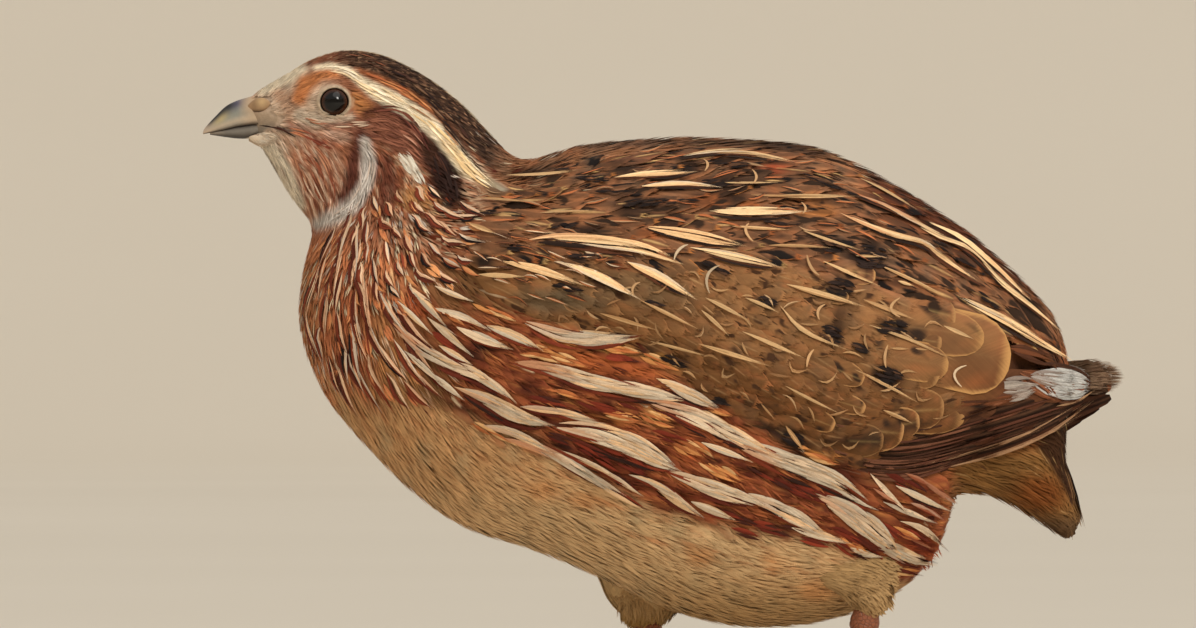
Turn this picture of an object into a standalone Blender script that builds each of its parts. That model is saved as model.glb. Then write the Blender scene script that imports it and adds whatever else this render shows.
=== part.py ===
"""Coturnix quail, life size, standing with one foot ahead of the other.

The bird faces -X, its left side is -Y and +Z is up. The soles lie at Z = 0 and
the origin is under the middle of the bird. Every solid is drawn out to the
feather tips: trunk, neck, head and tail are lengths of one lofted body, the
folded wings lie on its sides, and the drumsticks sit in pockets under it.
"""

import math

import bmesh
import bpy
import numpy as np
from mathutils import Matrix

# ---------------------------------------------------------------- dimensions
# Side-view grid: one unit is 0.185 mm, counted rearwards and downwards.
GRID = 0.185e-3
GRID_MIDDLE = 657.5      # grid column of X = 0
GRID_FLOOR = 770.0       # grid row of Z = 0

GAP = 0.3e-3             # clear gap between neighbouring pieces
BODY_SIDES = 28          # points round a body section
ROUND = 2.15             # exponent of a body section, 2 is an ellipse

CUT_HEAD_NECK = 7.0      # body stations where the nodes part
CUT_NECK_TRUNK = 10.4
CUT_TRUNK_TAIL = 24.6
BODY_END = 30.0

EYE_AT = (335.0, 102.5)  # grid position of the eye
EYE_RADIUS = 3.5e-3      # eyeball, of which the lids show a disc 5.4 mm wide
EYE_OUT = 6.35e-3        # distance of its centre from the middle plane

# Body stations from the base of the bill to the tip of the tail:
# top of the section (column, row), bottom (column, row), half-width in mm,
# and the widest level as a fraction of the way down.
BODY = (
    (250, 96, 255, 141, 3.5, 0.46),
    (267, 85, 262, 149, 5.0, 0.46),
    (288, 73, 269, 160, 6.7, 0.44),
    (312, 59, 277, 173, 8.2, 0.42),
    (345, 50, 285, 187, 9.1, 0.42),
    (380, 54, 293, 200, 9.7, 0.45),
    (412, 68, 302, 211, 10.7, 0.49),
    (443, 88, 310, 222, 12.1, 0.52),
    (470, 111, 312, 237, 14.5, 0.55),
    (494, 138, 307, 256, 17.7, 0.56),
    (513, 156, 301, 284, 21.3, 0.56),
    (532, 159, 299, 321, 24.7, 0.56),
    (553, 153, 308, 359, 27.4, 0.55),
    (580, 145, 329, 402, 29.4, 0.53),
    (612, 141, 367, 448, 31.2, 0.51),
    (648, 138, 415, 495, 32.4, 0.50),
    (690, 136, 468, 530, 33.2, 0.49),
    (735, 138, 528, 549, 33.6, 0.48),
    (780, 141, 596, 577, 33.4, 0.47),
    (822, 148, 672, 612, 32.2, 0.46),
    (862, 165, 752, 628, 29.8, 0.46),
    (900, 186, 832, 620, 26.4, 0.46),
    (937, 209, 898, 592, 22.4, 0.46),
    (972, 233, 938, 548, 18.4, 0.46),
    (1005, 262, 956, 500, 14.8, 0.46),
    (1034, 290, 984, 496, 12.0, 0.48),
    (1056, 318, 1011, 507, 9.8, 0.50),
    (1068, 358, 1033, 521, 8.0, 0.50),
    (1068, 410, 1048, 530, 6.4, 0.50),
    (1067, 462, 1058, 536, 4.8, 0.50),
    (1081, 515, 1065, 538, 3.0, 0.50),
)

# Folded wing in side view: upper edge and lower edge from shoulder to tip.
WING_UPPER = (
    (452, 258), (490, 222), (550, 206), (620, 198), (700, 196), (780, 204),
    (850, 226), (912, 257), (964, 290), (1008, 322), (1050, 348), (1084, 362),
)
WING_LOWER = (
    (446, 276), (492, 306), (556, 322), (628, 346), (700, 390), (775, 438),
    (846, 474), (908, 474), (968, 458), (1018, 438), (1056, 418), (1082, 396),
)
WING_LIFT = 0.60e-3      # inner face of the wing above the body
WING_EDGE = 0.6e-3       # thickness along its rim
WING_BULK = 3.3e-3       # extra thickness in its middle
FAR_TIP_EXTRA = 29.0     # the right wing's tip reaches this much further back
# Where the wing tips leave the body: column and distance from the middle.
TIP_PLANE = ((880, 9.0), (960, 9.0), (1010, 8.0), (1050, 6.4), (1084, 4.2), (1114, 1.9))

# Legs: the left one is set back, the right one is forward. Each leg is a
# chain of points (column, row, distance from the middle plane in mm).
LEFT_LEG = dict(side=-1, hip=(772, 496, 19.0), knee=(868, 601, 12.5),
                ankle=(860, 641, 11.5), pad=(806, 755, 10.5))
RIGHT_LEG = dict(side=1, hip=(704, 496, 19.0), knee=(644, 617, 12.5),
                 ankle=(651, 643, 11.5), pad=(637, 755, 10.5))
# Drumstick: fraction of the way from hip to knee, radius fore and aft, and
# radius sideways, in mm.
LEFT_DRUM = ((-0.06, 6.0, 3.6), (0.10, 10.5, 7.4), (0.30, 12.6, 9.8),
             (0.52, 11.4, 9.6), (0.74, 7.8, 7.0), (0.90, 4.6, 4.6), (1.0, 3.0, 3.1))
RIGHT_DRUM = ((-0.06, 6.0, 3.6), (0.10, 10.5, 7.4), (0.30, 12.4, 9.8),
              (0.52, 11.8, 9.8), (0.74, 9.0, 7.8), (0.90, 5.9, 5.4), (1.0, 3.6, 3.6))
# Bare leg: fraction from knee through ankle to the stub of the foot.
SHANK_RADII = ((0.0, 2.15, 2.0), (0.10, 2.2, 2.0), (0.20, 2.75, 2.35), (0.27, 2.7, 2.3),
               (0.40, 1.75, 1.45), (0.60, 1.5, 1.25), (0.80, 1.5, 1.3), (1.0, 1.8, 1.7))

# Toes of the left foot: name, heading from straight ahead (degrees, towards
# the outside positive), length of the fleshy toe and its base radius in mm.
TOES = (("inner", -29.0, 15.0, 1.15), ("middle", 1.0, 20.5, 1.25),
        ("outer", 33.0, 15.5, 1.12), ("hind", 172.0, 6.2, 0.95))
CLAW_LENGTH = {"inner": 3.6, "middle": 4.2, "outer": 3.5, "hind": 2.2}
SOLE_CUT = 0.28e-3       # depth of the flat under each toe

# Bill: culmen, cutting line and lower edge as grid points.
CULMEN = ((203.0, 131.5), (208, 123), (216, 113.5), (228, 104.5), (240, 99), (252, 95.5))
GAPE = ((203, 133.5), (214, 131.5), (224, 129.5), (237, 126.5), (252, 124.5), (262, 124))
GONYS = ((210, 134.5), (218, 136), (226, 137.5), (238, 139.5), (250, 140.5), (262, 141.5))
BILL_HALF_WIDTH = 3.1e-3

COLOURS = {
    "trunk": (0.33, 0.19, 0.10), "neck": (0.36, 0.20, 0.11), "head": (0.30, 0.17, 0.10),
    "tail": (0.24, 0.16, 0.09), "wing": (0.27, 0.18, 0.10), "thigh": (0.45, 0.34, 0.21),
    "shank": (0.50, 0.26, 0.16), "foot": (0.52, 0.29, 0.19), "claw": (0.20, 0.15, 0.12),
    "bill": (0.30, 0.31, 0.32), "eye": (0.03, 0.02, 0.015),
}


# ------------------------------------------------------------------- helpers
def grid(column, row, y=0.0):
    """World point of a side-view grid position."""
    return np.array([(column - GRID_MIDDLE) * GRID, y, (GRID_FLOOR - row) * GRID])


def curve(table, u):
    """Smooth (Catmull-Rom) reading of a table of stations at u."""
    table = np.asarray(table, float)
    u = np.atleast_1d(np.asarray(u, float))
    last = len(table) - 1
    i = np.clip(np.floor(u).astype(int), 0, last - 1)
    t = (u - i)[:, None]
    ends = np.vstack([2 * table[0] - table[1], table, 2 * table[-1] - table[-2]])
    a, b, c, d = ends[i], ends[i + 1], ends[i + 2], ends[i + 3]
    return 0.5 * (2 * b + (c - a) * t + (2 * a - 5 * b + 4 * c - d) * t**2
                  + (3 * b - a - 3 * c + d) * t**3)


def body_section(u_top, u_bottom, sides=BODY_SIDES):
    """Closed ring of the body between a point of its top line and one of its bottom line."""
    top = curve(BODY, u_top)[0]
    bottom = curve(BODY, u_bottom)[0]
    middle = curve(BODY, 0.5 * (u_top + u_bottom))[0]
    high, low = grid(top[0], top[1]), grid(bottom[2], bottom[3])
    half, level = middle[4] * 1e-3, middle[5]
    widest = high + (low - high) * level
    ring = []
    for k in range(sides):
        angle = 2 * math.pi * k / sides
        c, s = math.cos(angle), math.sin(angle)
        along = math.copysign(abs(c) ** (2 / ROUND), c)
        reach = (high - widest) * along if c > 0 else (widest - low) * along
        point = widest + reach
        point[1] = half * math.copysign(abs(s) ** (2 / ROUND), s)
        ring.append(point)
    return ring


def speed(u, first):
    """Distance run by the top line (first = 0) or bottom line (first = 2) per station."""
    a, b = curve(BODY, u - 0.05)[0], curve(BODY, u + 0.05)[0]
    return np.hypot(*(b - a)[first:first + 2]) * GRID / 0.1


def cut_section(u, side):
    """Ring half a gap before (side = -1) or behind (side = 1) a thin cut at u."""
    half = 0.5 * GAP * 1.15 * side
    return body_section(u + half / speed(u, 0), u + half / speed(u, 2))


def half_width(columns, rows):
    """Half-width of the body (metres) at side-view positions; 0 outside its outline."""
    columns, rows = np.asarray(columns, float), np.asarray(rows, float)
    low, high = np.zeros_like(columns), np.full_like(columns, BODY_END)

    def offset(u):
        s = curve(BODY, u)
        return ((s[:, 2] - s[:, 0]) * (rows - s[:, 1])
                - (s[:, 3] - s[:, 1]) * (columns - s[:, 0]))

    for _ in range(36):
        mid = 0.5 * (low + high)
        ahead = offset(mid) > 0          # the position lies before this section
        high = np.where(ahead, mid, high)
        low = np.where(ahead, low, mid)
    s = curve(BODY, 0.5 * (low + high))
    span = np.hypot(s[:, 2] - s[:, 0], s[:, 3] - s[:, 1])
    down = ((columns - s[:, 0]) * (s[:, 2] - s[:, 0])
            + (rows - s[:, 1]) * (s[:, 3] - s[:, 1])) / span**2
    level = np.where(down < s[:, 5], (s[:, 5] - down) / s[:, 5], (down - s[:, 5]) / (1 - s[:, 5]))
    inside = np.clip(1 - np.abs(level) ** ROUND, 0, 1) ** (1 / ROUND)
    return s[:, 4] * 1e-3 * inside


def finish(name, mesh_maker, colour, rough=0.6):
    """Object from a filled bmesh, faces turned out, with its own material."""
    bmesh.ops.recalc_face_normals(mesh_maker, faces=mesh_maker.faces)
    mesh = bpy.data.meshes.new(name)
    mesh_maker.to_mesh(mesh)
    mesh_maker.free()
    mesh.shade_smooth()
    mesh.set_sharp_from_angle(angle=math.radians(40))
    obj = bpy.data.objects.new(name, mesh)
    bpy.context.scene.collection.objects.link(obj)
    material = bpy.data.materials.new("m_" + name)
    material.use_nodes = True
    surface = material.node_tree.nodes["Principled BSDF"]
    surface.inputs["Base Color"].default_value = (*colour, 1.0)
    surface.inputs["Roughness"].default_value = rough
    material.diffuse_color = (*colour, 1.0)
    mesh.materials.append(material)
    return obj


def loft(rings):
    """Closed tube through rings of equal length, capped at both ends."""
    maker = bmesh.new()
    verts = [[maker.verts.new(p) for p in ring] for ring in rings]
    for a, b in zip(verts, verts[1:]):
        n = len(a)
        for k in range(n):
            maker.faces.new((a[k], a[(k + 1) % n], b[(k + 1) % n], b[k]))
    maker.faces.new(verts[0])
    maker.faces.new(verts[-1][::-1])
    return maker


def frames(path):
    """Unit tangents and two cross directions along a path, the first one sideways."""
    path = np.asarray(path)
    tangents = np.gradient(path, axis=0)
    tangents /= np.linalg.norm(tangents, axis=1)[:, None]
    side = np.array([0.0, 1.0, 0.0])
    out = []
    for t in tangents:
        s = side - t * side.dot(t)
        if np.linalg.norm(s) < 0.2:
            s = np.cross(t, [0, 0, 1.0])
        s /= np.linalg.norm(s)
        out.append((t, s, np.cross(t, s)))
        side = s
    return out


def tube_rings(path, radii, sides, grow=0.0):
    """Rings across a path; radii are pairs (across in the side view, sideways)."""
    rings = []
    for point, (_, side, across), (ra, rs) in zip(path, frames(path), radii):
        rings.append([point + across * (ra + grow) * math.cos(2 * math.pi * k / sides)
                      + side * (rs + grow) * math.sin(2 * math.pi * k / sides)
                      for k in range(sides)])
    return rings


def modifier_boolean(target, cutter, operation):
    step = target.modifiers.new(operation.lower() + "_" + cutter.name, "BOOLEAN")
    step.operation = operation
    step.solver = "EXACT"
    step.use_self = operation == "UNION"
    step.object = cutter


def as_cutter(obj):
    obj.hide_render = True
    obj.display_type = "WIRE"
    return obj


# -------------------------------------------------------------------- pieces
def body_pieces():
    """Head, neck, trunk and tail as lengths of one body, parted by thin cuts."""
    cuts = (("head", 0.0, CUT_HEAD_NECK, 0.54), ("neck", CUT_HEAD_NECK, CUT_NECK_TRUNK, 0.57),
            ("trunk", CUT_NECK_TRUNK, CUT_TRUNK_TAIL, 0.65), ("tail", CUT_TRUNK_TAIL, BODY_END, 0.6))
    made = {}
    for name, start, end, step in cuts:
        count = max(2, round((end - start) / step))
        rings = [body_section(u, u) for u in np.linspace(start, end, count + 1)[1:-1]]
        first = body_section(0, 0) if start == 0 else cut_section(start, 1)
        final = body_section(end, end) if end == BODY_END else cut_section(end, -1)
        made[name] = finish(name, loft([first, *rings, final]), COLOURS[name])
    return made


def eyes(head):
    """Eyeballs, and the sockets that hold them with a clear gap."""
    for name, side in (("eye_L", -1), ("eye_R", 1)):
        centre = grid(*EYE_AT, side * EYE_OUT)
        for label, radius in ((name, EYE_RADIUS), ("socket_" + name, EYE_RADIUS + GAP)):
            maker = bmesh.new()
            bmesh.ops.create_uvsphere(maker, u_segments=16, v_segments=10, radius=radius)
            bmesh.ops.rotate(maker, verts=maker.verts, cent=(0, 0, 0),
                             matrix=Matrix.Rotation(math.radians(90), 3, "X"))
            bmesh.ops.translate(maker, verts=maker.verts, vec=centre)
            obj = finish(label, maker, COLOURS["eye"], 0.08)
            if label != name:
                modifier_boolean(head, as_cutter(obj), "DIFFERENCE")


def bill():
    """Upper and lower mandible, parted along the cutting line."""
    root = 0.5 * GAP
    for name, outer, sign in (("bill_upper", CULMEN, 1), ("bill_lower", GONYS, -1)):
        rings = []
        steps = 12
        for i in range(steps + 1):
            t = i / steps
            edge = curve(outer, t * (len(outer) - 1))[0]
            inner = np.interp(edge[0], [g[0] for g in GAPE], [g[1] for g in GAPE])
            # the base stops short of the face, along a plane slanting like the face
            column = edge[0]
            tip = GAPE[0][0] if sign > 0 else outer[0][0] - 4
            reach = min(1.0, max(0.0, (column - tip) / (252 - tip)))
            half = BILL_HALF_WIDTH * (0.10 + 0.90 * reach ** 0.72)
            z_edge = grid(column, edge[1])[2]
            z_inner = grid(column, inner)[2] + sign * root
            if sign * (z_edge - z_inner) < 0.25e-3:
                z_edge = z_inner + sign * 0.25e-3
            ring = []
            for k in range(9):                       # arch over the ridge
                a = math.pi * k / 8
                lift = math.sin(a) ** (0.9 if sign > 0 else 0.75)
                ring.append((column, half * math.cos(a), z_inner + (z_edge - z_inner) * lift))
            ring += [(column, -half * 0.55, z_inner + sign * 0.03e-3),
                     (column, 0.0, z_inner), (column, half * 0.55, z_inner + sign * 0.03e-3)]
            rings.append([np.array([grid(c, 0)[0], y, z]) for c, y, z in ring])
        # keep the base clear of the face
        face_x = grid(250, 0)[0] - GAP * 1.2
        rings = [r for r in rings if r[0][0] < face_x - 0.3e-3]
        last = [np.array([face_x, p[1], p[2]]) for p in rings[-1]]
        widen = 1.04
        last = [np.array([p[0], p[1] * widen, p[2]]) for p in last]
        rings.append(last)
        finish(name, loft(rings), COLOURS["bill"], 0.35)


def wing(name, side):
    """Folded wing: a shell over the flank, thick in the middle and thin at its rim."""
    along, across = 24, 10
    extra = FAR_TIP_EXTRA if side > 0 else 0.0
    s = np.repeat(np.linspace(0, 1, along + 1), across + 1)
    t = np.tile(np.linspace(0, 1, across + 1), along + 1)
    upper, lower = curve(WING_UPPER, s * 11), curve(WING_LOWER, s * 11)
    # the ends are rounded by drawing the corners in
    pinch = np.clip(1 - ((np.abs(s - 0.5) - 0.44) / 0.06).clip(0, 1) ** 2 * 0.34, 0, 1)
    place = upper + (lower - upper) * (0.5 + (t - 0.5) * pinch)[:, None]
    late = np.clip((place[:, 0] - 950) / 134, 0, 1)
    columns = place[:, 0] + extra * late**2 * (3 - 2 * late)
    rows = place[:, 1] - 2.0 * late * (1 if side > 0 else 0)
    plane = np.interp(columns, [p[0] for p in TIP_PLANE], [p[1] * 1e-3 for p in TIP_PLANE])
    plane = plane * np.clip((columns - 860) / 60, 0, 1)
    on_body = half_width(columns, rows)
    inner = 0.5 * (on_body + plane + np.sqrt((on_body - plane) ** 2 + 2.5e-6)) + WING_LIFT
    bulk = (np.sin(math.pi * t) ** 0.8) * np.clip(s / 0.32, 0, 1) ** 0.8 * np.clip((1.02 - s) / 0.5, 0, 1) ** 0.7
    outer = inner + WING_EDGE + WING_BULK * bulk
    x = (columns - GRID_MIDDLE) * GRID
    z = (GRID_FLOOR - rows) * GRID
    # the shell leans out along the body's surface, so its rim is drawn square
    maker = bmesh.new()
    faces_in = [maker.verts.new((a, side * b, c)) for a, b, c in zip(x, inner, z)]
    faces_out = [maker.verts.new((a, side * b, c)) for a, b, c in zip(x, outer, z)]
    width = across + 1
    for i in range(along):
        for j in range(across):
            a, b, c, d = i * width + j, i * width + j + 1, (i + 1) * width + j + 1, (i + 1) * width + j
            maker.faces.new((faces_in[a], faces_in[b], faces_in[c], faces_in[d]))
            maker.faces.new((faces_out[a], faces_out[d], faces_out[c], faces_out[b]))
    rim = ([i * width for i in range(along + 1)]
           + [along * width + j for j in range(1, width)]
           + [i * width + across for i in range(along - 1, -1, -1)]
           + [j for j in range(across - 1, 0, -1)])
    for a, b in zip(rim, rim[1:] + rim[:1]):
        maker.faces.new((faces_in[a], faces_in[b], faces_out[b], faces_out[a]))
    return finish(name, maker, COLOURS["wing"])


def leg(tag, plan, drum, trunk):
    """Drumstick in its pocket, bare shank, foot with four toes, and claws."""
    side = plan["side"]
    hip, knee, ankle, pad = (grid(p[0], p[1], side * p[2] * 1e-3)
                             for p in (plan["hip"], plan["knee"], plan["ankle"], plan["pad"]))
    # drumstick, curving from the hip to meet the bare leg on a level cut
    over_knee = knee + np.array([0, 0, 0.42 * np.linalg.norm(knee - hip)])

    def thigh_spot(f):
        return hip * (1 - f) ** 2 + over_knee * 2 * f * (1 - f) + knee * f * f

    def level(ring, z):
        return [np.array([p[0], p[1], z]) for p in ring]

    path = [thigh_spot(f) for f, _, _ in drum]
    radii = [(a * 1e-3, b * 1e-3) for _, a, b in drum]
    rings = tube_rings(path, radii, 16)
    rings[-1] = level(rings[-1], knee[2] + 0.5 * GAP)
    finish("thigh_" + tag, loft(rings), COLOURS["thigh"])
    longer = [path[0] - (knee - hip) * 0.02, *path[1:]]
    rings = tube_rings(longer, radii, 16, GAP * 1.5)
    rings[-1] = level(rings[-1], knee[2] - 1e-3)
    pocket = finish("pocket_" + tag, loft(rings), COLOURS["thigh"])
    modifier_boolean(trunk, as_cutter(pocket), "DIFFERENCE")
    # bare shank: down through the ankle to a stub on the foot
    stub = ankle + (pad - ankle) * 0.86
    route = np.array([knee, knee + (ankle - knee) * 0.6, ankle, ankle + (stub - ankle) * 0.12, stub])
    spots = curve(route, np.array([f for f, _, _ in SHANK_RADII]) * 4)
    radii = [(a * 1e-3, b * 1e-3) for _, a, b in SHANK_RADII]
    rings = tube_rings(spots, radii, 12)
    rings[0] = level(rings[0], knee[2] - 0.5 * GAP)
    rings[-1] = level(rings[-1], stub[2] + 0.5 * GAP)
    finish("shank_" + tag, loft(rings), COLOURS["shank"], 0.5)
    # foot
    down = (pad - ankle) / np.linalg.norm(pad - ankle)
    hub = np.array([pad[0], pad[1], 1.55e-3])
    core_path = [stub, stub + (hub - stub) * 0.5, hub, hub + down * 0.5e-3]
    core_radii = [(1.8e-3, 1.7e-3), (1.85e-3, 1.85e-3), (1.9e-3, 2.0e-3), (1.2e-3, 1.3e-3)]
    rings = tube_rings(core_path, core_radii, 12)
    rings[0] = level(rings[0], stub[2] - 0.5 * GAP)
    foot = finish("foot_" + tag, loft(rings), COLOURS["foot"], 0.5)
    for toe, heading, length, radius in TOES:
        length, radius = length * 1e-3, radius * 1e-3
        a = math.radians(heading)
        ahead = np.array([-math.cos(a), side * math.sin(a), 0.0])
        toe_path, toe_radii = [], []
        for i in range(8):
            f = i / 7
            swell = 1 + 0.10 * math.cos(f * math.pi * (7 if toe == "middle" else 5))
            r = radius * (1 - 0.32 * f) * swell
            centre = hub + ahead * (0.35e-3 + length * f)
            rise = 0.25e-3 * (1 - f) if toe != "hind" else 0.3e-3 * (1 - f)
            centre[2] = r - SOLE_CUT + rise * (i < 2)
            toe_path.append(centre)
            toe_radii.append((r, r))
        piece = as_cutter(finish(f"toe_{tag}_{toe}", loft(tube_rings(toe_path, toe_radii, 8)), COLOURS["foot"]))
        modifier_boolean(foot, piece, "UNION")
        # claw, a curved cone that clears the floor
        tip = toe_path[-1]
        nail = CLAW_LENGTH[toe] * 1e-3
        claw_path, claw_radii = [], []
        for i in range(5):
            f = i / 4
            spot = tip + ahead * (GAP * 1.3 + nail * f)
            r = 0.62e-3 * (1 - f) ** 0.75 + 0.16e-3
            spot[2] = max(r + 0.05e-3, toe_radii[-1][0] * 0.92 + 0.25e-3 * math.sin(math.pi * f) - 0.5e-3 * f * f)
            claw_path.append(spot)
            claw_radii.append((r, r * 0.8))
        finish(f"claw_{tag}_{toe}", loft(tube_rings(claw_path, claw_radii, 6)), COLOURS["claw"], 0.35)
    # the flats that it stands on: everything below the floor level is cut away
    maker = bmesh.new()
    bmesh.ops.create_cube(maker, size=1.0)
    bmesh.ops.scale(maker, verts=maker.verts, vec=(0.09, 0.07, 0.01))
    bmesh.ops.translate(maker, verts=maker.verts, vec=(hub[0], hub[1], -0.005))
    floor = as_cutter(finish("floor_cut_" + tag, maker, COLOURS["foot"]))
    modifier_boolean(foot, floor, "DIFFERENCE")


def main():
    for obj in list(bpy.data.objects):
        bpy.data.objects.remove(obj, do_unlink=True)
    made = body_pieces()
    eyes(made["head"])
    bill()
    wing("wing_L", -1)
    wing("wing_R", 1)
    leg("L", LEFT_LEG, LEFT_DRUM, made["trunk"])
    leg("R", RIGHT_LEG, RIGHT_DRUM, made["trunk"])


main()
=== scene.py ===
"""Looks of the standing coturnix quail: one skin, a coat of separate feathers, horn and eyes."""
import math

import bmesh
import bpy
import numpy as np
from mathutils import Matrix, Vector
from mathutils.bvhtree import BVHTree


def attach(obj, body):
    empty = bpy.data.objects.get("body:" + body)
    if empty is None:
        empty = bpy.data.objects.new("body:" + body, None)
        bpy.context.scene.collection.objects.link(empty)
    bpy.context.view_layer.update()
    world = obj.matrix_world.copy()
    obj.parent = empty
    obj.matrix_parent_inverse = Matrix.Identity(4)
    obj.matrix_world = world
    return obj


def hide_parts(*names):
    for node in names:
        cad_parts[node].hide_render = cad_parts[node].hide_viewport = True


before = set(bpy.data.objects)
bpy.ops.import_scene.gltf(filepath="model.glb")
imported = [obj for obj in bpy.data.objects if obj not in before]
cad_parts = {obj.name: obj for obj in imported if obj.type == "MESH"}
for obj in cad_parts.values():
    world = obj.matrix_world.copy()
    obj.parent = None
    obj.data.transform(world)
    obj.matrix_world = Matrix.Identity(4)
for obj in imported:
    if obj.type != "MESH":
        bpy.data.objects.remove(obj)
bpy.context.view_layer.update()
rng = np.random.default_rng(20)

# ------------------------------------------------------------ shared geometry
GRID = 0.185e-3
GRID_MIDDLE = 657.5
GRID_FLOOR = 770.0
MM = 1e-3
ROUND = 2.15
EYE_AT = (335.0, 102.5)
EYE_RADIUS = 3.5e-3
EYE_OUT = 6.35e-3

# top (column, row), bottom (column, row), half-width mm, widest level
BODY = (
    (250, 96, 255, 141, 3.5, 0.46),
    (267, 85, 262, 149, 5.0, 0.46),
    (288, 73, 269, 160, 6.7, 0.44),
    (312, 59, 277, 173, 8.2, 0.42),
    (345, 50, 285, 187, 9.1, 0.42),
    (380, 54, 293, 200, 9.7, 0.45),
    (412, 68, 302, 211, 10.7, 0.49),
    (443, 88, 310, 222, 12.1, 0.52),
    (470, 111, 312, 237, 14.5, 0.55),
    (494, 138, 307, 256, 17.7, 0.56),
    (513, 156, 301, 284, 21.3, 0.56),
    (532, 159, 299, 321, 24.7, 0.56),
    (553, 153, 308, 359, 27.4, 0.55),
    (580, 145, 329, 402, 29.4, 0.53),
    (612, 141, 367, 448, 31.2, 0.51),
    (648, 138, 415, 495, 32.4, 0.50),
    (690, 136, 468, 530, 33.2, 0.49),
    (735, 138, 528, 549, 33.6, 0.48),
    (780, 141, 596, 577, 33.4, 0.47),
    (822, 148, 672, 612, 32.2, 0.46),
    (862, 165, 752, 628, 29.8, 0.46),
    (900, 186, 832, 620, 26.4, 0.46),
    (937, 209, 898, 592, 22.4, 0.46),
    (972, 233, 938, 548, 18.4, 0.46),
    (1005, 262, 956, 500, 14.8, 0.46),
    (1034, 290, 984, 496, 12.0, 0.48),
    (1056, 318, 1011, 507, 9.8, 0.50),
    (1068, 358, 1033, 521, 8.0, 0.50),
    (1068, 410, 1048, 530, 6.4, 0.50),
    (1067, 462, 1058, 536, 4.8, 0.50),
    (1081, 515, 1065, 538, 3.0, 0.50),
)
BODY_END = 30.0
WING_UPPER = (
    (452, 258), (490, 222), (550, 206), (620, 198), (700, 196), (780, 204),
    (850, 226), (912, 257), (964, 290), (1008, 322), (1050, 348), (1084, 362),
)
WING_LOWER = (
    (446, 276), (492, 306), (556, 322), (628, 346), (700, 390), (775, 438),
    (846, 474), (908, 474), (968, 458), (1018, 438), (1056, 418), (1082, 396),
)
TIP_PLANE = ((880, 9.0), (960, 9.0), (1010, 8.0), (1050, 6.4), (1084, 4.2), (1114, 1.9))
LEFT_LEG = dict(side=-1, hip=(772, 496, 19.0), knee=(868, 601, 12.5),
                ankle=(860, 641, 11.5), pad=(806, 755, 10.5))
RIGHT_LEG = dict(side=1, hip=(704, 496, 19.0), knee=(644, 617, 12.5),
                 ankle=(651, 643, 11.5), pad=(637, 755, 10.5))
LEFT_DRUM = ((-0.06, 6.0, 3.6), (0.10, 10.5, 7.4), (0.30, 12.6, 9.8),
             (0.52, 11.4, 9.6), (0.74, 7.8, 7.0), (0.90, 4.6, 4.6), (1.0, 3.0, 3.1))
RIGHT_DRUM = ((-0.06, 6.0, 3.6), (0.10, 10.5, 7.4), (0.30, 12.4, 9.8),
              (0.52, 11.8, 9.8), (0.74, 9.0, 7.8), (0.90, 5.9, 5.4), (1.0, 3.6, 3.6))


def curve(table, u):
    table = np.asarray(table, float)
    u = np.atleast_1d(np.asarray(u, float))
    last = len(table) - 1
    i = np.clip(np.floor(u).astype(int), 0, last - 1)
    t = (u - i)[..., None]
    ends = np.vstack([2 * table[0] - table[1], table, 2 * table[-1] - table[-2]])
    a, b, c, d = ends[i], ends[i + 1], ends[i + 2], ends[i + 3]
    return 0.5 * (2 * b + (c - a) * t + (2 * a - 5 * b + 4 * c - d) * t**2
                  + (3 * b - a - 3 * c + d) * t**3)


def step(a, b, x):
    t = np.clip((x - a) / (b - a), 0, 1)
    return t * t * (3 - 2 * t)


def unit(v):
    return v / np.maximum(np.linalg.norm(v, axis=-1, keepdims=True), 1e-12)


def body_xyz(u, phi):
    """Points of the feather-tip surface; phi is 0 on the back, negative on the left side."""
    s = curve(BODY, u)
    hx, hz = (s[:, 0] - GRID_MIDDLE) * GRID, (GRID_FLOOR - s[:, 1]) * GRID
    lx, lz = (s[:, 2] - GRID_MIDDLE) * GRID, (GRID_FLOOR - s[:, 3]) * GRID
    wx, wz = hx + (lx - hx) * s[:, 5], hz + (lz - hz) * s[:, 5]
    c, sn = np.cos(phi), np.sin(phi)
    along = np.sign(c) * np.abs(c) ** (2 / ROUND)
    up = along > 0
    x = wx + np.where(up, (hx - wx), (wx - lx)) * along
    z = wz + np.where(up, (hz - wz), (wz - lz)) * along
    y = s[:, 4] * MM * np.sign(sn) * np.abs(sn) ** (2 / ROUND)
    return np.stack([x, y, z], -1)


def body_frame(u, phi):
    """Point and outward normal."""
    du, dp = 0.02, 0.01
    p = body_xyz(u, phi)
    uu = np.clip(u, du, BODY_END - du)
    a = body_xyz(uu + du, phi) - body_xyz(uu - du, phi)
    b = body_xyz(uu, phi + dp) - body_xyz(uu, phi - dp)
    return p, unit(np.cross(a, b))


def to_px(p):
    return p[..., 0] / GRID + GRID_MIDDLE, GRID_FLOOR - p[..., 2] / GRID


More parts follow.
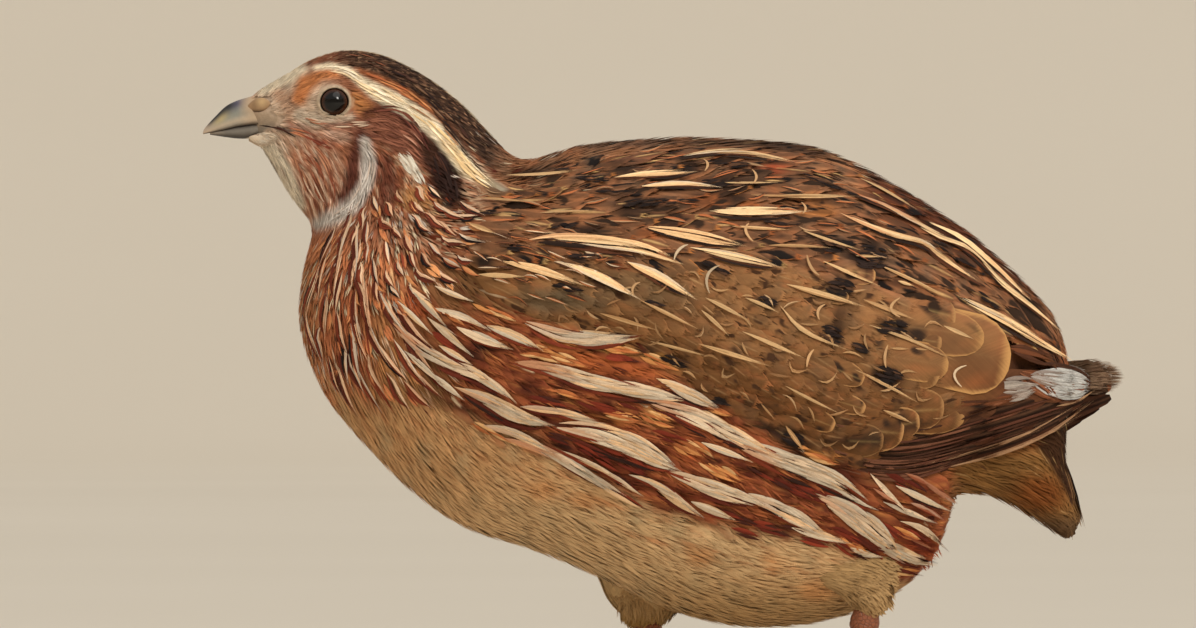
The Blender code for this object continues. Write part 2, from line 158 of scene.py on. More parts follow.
def invert(columns, rows):
    """Body station and angle magnitude of a side-view position."""
    columns, rows = np.asarray(columns, float), np.asarray(rows, float)
    low, high = np.zeros_like(columns), np.full_like(columns, BODY_END)
    for _ in range(26):
        mid = 0.5 * (low + high)
        s = curve(BODY, mid)
        ahead = ((s[:, 2] - s[:, 0]) * (rows - s[:, 1]) - (s[:, 3] - s[:, 1]) * (columns - s[:, 0])) > 0
        high = np.where(ahead, mid, high)
        low = np.where(ahead, low, mid)
    u = 0.5 * (low + high)
    s = curve(BODY, u)
    span = np.hypot(s[:, 2] - s[:, 0], s[:, 3] - s[:, 1])
    down = ((columns - s[:, 0]) * (s[:, 2] - s[:, 0]) + (rows - s[:, 1]) * (s[:, 3] - s[:, 1])) / span**2
    level = np.where(down < s[:, 5], (s[:, 5] - down) / s[:, 5], -(down - s[:, 5]) / (1 - s[:, 5]))
    level = np.clip(level, -1, 1)
    cosine = np.sign(level) * np.abs(level) ** (ROUND / 2)
    inside = np.clip(1 - np.abs(level) ** ROUND, 0, 1) ** (1 / ROUND)
    return u, np.arccos(np.clip(cosine, -1, 1)), s[:, 4] * MM * inside


# lookup of the body's half-width over the side view, every 2 grid units
_gc, _gr = np.meshgrid(np.arange(190, 1131, 2.0), np.arange(30, 661, 2.0))
_HALF = invert(_gc.ravel(), _gr.ravel())[2].reshape(_gc.shape)


def half_width(columns, rows):
    x = np.clip((np.asarray(columns) - 190) / 2, 0, _HALF.shape[1] - 1.001)
    y = np.clip((np.asarray(rows) - 30) / 2, 0, _HALF.shape[0] - 1.001)
    i, j = x.astype(int), y.astype(int)
    fx, fy = x - i, y - j
    h = _HALF
    return ((h[j, i] * (1 - fx) + h[j, i + 1] * fx) * (1 - fy)
            + (h[j + 1, i] * (1 - fx) + h[j + 1, i + 1] * fx) * fy)


_ws = np.linspace(0, 11, 300)
_wu, _wl = curve(WING_UPPER, _ws), curve(WING_LOWER, _ws)
_wx = 0.5 * (_wu[:, 0] + _wl[:, 0])


def wing_st(columns, rows):
    s = np.interp(columns, _wx, _ws / 11)
    top = np.interp(columns, _wx, _wu[:, 1])
    low = np.interp(columns, _wx, _wl[:, 1])
    return s, (rows - top) / (low - top)


def wing_rise(columns, rows):
    """How far the folded wing stands out over the body (metres), 0 away from it."""
    s, t = wing_st(columns, rows)
    bulk = np.sin(math.pi * np.clip(t, 0, 1)) ** 0.8 * np.clip(s / 0.32, 0, 1) ** 0.8 * np.clip((1.02 - s) / 0.5, 0, 1) ** 0.7
    rim = 1.0 * MM * step(-0.25, 0.1, t) * step(0.0, 0.12, s) * (1 - step(0.97, 1.12, t) * step(870, 800, columns))
    tuck = 1 - step(0.72, 1.0, t) * step(860, 790, columns)
    inside = step(430, 470, columns) * (t < 1.3)
    return (rim + 3.2 * MM * bulk) * tuck * inside


def envelope_y(columns, rows):
    """Distance of the feather-tip surface from the middle plane in side view, wing included."""
    on_body = half_width(columns, rows)
    plane = np.interp(columns, [p[0] for p in TIP_PLANE], [p[1] * MM for p in TIP_PLANE])
    plane = plane * np.clip((columns - 860) / 60, 0, 1)
    base = 0.5 * (on_body + plane + np.sqrt((on_body - plane) ** 2 + 2.5e-6))
    return base + wing_rise(columns, rows)


def srgb(r, g, b):
    c = np.array([r, g, b], float) / 255
    return np.where(c <= 0.04045, c / 12.92, ((c + 0.055) / 1.055) ** 2.4)


def near(points, col, row):
    """Distance to a polyline and how far along it (0 to 1)."""
    pts = np.asarray(points, float)
    seg = np.hypot(*np.diff(pts, axis=0).T)
    run = np.concatenate([[0], np.cumsum(seg)]) / seg.sum()
    best, where = np.full(np.shape(col), 1e9), np.zeros(np.shape(col))
    for k in range(len(pts) - 1):
        a, b = pts[k], pts[k + 1]
        d = b - a
        f = np.clip(((col - a[0]) * d[0] + (row - a[1]) * d[1]) / (d @ d), 0, 1)
        dist = np.hypot(col - a[0] - d[0] * f, row - a[1] - d[1] * f)
        hit = dist < best
        best = np.where(hit, dist, best)
        where = np.where(hit, run[k] + (run[k + 1] - run[k]) * f, where)
    return best, where


def stroke(points, width, col, row, soft=3.0):
    """Mask of a brush stroke whose half-width runs through the given values."""
    d, f = near(points, col, row)
    w = np.interp(f, np.linspace(0, 1, len(width)), width)
    return 1 - step(w - soft, w + soft, d)


def spot(cx, cy, rx, ry, col, row, soft=0.35, tilt=0.0):
    a = math.radians(tilt)
    dx, dy = col - cx, row - cy
    x, y = dx * math.cos(a) + dy * math.sin(a), -dx * math.sin(a) + dy * math.cos(a)
    return 1 - step(1 - soft, 1 + soft, np.hypot(x / rx, y / ry))


def wobble(col, row, scale, seed):
    """Cheap smooth noise, -1 to 1."""
    r = np.random.default_rng(seed)
    out = 0
    for _ in range(5):
        a, k, p = r.uniform(0, 2 * math.pi), r.uniform(0.7, 1.6) / scale, r.uniform(0, 6.3)
        out = out + np.sin((col * math.cos(a) + row * math.sin(a)) * k * 2 * math.pi + p)
    return out / 3.2


# ------------------------------------------------------------------ markings
CREAM = srgb(232, 212, 176)
WHITE = srgb(226, 216, 200)
PALE = srgb(205, 178, 142)
BUFF = srgb(201, 158, 102)
YELLOW = srgb(232, 190, 124)
SAND = srgb(190, 154, 108)
RUFOUS = srgb(172, 98, 54)
ORANGE = srgb(196, 124, 66)
CHESTNUT = srgb(122, 58, 36)
MAROON = srgb(92, 42, 28)
BROWN = srgb(122, 84, 52)
WARM = srgb(146, 102, 64)
GREYBROWN = srgb(110, 90, 72)
DARK = srgb(54, 38, 28)
BLACK = srgb(30, 24, 22)
PINK = srgb(182, 126, 98)
GREY = srgb(196, 186, 176)


def lay(colour, over, mask):
    return colour + (over - colour) * np.clip(mask, 0, 1)[..., None]


BELLY_LINE = ([300, 340, 380, 430, 473, 543, 604, 647, 734, 821, 882, 950],
              [395, 400, 402, 406, 420, 445, 483, 508, 532, 542, 568, 590])
BLOTS = (
    # black and maroon marks, then warm ones: column, row, half-length, half-height, tilt, colour, strength
    (690, 166, 14, 7, 0, BLACK, 1), (732, 190, 16, 15, 0, BLACK, .9), (630, 205, 14, 11, 0, BLACK, .85), (590, 229, 14, 7, -8, BLACK, 1),
    (673, 222, 14, 8, 0, BLACK, .9), (546, 257, 7, 9, 0, BLACK, 1), (487, 257, 9, 9, 0, BLACK, 1), (763, 301, 9, 5, 15, BLACK, .9),
    (828, 247, 15, 13, 10, BLACK, 1), (866, 256, 14, 19, 10, BLACK, 1), (838, 289, 14, 13, 20, BLACK, 1), (889, 327, 16, 9, 18, BLACK, 1),
    (884, 378, 15, 12, 20, BLACK, 1), (829, 334, 11, 10, 40, BLACK, .95), (765, 302, 9, 6, 15, BLACK, .95), (1030, 312, 17, 12, 35, BLACK, .9), (645, 212, 42, 12, 0, DARK, .6), (705, 202, 30, 9, 0, DARK, .65),
    (765, 178, 30, 8, 0, DARK, .6), (665, 308, 30, 12, 8, DARK, .4), (560, 300, 45, 12, 3, srgb(104, 92, 72), .7), (640, 288, 60, 14, 6, srgb(112, 90, 64), .6),
    (580, 262, 12, 6, 0, DARK, .7), (620, 170, 24, 5, -6, DARK, .8), (535, 172, 24, 6, -8, DARK, .9), (530, 198, 32, 4, 0, BLACK, .9),
    (620, 143, 60, 5, -3, srgb(90, 70, 58), .7), (740, 143, 70, 5, 1, srgb(80, 58, 44), .8), (800, 150, 40, 5, 8, BLACK, .7),
    (946, 345, 26, 14, 20, srgb(92, 62, 42), .6), (966, 372, 14, 14, 0, srgb(96, 60, 38), .7), (835, 320, 8, 16, 30, DARK, .8), (790, 436, 22, 8, 20, BLACK, .9),
    (860, 440, 30, 6, 0, BLACK, .8), (905, 425, 30, 6, -6, DARK, .7), (755, 405, 16, 6, 18, DARK, .7),
    (650, 235, 12, 5, 5, RUFOUS, .9), (706, 202, 16, 5, 0, RUFOUS, .7), (620, 266, 12, 4, 10, CHESTNUT, .8), (776, 168, 16, 5, 0, srgb(176, 84, 54), .9),
    (750, 207, 12, 7, 0, RUFOUS, .8), (815, 208, 18, 12, 10, ORANGE, .7), (851, 273, 10, 7, 20, srgb(178, 128, 86), .8), (925, 300, 18, 18, 40, srgb(164, 110, 70), .5),
    (985, 382, 16, 6, -8, RUFOUS, .7), (925, 290, 14, 10, 20, RUFOUS, .4), (988, 412, 34, 13, -12, srgb(100, 64, 44), 1),
    (1048, 378, 66, 32, 0, srgb(96, 60, 40), 1), (1024, 350, 20, 12, 30, srgb(122, 74, 42), 1), (1030, 384, 40, 5, 0, srgb(70, 42, 30), .8), (720, 155, 30, 4, 0, RUFOUS, .6), (640, 160, 30, 5, -4, srgb(150, 96, 70), .7),
    (560, 210, 50, 14, 3, srgb(168, 110, 72), .6), (862, 312, 18, 8, 20, WARM, .4),
    # flank
    (450, 334, 10, 11, 20, MAROON, .95), (490, 347, 26, 4, 2, BLACK, .95), (471, 356, 11, 10, 0, srgb(58, 30, 24), .9), (592, 347, 15, 5, 4, BLACK, .95),
    (640, 351, 12, 4, 4, BLACK, .9), (678, 362, 16, 4, 14, BLACK, .9), (532, 388, 12, 8, 10, srgb(58, 26, 20), .95), (563, 392, 8, 10, 0, BLACK, .95),
    (606, 411, 9, 13, 0, srgb(58, 26, 20), .9), (540, 423, 44, 3, 4, BLACK, .9), (672, 416, 7, 9, 0, srgb(56, 30, 18), .9), (705, 459, 12, 4, 14, BLACK, .8),
    (755, 471, 18, 5, 14, srgb(48, 22, 16), .9), (793, 488, 20, 6, 24, srgb(58, 24, 16), .9), (722, 511, 20, 5, 12, srgb(64, 28, 18), .9),
    (775, 526, 16, 4, 8, BLACK, .8), (765, 426, 12, 5, 20, BLACK, .8), (795, 448, 12, 8, 20, BLACK, .8), (842, 476, 20, 14, 30, MAROON, .9),
    (470, 410, 22, 5, 25, srgb(58, 30, 24), .8), (620, 385, 30, 4, 10, MAROON, .7), (690, 408, 30, 6, 8, MAROON, .8), (640, 480, 50, 8, 16, MAROON, .7),
    (617, 349, 15, 6, 5, srgb(206, 150, 84), .95), (657, 360, 10, 5, 10, srgb(206, 150, 84), .95), (622, 416, 9, 9, 0, ORANGE, .95), (655, 416, 11, 10, 0, srgb(206, 152, 92), .95),
    (690, 450, 13, 11, 10, srgb(190, 100, 56), .95), (729, 471, 10, 6, 10, srgb(190, 104, 58), .9), (815, 455, 9, 7, 20, srgb(200, 130, 66), .95),
    (825, 500, 12, 5, 10, srgb(190, 110, 62), .9), (560, 346, 22, 6, 4, ORANGE, .8), (600, 364, 60, 9, 10, srgb(186, 100, 54), .8),
    (590, 455, 52, 10, 14, MAROON, .75), (856, 549, 16, 9, 20, srgb(140, 58, 34), .95), (917, 541, 22, 14, 35, srgb(146, 64, 38), .95),
    (909, 575, 23, 6, 0, srgb(140, 60, 34), .95), (470, 372, 20, 8, 20, CHESTNUT, .7), (420, 305, 16, 12, 20, srgb(176, 84, 46), .8),
)
def paint(col, row, y):
    """The coat's ground colour at a side-view position, y in metres from the middle plane."""
    col, row = np.asarray(col, float), np.asarray(row, float)
    ay = np.abs(y) / MM
    n1, n2, n3 = wobble(col, row, 34, 3), wobble(col, row, 15, 5), wobble(col, row, 8, 8)
    c = np.broadcast_to(BROWN, col.shape + (3,)).copy()
    # body grounds
    breast = step(470, 380, col + 0.25 * (row - 250) + 12 * n1) * step(205, 240, row)
    c = lay(c, srgb(208, 134, 90), breast)
    c = lay(c, srgb(146, 74, 48), breast * spot(352, 330, 30, 78, col, row, 0.5, -10) * (0.55 + 0.45 * n2))
    c = lay(c, srgb(190, 134, 84), spot(398, 372, 20, 60, col, row, 0.6, -22) * 0.8)
    c = lay(c, srgb(168, 118, 78), step(330, 304, col - 3 * n2) * step(240, 280, row) * 0.6)
    belly_line = np.interp(col, *BELLY_LINE)
    soft = step(450, 380, col)
    rise = row - belly_line - 5 * n1 - 9 * n2 * soft + soft * (7 * np.sin(y / 2.1e-3 + 0.8) + 5 * np.sin(y / 0.9e-3))
    belly = step(0, 1, (rise + 13 + 14 * soft) / (22 + 26 * soft))
    c = lay(c, srgb(202, 156, 108), belly * step(990, 960, col))
    c = lay(c, srgb(216, 182, 136), belly * spot(660, 540, 240, 62, col, row, 0.6) * 0.85)
    c = lay(c, srgb(196, 126, 80), belly * np.clip(n2 - 0.15, 0, 1) * 0.75 * step(70, 20, row - belly_line))
    c = lay(c, srgb(170, 150, 116), belly * np.clip(-n1 - 0.15, 0, 1) * 0.6)
    # darker towards the bottom of the belly: painted shade on the underside
    c = lay(c, srgb(166, 134, 88), belly * step(560, 620, row) * 0.6)
    for bx, by, rx, ry in ((700, 555, 14, 10), (770, 560, 9, 12), (815, 590, 15, 10), (590, 500, 20, 8), (545, 490, 16, 9)):
        c = lay(c, srgb(206, 140, 84), belly * spot(bx, by, rx, ry, col, row, 0.6) * 0.6)
    flank = step(9, -13, row - belly_line - 5 * n1) * step(410, 450, col - 0.3 * (row - 300)) * step(300, 330, row)
    c = lay(c, srgb(164, 90, 56), flank * (1 - belly))
    c = lay(c, srgb(204, 134, 76), flank * (1 - belly) * np.clip(1.3 * n3 - 0.25, 0, 1) * 0.9)
    c = lay(c, srgb(84, 34, 22), flank * (1 - belly) * np.clip(-1.4 * n2 - 0.15, 0, 1))
    # back and mantle
    back = step(300, 240, row - 0.18 * (col - 600)) * step(470, 500, col + 0.1 * row)
    c = lay(c, srgb(158, 108, 74), back)
    c = lay(c, srgb(176, 108, 70), back * np.clip(0.15 + 0.8 * n2, 0, 1) * 0.8)
    c = lay(c, GREYBROWN, back * np.clip(0.1 - 0.9 * n1, 0, 1) * 0.7)
    c = lay(c, DARK, back * np.clip(n3 - 0.45, 0, 1) * 1.2)
    rump = step(-10, 14, (col - 860) * 0.53 - (row - 205)) * step(850, 880, col)
    c = lay(c, srgb(104, 58, 38), rump)
    c = lay(c, BLACK, rump * np.clip(n3 - 0.3, 0, 1))
    # wing coverts
    ws, wt = wing_st(col, row)
    upper = np.interp(col, [480, 560, 680, 780, 860, 930, 1000], [262, 262, 262, 262, 285, 305, 330])
    wing = step(-0.05, 0.03, ws) * step(1.05, 0.97, wt) * step(470, 500, col) * step(-8, 12, row - upper) * step(1010, 990, col)
    c = lay(c, srgb(146, 104, 66), wing)
    c = lay(c, srgb(112, 74, 42), wing * step(-50, 40, row - np.interp(col, [500, 900], [330, 390])))
    c = lay(c, srgb(158, 100, 62), wing * np.clip(n2, 0, 1) * 0.7)
    c = lay(c, srgb(84, 58, 38), wing * np.clip(n3 * 1.3 - 0.45, 0, 1) * step(640, 720, col) * 0.7)
    c = lay(c, srgb(112, 84, 58), wing * np.clip(-n1 - 0.1, 0, 1) * 0.8)
    # undertail and tail
    under = step(940, 965, col) * step(432, 470, row + 0.1 * (col - 950))
    c = lay(c, srgb(140, 100, 56), under)
    c = lay(c, srgb(126, 70, 32), under * spot(1040, 494, 26, 20, col, row, 0.6) * 0.9)
    c = lay(c, srgb(104, 78, 54), under * step(505, 528, row))
    tail = step(-4, 6, (col - 1030) * 1.51 - (row - 438)) * step(1026, 1040, col) * step(395, 415, row)
    c = lay(c, srgb(66, 42, 26), tail)
    late = (col > 470) & (row > 130) & (col < 1060)
    if late.any():
        cc, rr, part = col[late], row[late], c[late]
        for bx, by, rx, ry, tilt, shade, force in BLOTS:
            part = lay(part, shade, spot(bx, by, rx, ry, cc, rr, 0.45, tilt) * force)
        c[late] = part
    mid = (col <= 470) & (row > 270)
    if mid.any():
        cc, rr, part = col[mid], row[mid], c[mid]
        for bx, by, rx, ry, tilt, shade, force in BLOTS:
            if bx < 500 and by > 290:
                part = lay(part, shade, spot(bx, by, rx, ry, cc, rr, 0.45, tilt) * force)
        c[mid] = part
    # ---- head and neck
    head = step(505, 490, col + 0.30 * (row - 160)) * step(262, 225, row - 0.12 * (col - 330))
    c = lay(c, srgb(158, 102, 74), head)
    throat = stroke([(266, 142), (300, 165), (322, 190), (330, 206)], [10, 34, 34, 22], col, row, 8)
    c = lay(c, srgb(206, 158, 126), throat * head)
    wave = (col * 0.86 - row * 0.40) * 0.75 + 2.0 * n2
    c = lay(c, srgb(224, 196, 172), throat * head * np.clip(np.sin(wave), 0, 1) * 0.85)
    c = lay(c, srgb(130, 66, 46), throat * head * np.clip(np.sin(wave + 3.1), 0, 1) * step(130, 190, row) * 0.9)
    c = lay(c, srgb(150, 74, 50), throat * head * spot(318, 160, 26, 30, col, row, 0.6) * np.clip(0.3 + n3, 0, 1) * 0.7)
    neck = head * step(350, 372, col - 0.2 * (row - 160)) * step(140, 160, row)
    c = lay(c, srgb(172, 106, 72), neck)
    c = lay(c, CREAM, neck * np.clip(np.sin(col * 0.42 + row * 0.10 + 2.6 * n2) - 0.35, 0, 1) * 0.9)
    c = lay(c, MAROON, neck * np.clip(np.sin(col * 0.42 + row * 0.10 + 2.6 + 2.6 * n2) - 0.2, 0, 1) * 1.0)
    c = lay(c, srgb(196, 140, 86), spot(420, 200, 20, 12, col, row, 0.5) * 0.8)
    # lores, forehead and the ring round the eye
    face = spot(292, 102, 44, 36, col, row, 0.4)
    c = lay(c, srgb(206, 180, 156), face * head)
    c = lay(c, srgb(186, 134, 100), stroke([(278, 92), (290, 104), (292, 118)], [6, 8, 6], col, row, 5) * 0.5)
    c = lay(c, srgb(224, 208, 182), stroke([(262, 92), (282, 79), (300, 72)], [4, 7, 8], col, row, 4))
    c = lay(c, srgb(198, 128, 80), stroke([(300, 98), (306, 84), (320, 76), (338, 74)], [8, 9, 6, 4], col, row, 5))
    c = lay(c, srgb(206, 186, 164), stroke([(300, 116), (318, 121), (340, 123), (352, 118)], [6, 6, 4, 3], col, row, 4))
    c = lay(c, srgb(190, 126, 76), stroke([(356, 98), (364, 108), (372, 114)], [6, 8, 6], col, row, 5))
    # crown
    crown_edge = np.interp(col, [262, 300, 330, 360, 390, 400, 420, 440, 460, 480, 500, 520],
                           [68, 62, 62, 69, 80, 86, 98, 112, 133, 158, 180, 198])
    crown = step(5, -4, row - crown_edge) * step(285, 305, col) * head
    c = lay(c, srgb(64, 44, 34), crown)
    c = lay(c, srgb(158, 94, 66), crown * step(356, 316, col) * 0.9)
    c = lay(c, srgb(140, 104, 80), crown * np.clip(wobble(col, row, 7, 21) * 1.5 - 0.25, 0, 1))
    c = lay(c, BLACK, crown * step(350, 400, col) * np.clip(-n3 * 1.3 + 0.1, 0, 1) * 0.8)
    c = lay(c, CREAM, step(0.95, 0.45, ay) * step(275, 300, col) * step(512, 480, col) * step(20, 5, row - crown_edge) * head * 0.9)
    # ear coverts
    c = lay(c, srgb(140, 88, 68), stroke([(362, 130), (388, 128), (412, 142), (428, 158)], [10, 18, 16, 10], col, row, 6))
    c = lay(c, srgb(92, 52, 40), stroke([(366, 114), (384, 108), (402, 113), (420, 134), (432, 152)], [4, 5, 6, 6, 5], col, row, 4))
    c = lay(c, srgb(168, 116, 94), stroke([(326, 126), (350, 127), (366, 128)], [3, 5, 5], col, row, 4) * 0.8)
    c = lay(c, srgb(156, 82, 60), stroke([(288, 124), (302, 131), (316, 139), (334, 145)], [3, 6, 5, 3], col, row, 5) * (0.55 + 0.35 * n3))
    c = lay(c, srgb(206, 172, 150), stroke([(330, 134), (345, 138)], [5, 6], col, row, 4) * 0.7)
    c = lay(c, srgb(70, 46, 40), stroke([(262, 124.5), (276, 127), (292, 132.5)], [1.6, 1.6, 1.0], col, row, 1.4))
    c = lay(c, srgb(98, 54, 42), stroke([(360, 134), (355, 158), (352, 186), (340, 200)], [5, 6, 7, 4], col, row, 4))
    # hind neck, white patch and collar
    c = lay(c, srgb(54, 34, 28), stroke([(434, 154), (446, 172), (453, 198)], [12, 17, 13], col, row, 5))
    c = lay(c, srgb(70, 44, 32), stroke([(424, 142), (438, 158)], [7, 9], col, row, 4) * 0.9)
    c = lay(c, srgb(112, 62, 46), stroke([(386, 160), (390, 190), (384, 212)], [8, 11, 8], col, row, 5) * 0.9)
    c = lay(c, srgb(222, 208, 186), stroke([(407, 162), (412, 168), (417, 176)], [4, 6, 3], col, row, 4) * (0.7 + 0.35 * n3))
    c = lay(c, srgb(206, 196, 186), stroke([(366, 142), (369, 158), (368, 182), (356, 204), (338, 216), (318, 224)],
                                           [5, 8, 7, 8, 8, 6], col, row, 3.5))
    # brow, with the rufous line over it
    c = lay(c, srgb(176, 106, 64), stroke([(358, 72), (380, 80), (404, 91), (430, 109), (450, 130)], [3, 4, 4, 3, 2], col, row, 3) * (0.8 + 0.3 * n3))
    c = lay(c, srgb(242, 226, 196), stroke([(316, 68), (330, 66), (348, 71), (362, 82), (380, 94), (404, 106), (424, 120),
                                            (444, 138), (464, 162), (484, 184), (500, 192)],
                                           [2.5, 3.5, 4.5, 8, 9, 8.5, 8.5, 9, 9.5, 8, 5], col, row, 2.6))
    c = lay(c, srgb(228, 192, 134), stroke([(448, 146), (470, 170), (492, 190)], [5, 6, 4], col, row, 4) * 0.7)
    c = lay(c, srgb(46, 30, 24), stroke([(446, 122), (458, 136), (470, 152)], [1.5, 2.5, 1.5], col, row, 2) * 0.8)
    # chin
    c = lay(c, srgb(146, 132, 116), stroke([(256, 128.5), (266, 127.5), (273, 127.5)], [4, 2.6, 1.2], col, row, 1.2) * 0.8)
    c = lay(c, srgb(226, 206, 184), stroke([(260, 133), (272, 138), (284, 150)], [4, 6, 5], col, row, 5) * (0.6 + 0.3 * n3))
    c = lay(c, srgb(228, 214, 192), stroke([(258, 143), (270, 152), (282, 172), (290, 190), (299, 206)],
                                           [7, 10, 11, 10, 7], col, row, 4))
    c = lay(c, srgb(120, 100, 86), stroke([(262, 150), (274, 168), (282, 188)], [1.0, 1.6, 1.4], col, row, 1.6) * 0.7)
    ring = np.hypot(col - EYE_AT[0], (row - EYE_AT[1]) * 1.03)
    c = lay(c, srgb(206, 184, 156), (1 - step(16.6, 18.6, ring)) * step(8, 12, ring) * (0.8 + 0.25 * n3))
    # horn of the gape, which runs back into the face between the lores and the chin
    wedge = step(1.6, -1.6, col - (280 - 1.45 * np.abs(row - 121))) * step(111, 115, row) * step(139, 135, row)
    split_row = np.interp(col, [250, 262, 274, 290], [125.5, 126, 127.5, 132])
    c = lay(c, srgb(176, 152, 126), wedge * step(1.0, -1.0, row - split_row) * 0.9)
    c = lay(c, srgb(142, 130, 116), wedge * step(-1.0, 1.0, row - split_row) * 0.9)
    c = lay(c, srgb(150, 134, 118), wedge * np.exp(-((row - split_row + 4) / 2.6) ** 2) * 0.7)
    return c


# ------------------------------------------------------------- mesh assembly
def make_mesh(name, verts, quads, tris, attrs, uv=None, material=None, smooth=True):
    mesh = bpy.data.meshes.new(name)
    nq, nt = len(quads), len(tris)
    loops = np.concatenate([np.asarray(quads, np.int32).ravel(), np.asarray(tris, np.int32).ravel()]).astype(np.int32)
    mesh.vertices.add(len(verts))
    mesh.vertices.foreach_set("co", np.asarray(verts, np.float32).ravel())
    mesh.loops.add(len(loops))
    mesh.loops.foreach_set("vertex_index", loops)
    mesh.polygons.add(nq + nt)
    starts = np.concatenate([np.arange(nq) * 4, nq * 4 + np.arange(nt) * 3]).astype(np.int32)
    mesh.polygons.foreach_set("loop_start", starts)
    mesh.update(calc_edges=True)
    mesh.validate(clean_customdata=False)
    for key, data in attrs.items():
        data = np.asarray(data, np.float32)
        if data.ndim == 2 and data.shape[1] == 4:
            a = mesh.attributes.new(key, "FLOAT_COLOR", "POINT")
            a.data.foreach_set("color", data.ravel())
        elif data.ndim == 2:
            a = mesh.attributes.new(key, "FLOAT_VECTOR", "POINT")
            a.data.foreach_set("vector", data.ravel())
        else:
            a = mesh.attributes.new(key, "FLOAT", "POINT")
            a.data.foreach_set("value", data)
    if uv is not None:
        layer = mesh.uv_layers.new(name="OFBake")
        n = len(mesh.loops)
        idx = np.empty(n, np.int32)
        mesh.loops.foreach_get("vertex_index", idx)
        layer.data.foreach_set("uv", np.asarray(uv, np.float32)[idx].ravel())
    if smooth:
        mesh.shade_smooth()
    obj = bpy.data.objects.new(name, mesh)
    bpy.context.scene.collection.objects.link(obj)
    if material:
        mesh.materials.append(material)
    return obj


class Coat:
    """Gathers feathers and turns them into joined meshes of under 200,000 triangles."""

    def __init__(self):
        self.v, self.q, self.t, self.a, self.uv = [], [], [], {}, []
        self.count = 0

    def add(self, verts, quads, tris, attrs, uv):
        self.v.append(verts)
        self.q.append(quads + self.count)
        self.t.append(tris + self.count)
        self.uv.append(uv)
        for k, d in attrs.items():
            self.a.setdefault(k, []).append(d)
        self.count += len(verts)

    def triangles(self):
        return sum(2 * len(q) for q in self.q) + sum(len(t) for t in self.t)

    def build(self, name, material):
        obj = make_mesh(name, np.concatenate(self.v), np.concatenate(self.q), np.concatenate(self.t),
                        {k: np.concatenate(d) for k, d in self.a.items()}, np.concatenate(self.uv), material)
        return obj


SHAPES = {
    # width along the feather: name -> function of t
    "round": lambda t: np.minimum(1, (t / 0.30 + 0.05) ** 0.8) * np.sqrt(np.clip(1 - (np.clip(t - 0.55, 0, 1) / 0.47) ** 2.6, 0, 1)),
    "lance": lambda t: np.minimum(1, (t / 0.34 + 0.05) ** 0.9) * (1 - np.clip((t - 0.42) / 0.62, 0, 1) ** 2.3),
    "long": lambda t: np.minimum(1, (t / 0.15 + 0.2) ** 0.6) * np.sqrt(np.clip(1 - (np.clip(t - 0.78, 0, 1) / 0.225) ** 2.2, 0, 1)),
    "strap": lambda t: np.minimum(1, (t / 0.16 + 0.25) ** 0.6) * (1 - np.clip((t - 0.50) / 0.52, 0, 1) ** 2.0),
    "soft": lambda t: np.minimum(1, (t / 0.35 + 0.25) ** 0.7),
    "thread": lambda t: np.sin(math.pi * np.clip(t * 0.92 + 0.04, 0, 1)) ** 0.7,
}


def vane_points(R, N, width, shape, rows, camber, bend):
    """Function giving the points of the vane at t (along) and v (across, -1 to 1)."""
    K = R.shape[1]
    D = unit(np.gradient(R, axis=1))
    B = unit(np.cross(N, D))
    M = unit(np.cross(D, B))
    span = np.linalg.norm(R[:, -1] - R[:, 0], axis=-1)[:, None, None]
    n = len(R)
    index = np.arange(n)[:, None]

    def at(t, v):
        t = np.broadcast_to(np.atleast_2d(t), (n, np.shape(v)[-1]))
        v = np.broadcast_to(v, t.shape)
        f = np.clip(np.interp(t, rows, np.arange(K)), 0, K - 1)
        i = np.clip(np.floor(f).astype(int), 0, K - 2)
        g = (f - i)[..., None]
        past = np.clip(t - rows[-1], 0, 1)[..., None]
        p = R[index, i] * (1 - g) + R[index, i + 1] * g + D[:, -1:, :] * past * span
        b = B[index, i] * (1 - g) + B[index, i + 1] * g
        m = M[index, i] * (1 - g) + M[index, i + 1] * g
        prof = np.maximum(SHAPES[shape](np.clip(t, 0, 1)), 0.10)
        wv = width[:, None] * prof * v
        drop = camber * np.abs(wv) * np.abs(v) + bend * wv * wv
        return p + b * wv[..., None] - m * drop[..., None]

    return at, B, D


def store(coat, P, T, V, R, width, shape, quads, tris, look, root_uv, ground):
    n, per = T.shape
    base = (np.arange(n) * per)[:, None, None]
    quads = (np.asarray(quads, np.int64).reshape(-1, 4)[None] + base).reshape(-1, 4)
    tris = (np.asarray(tris, np.int64).reshape(-1, 3)[None] + base).reshape(-1, 3)
    length = np.linalg.norm(np.diff(R, axis=1), axis=-1).sum(1)
    lat = V * np.maximum(SHAPES[shape](np.clip(T, 0, 1)), 0.10)
    barb = (T * length[:, None] - np.abs(lat) * width[:, None] * 1.8) / MM
    attrs = {"vane": np.stack([T, V, barb], -1).reshape(-1, 3), "lat": lat.reshape(-1)}
    attrs["rnd"] = np.repeat(rng.uniform(0, 1, n), per)
    for key in ("c_base", "c_streak", "c_edge", "c_dark"):
        if key == "c_base" and ground is not None:
            c3 = ground(P, T, V, look)
        else:
            c3 = np.broadcast_to(look[key][:, None, :], (n, per, 3))
        attrs[key] = np.concatenate([c3, np.ones((n, per, 1))], -1).reshape(-1, 4)
    for key in ("par1", "par2"):
        attrs[key] = np.broadcast_to(look[key][:, None, :], (n, per, 4)).reshape(-1, 4)
    uv = root_uv[:, None, :] + 0.003 * np.stack([np.clip(V, -1, 1) * 0.5, T - 0.5], -1)
    coat.add(P.reshape(-1, 3), quads, tris, attrs, uv.reshape(-1, 2))
    return len(quads) * 2 + len(tris)


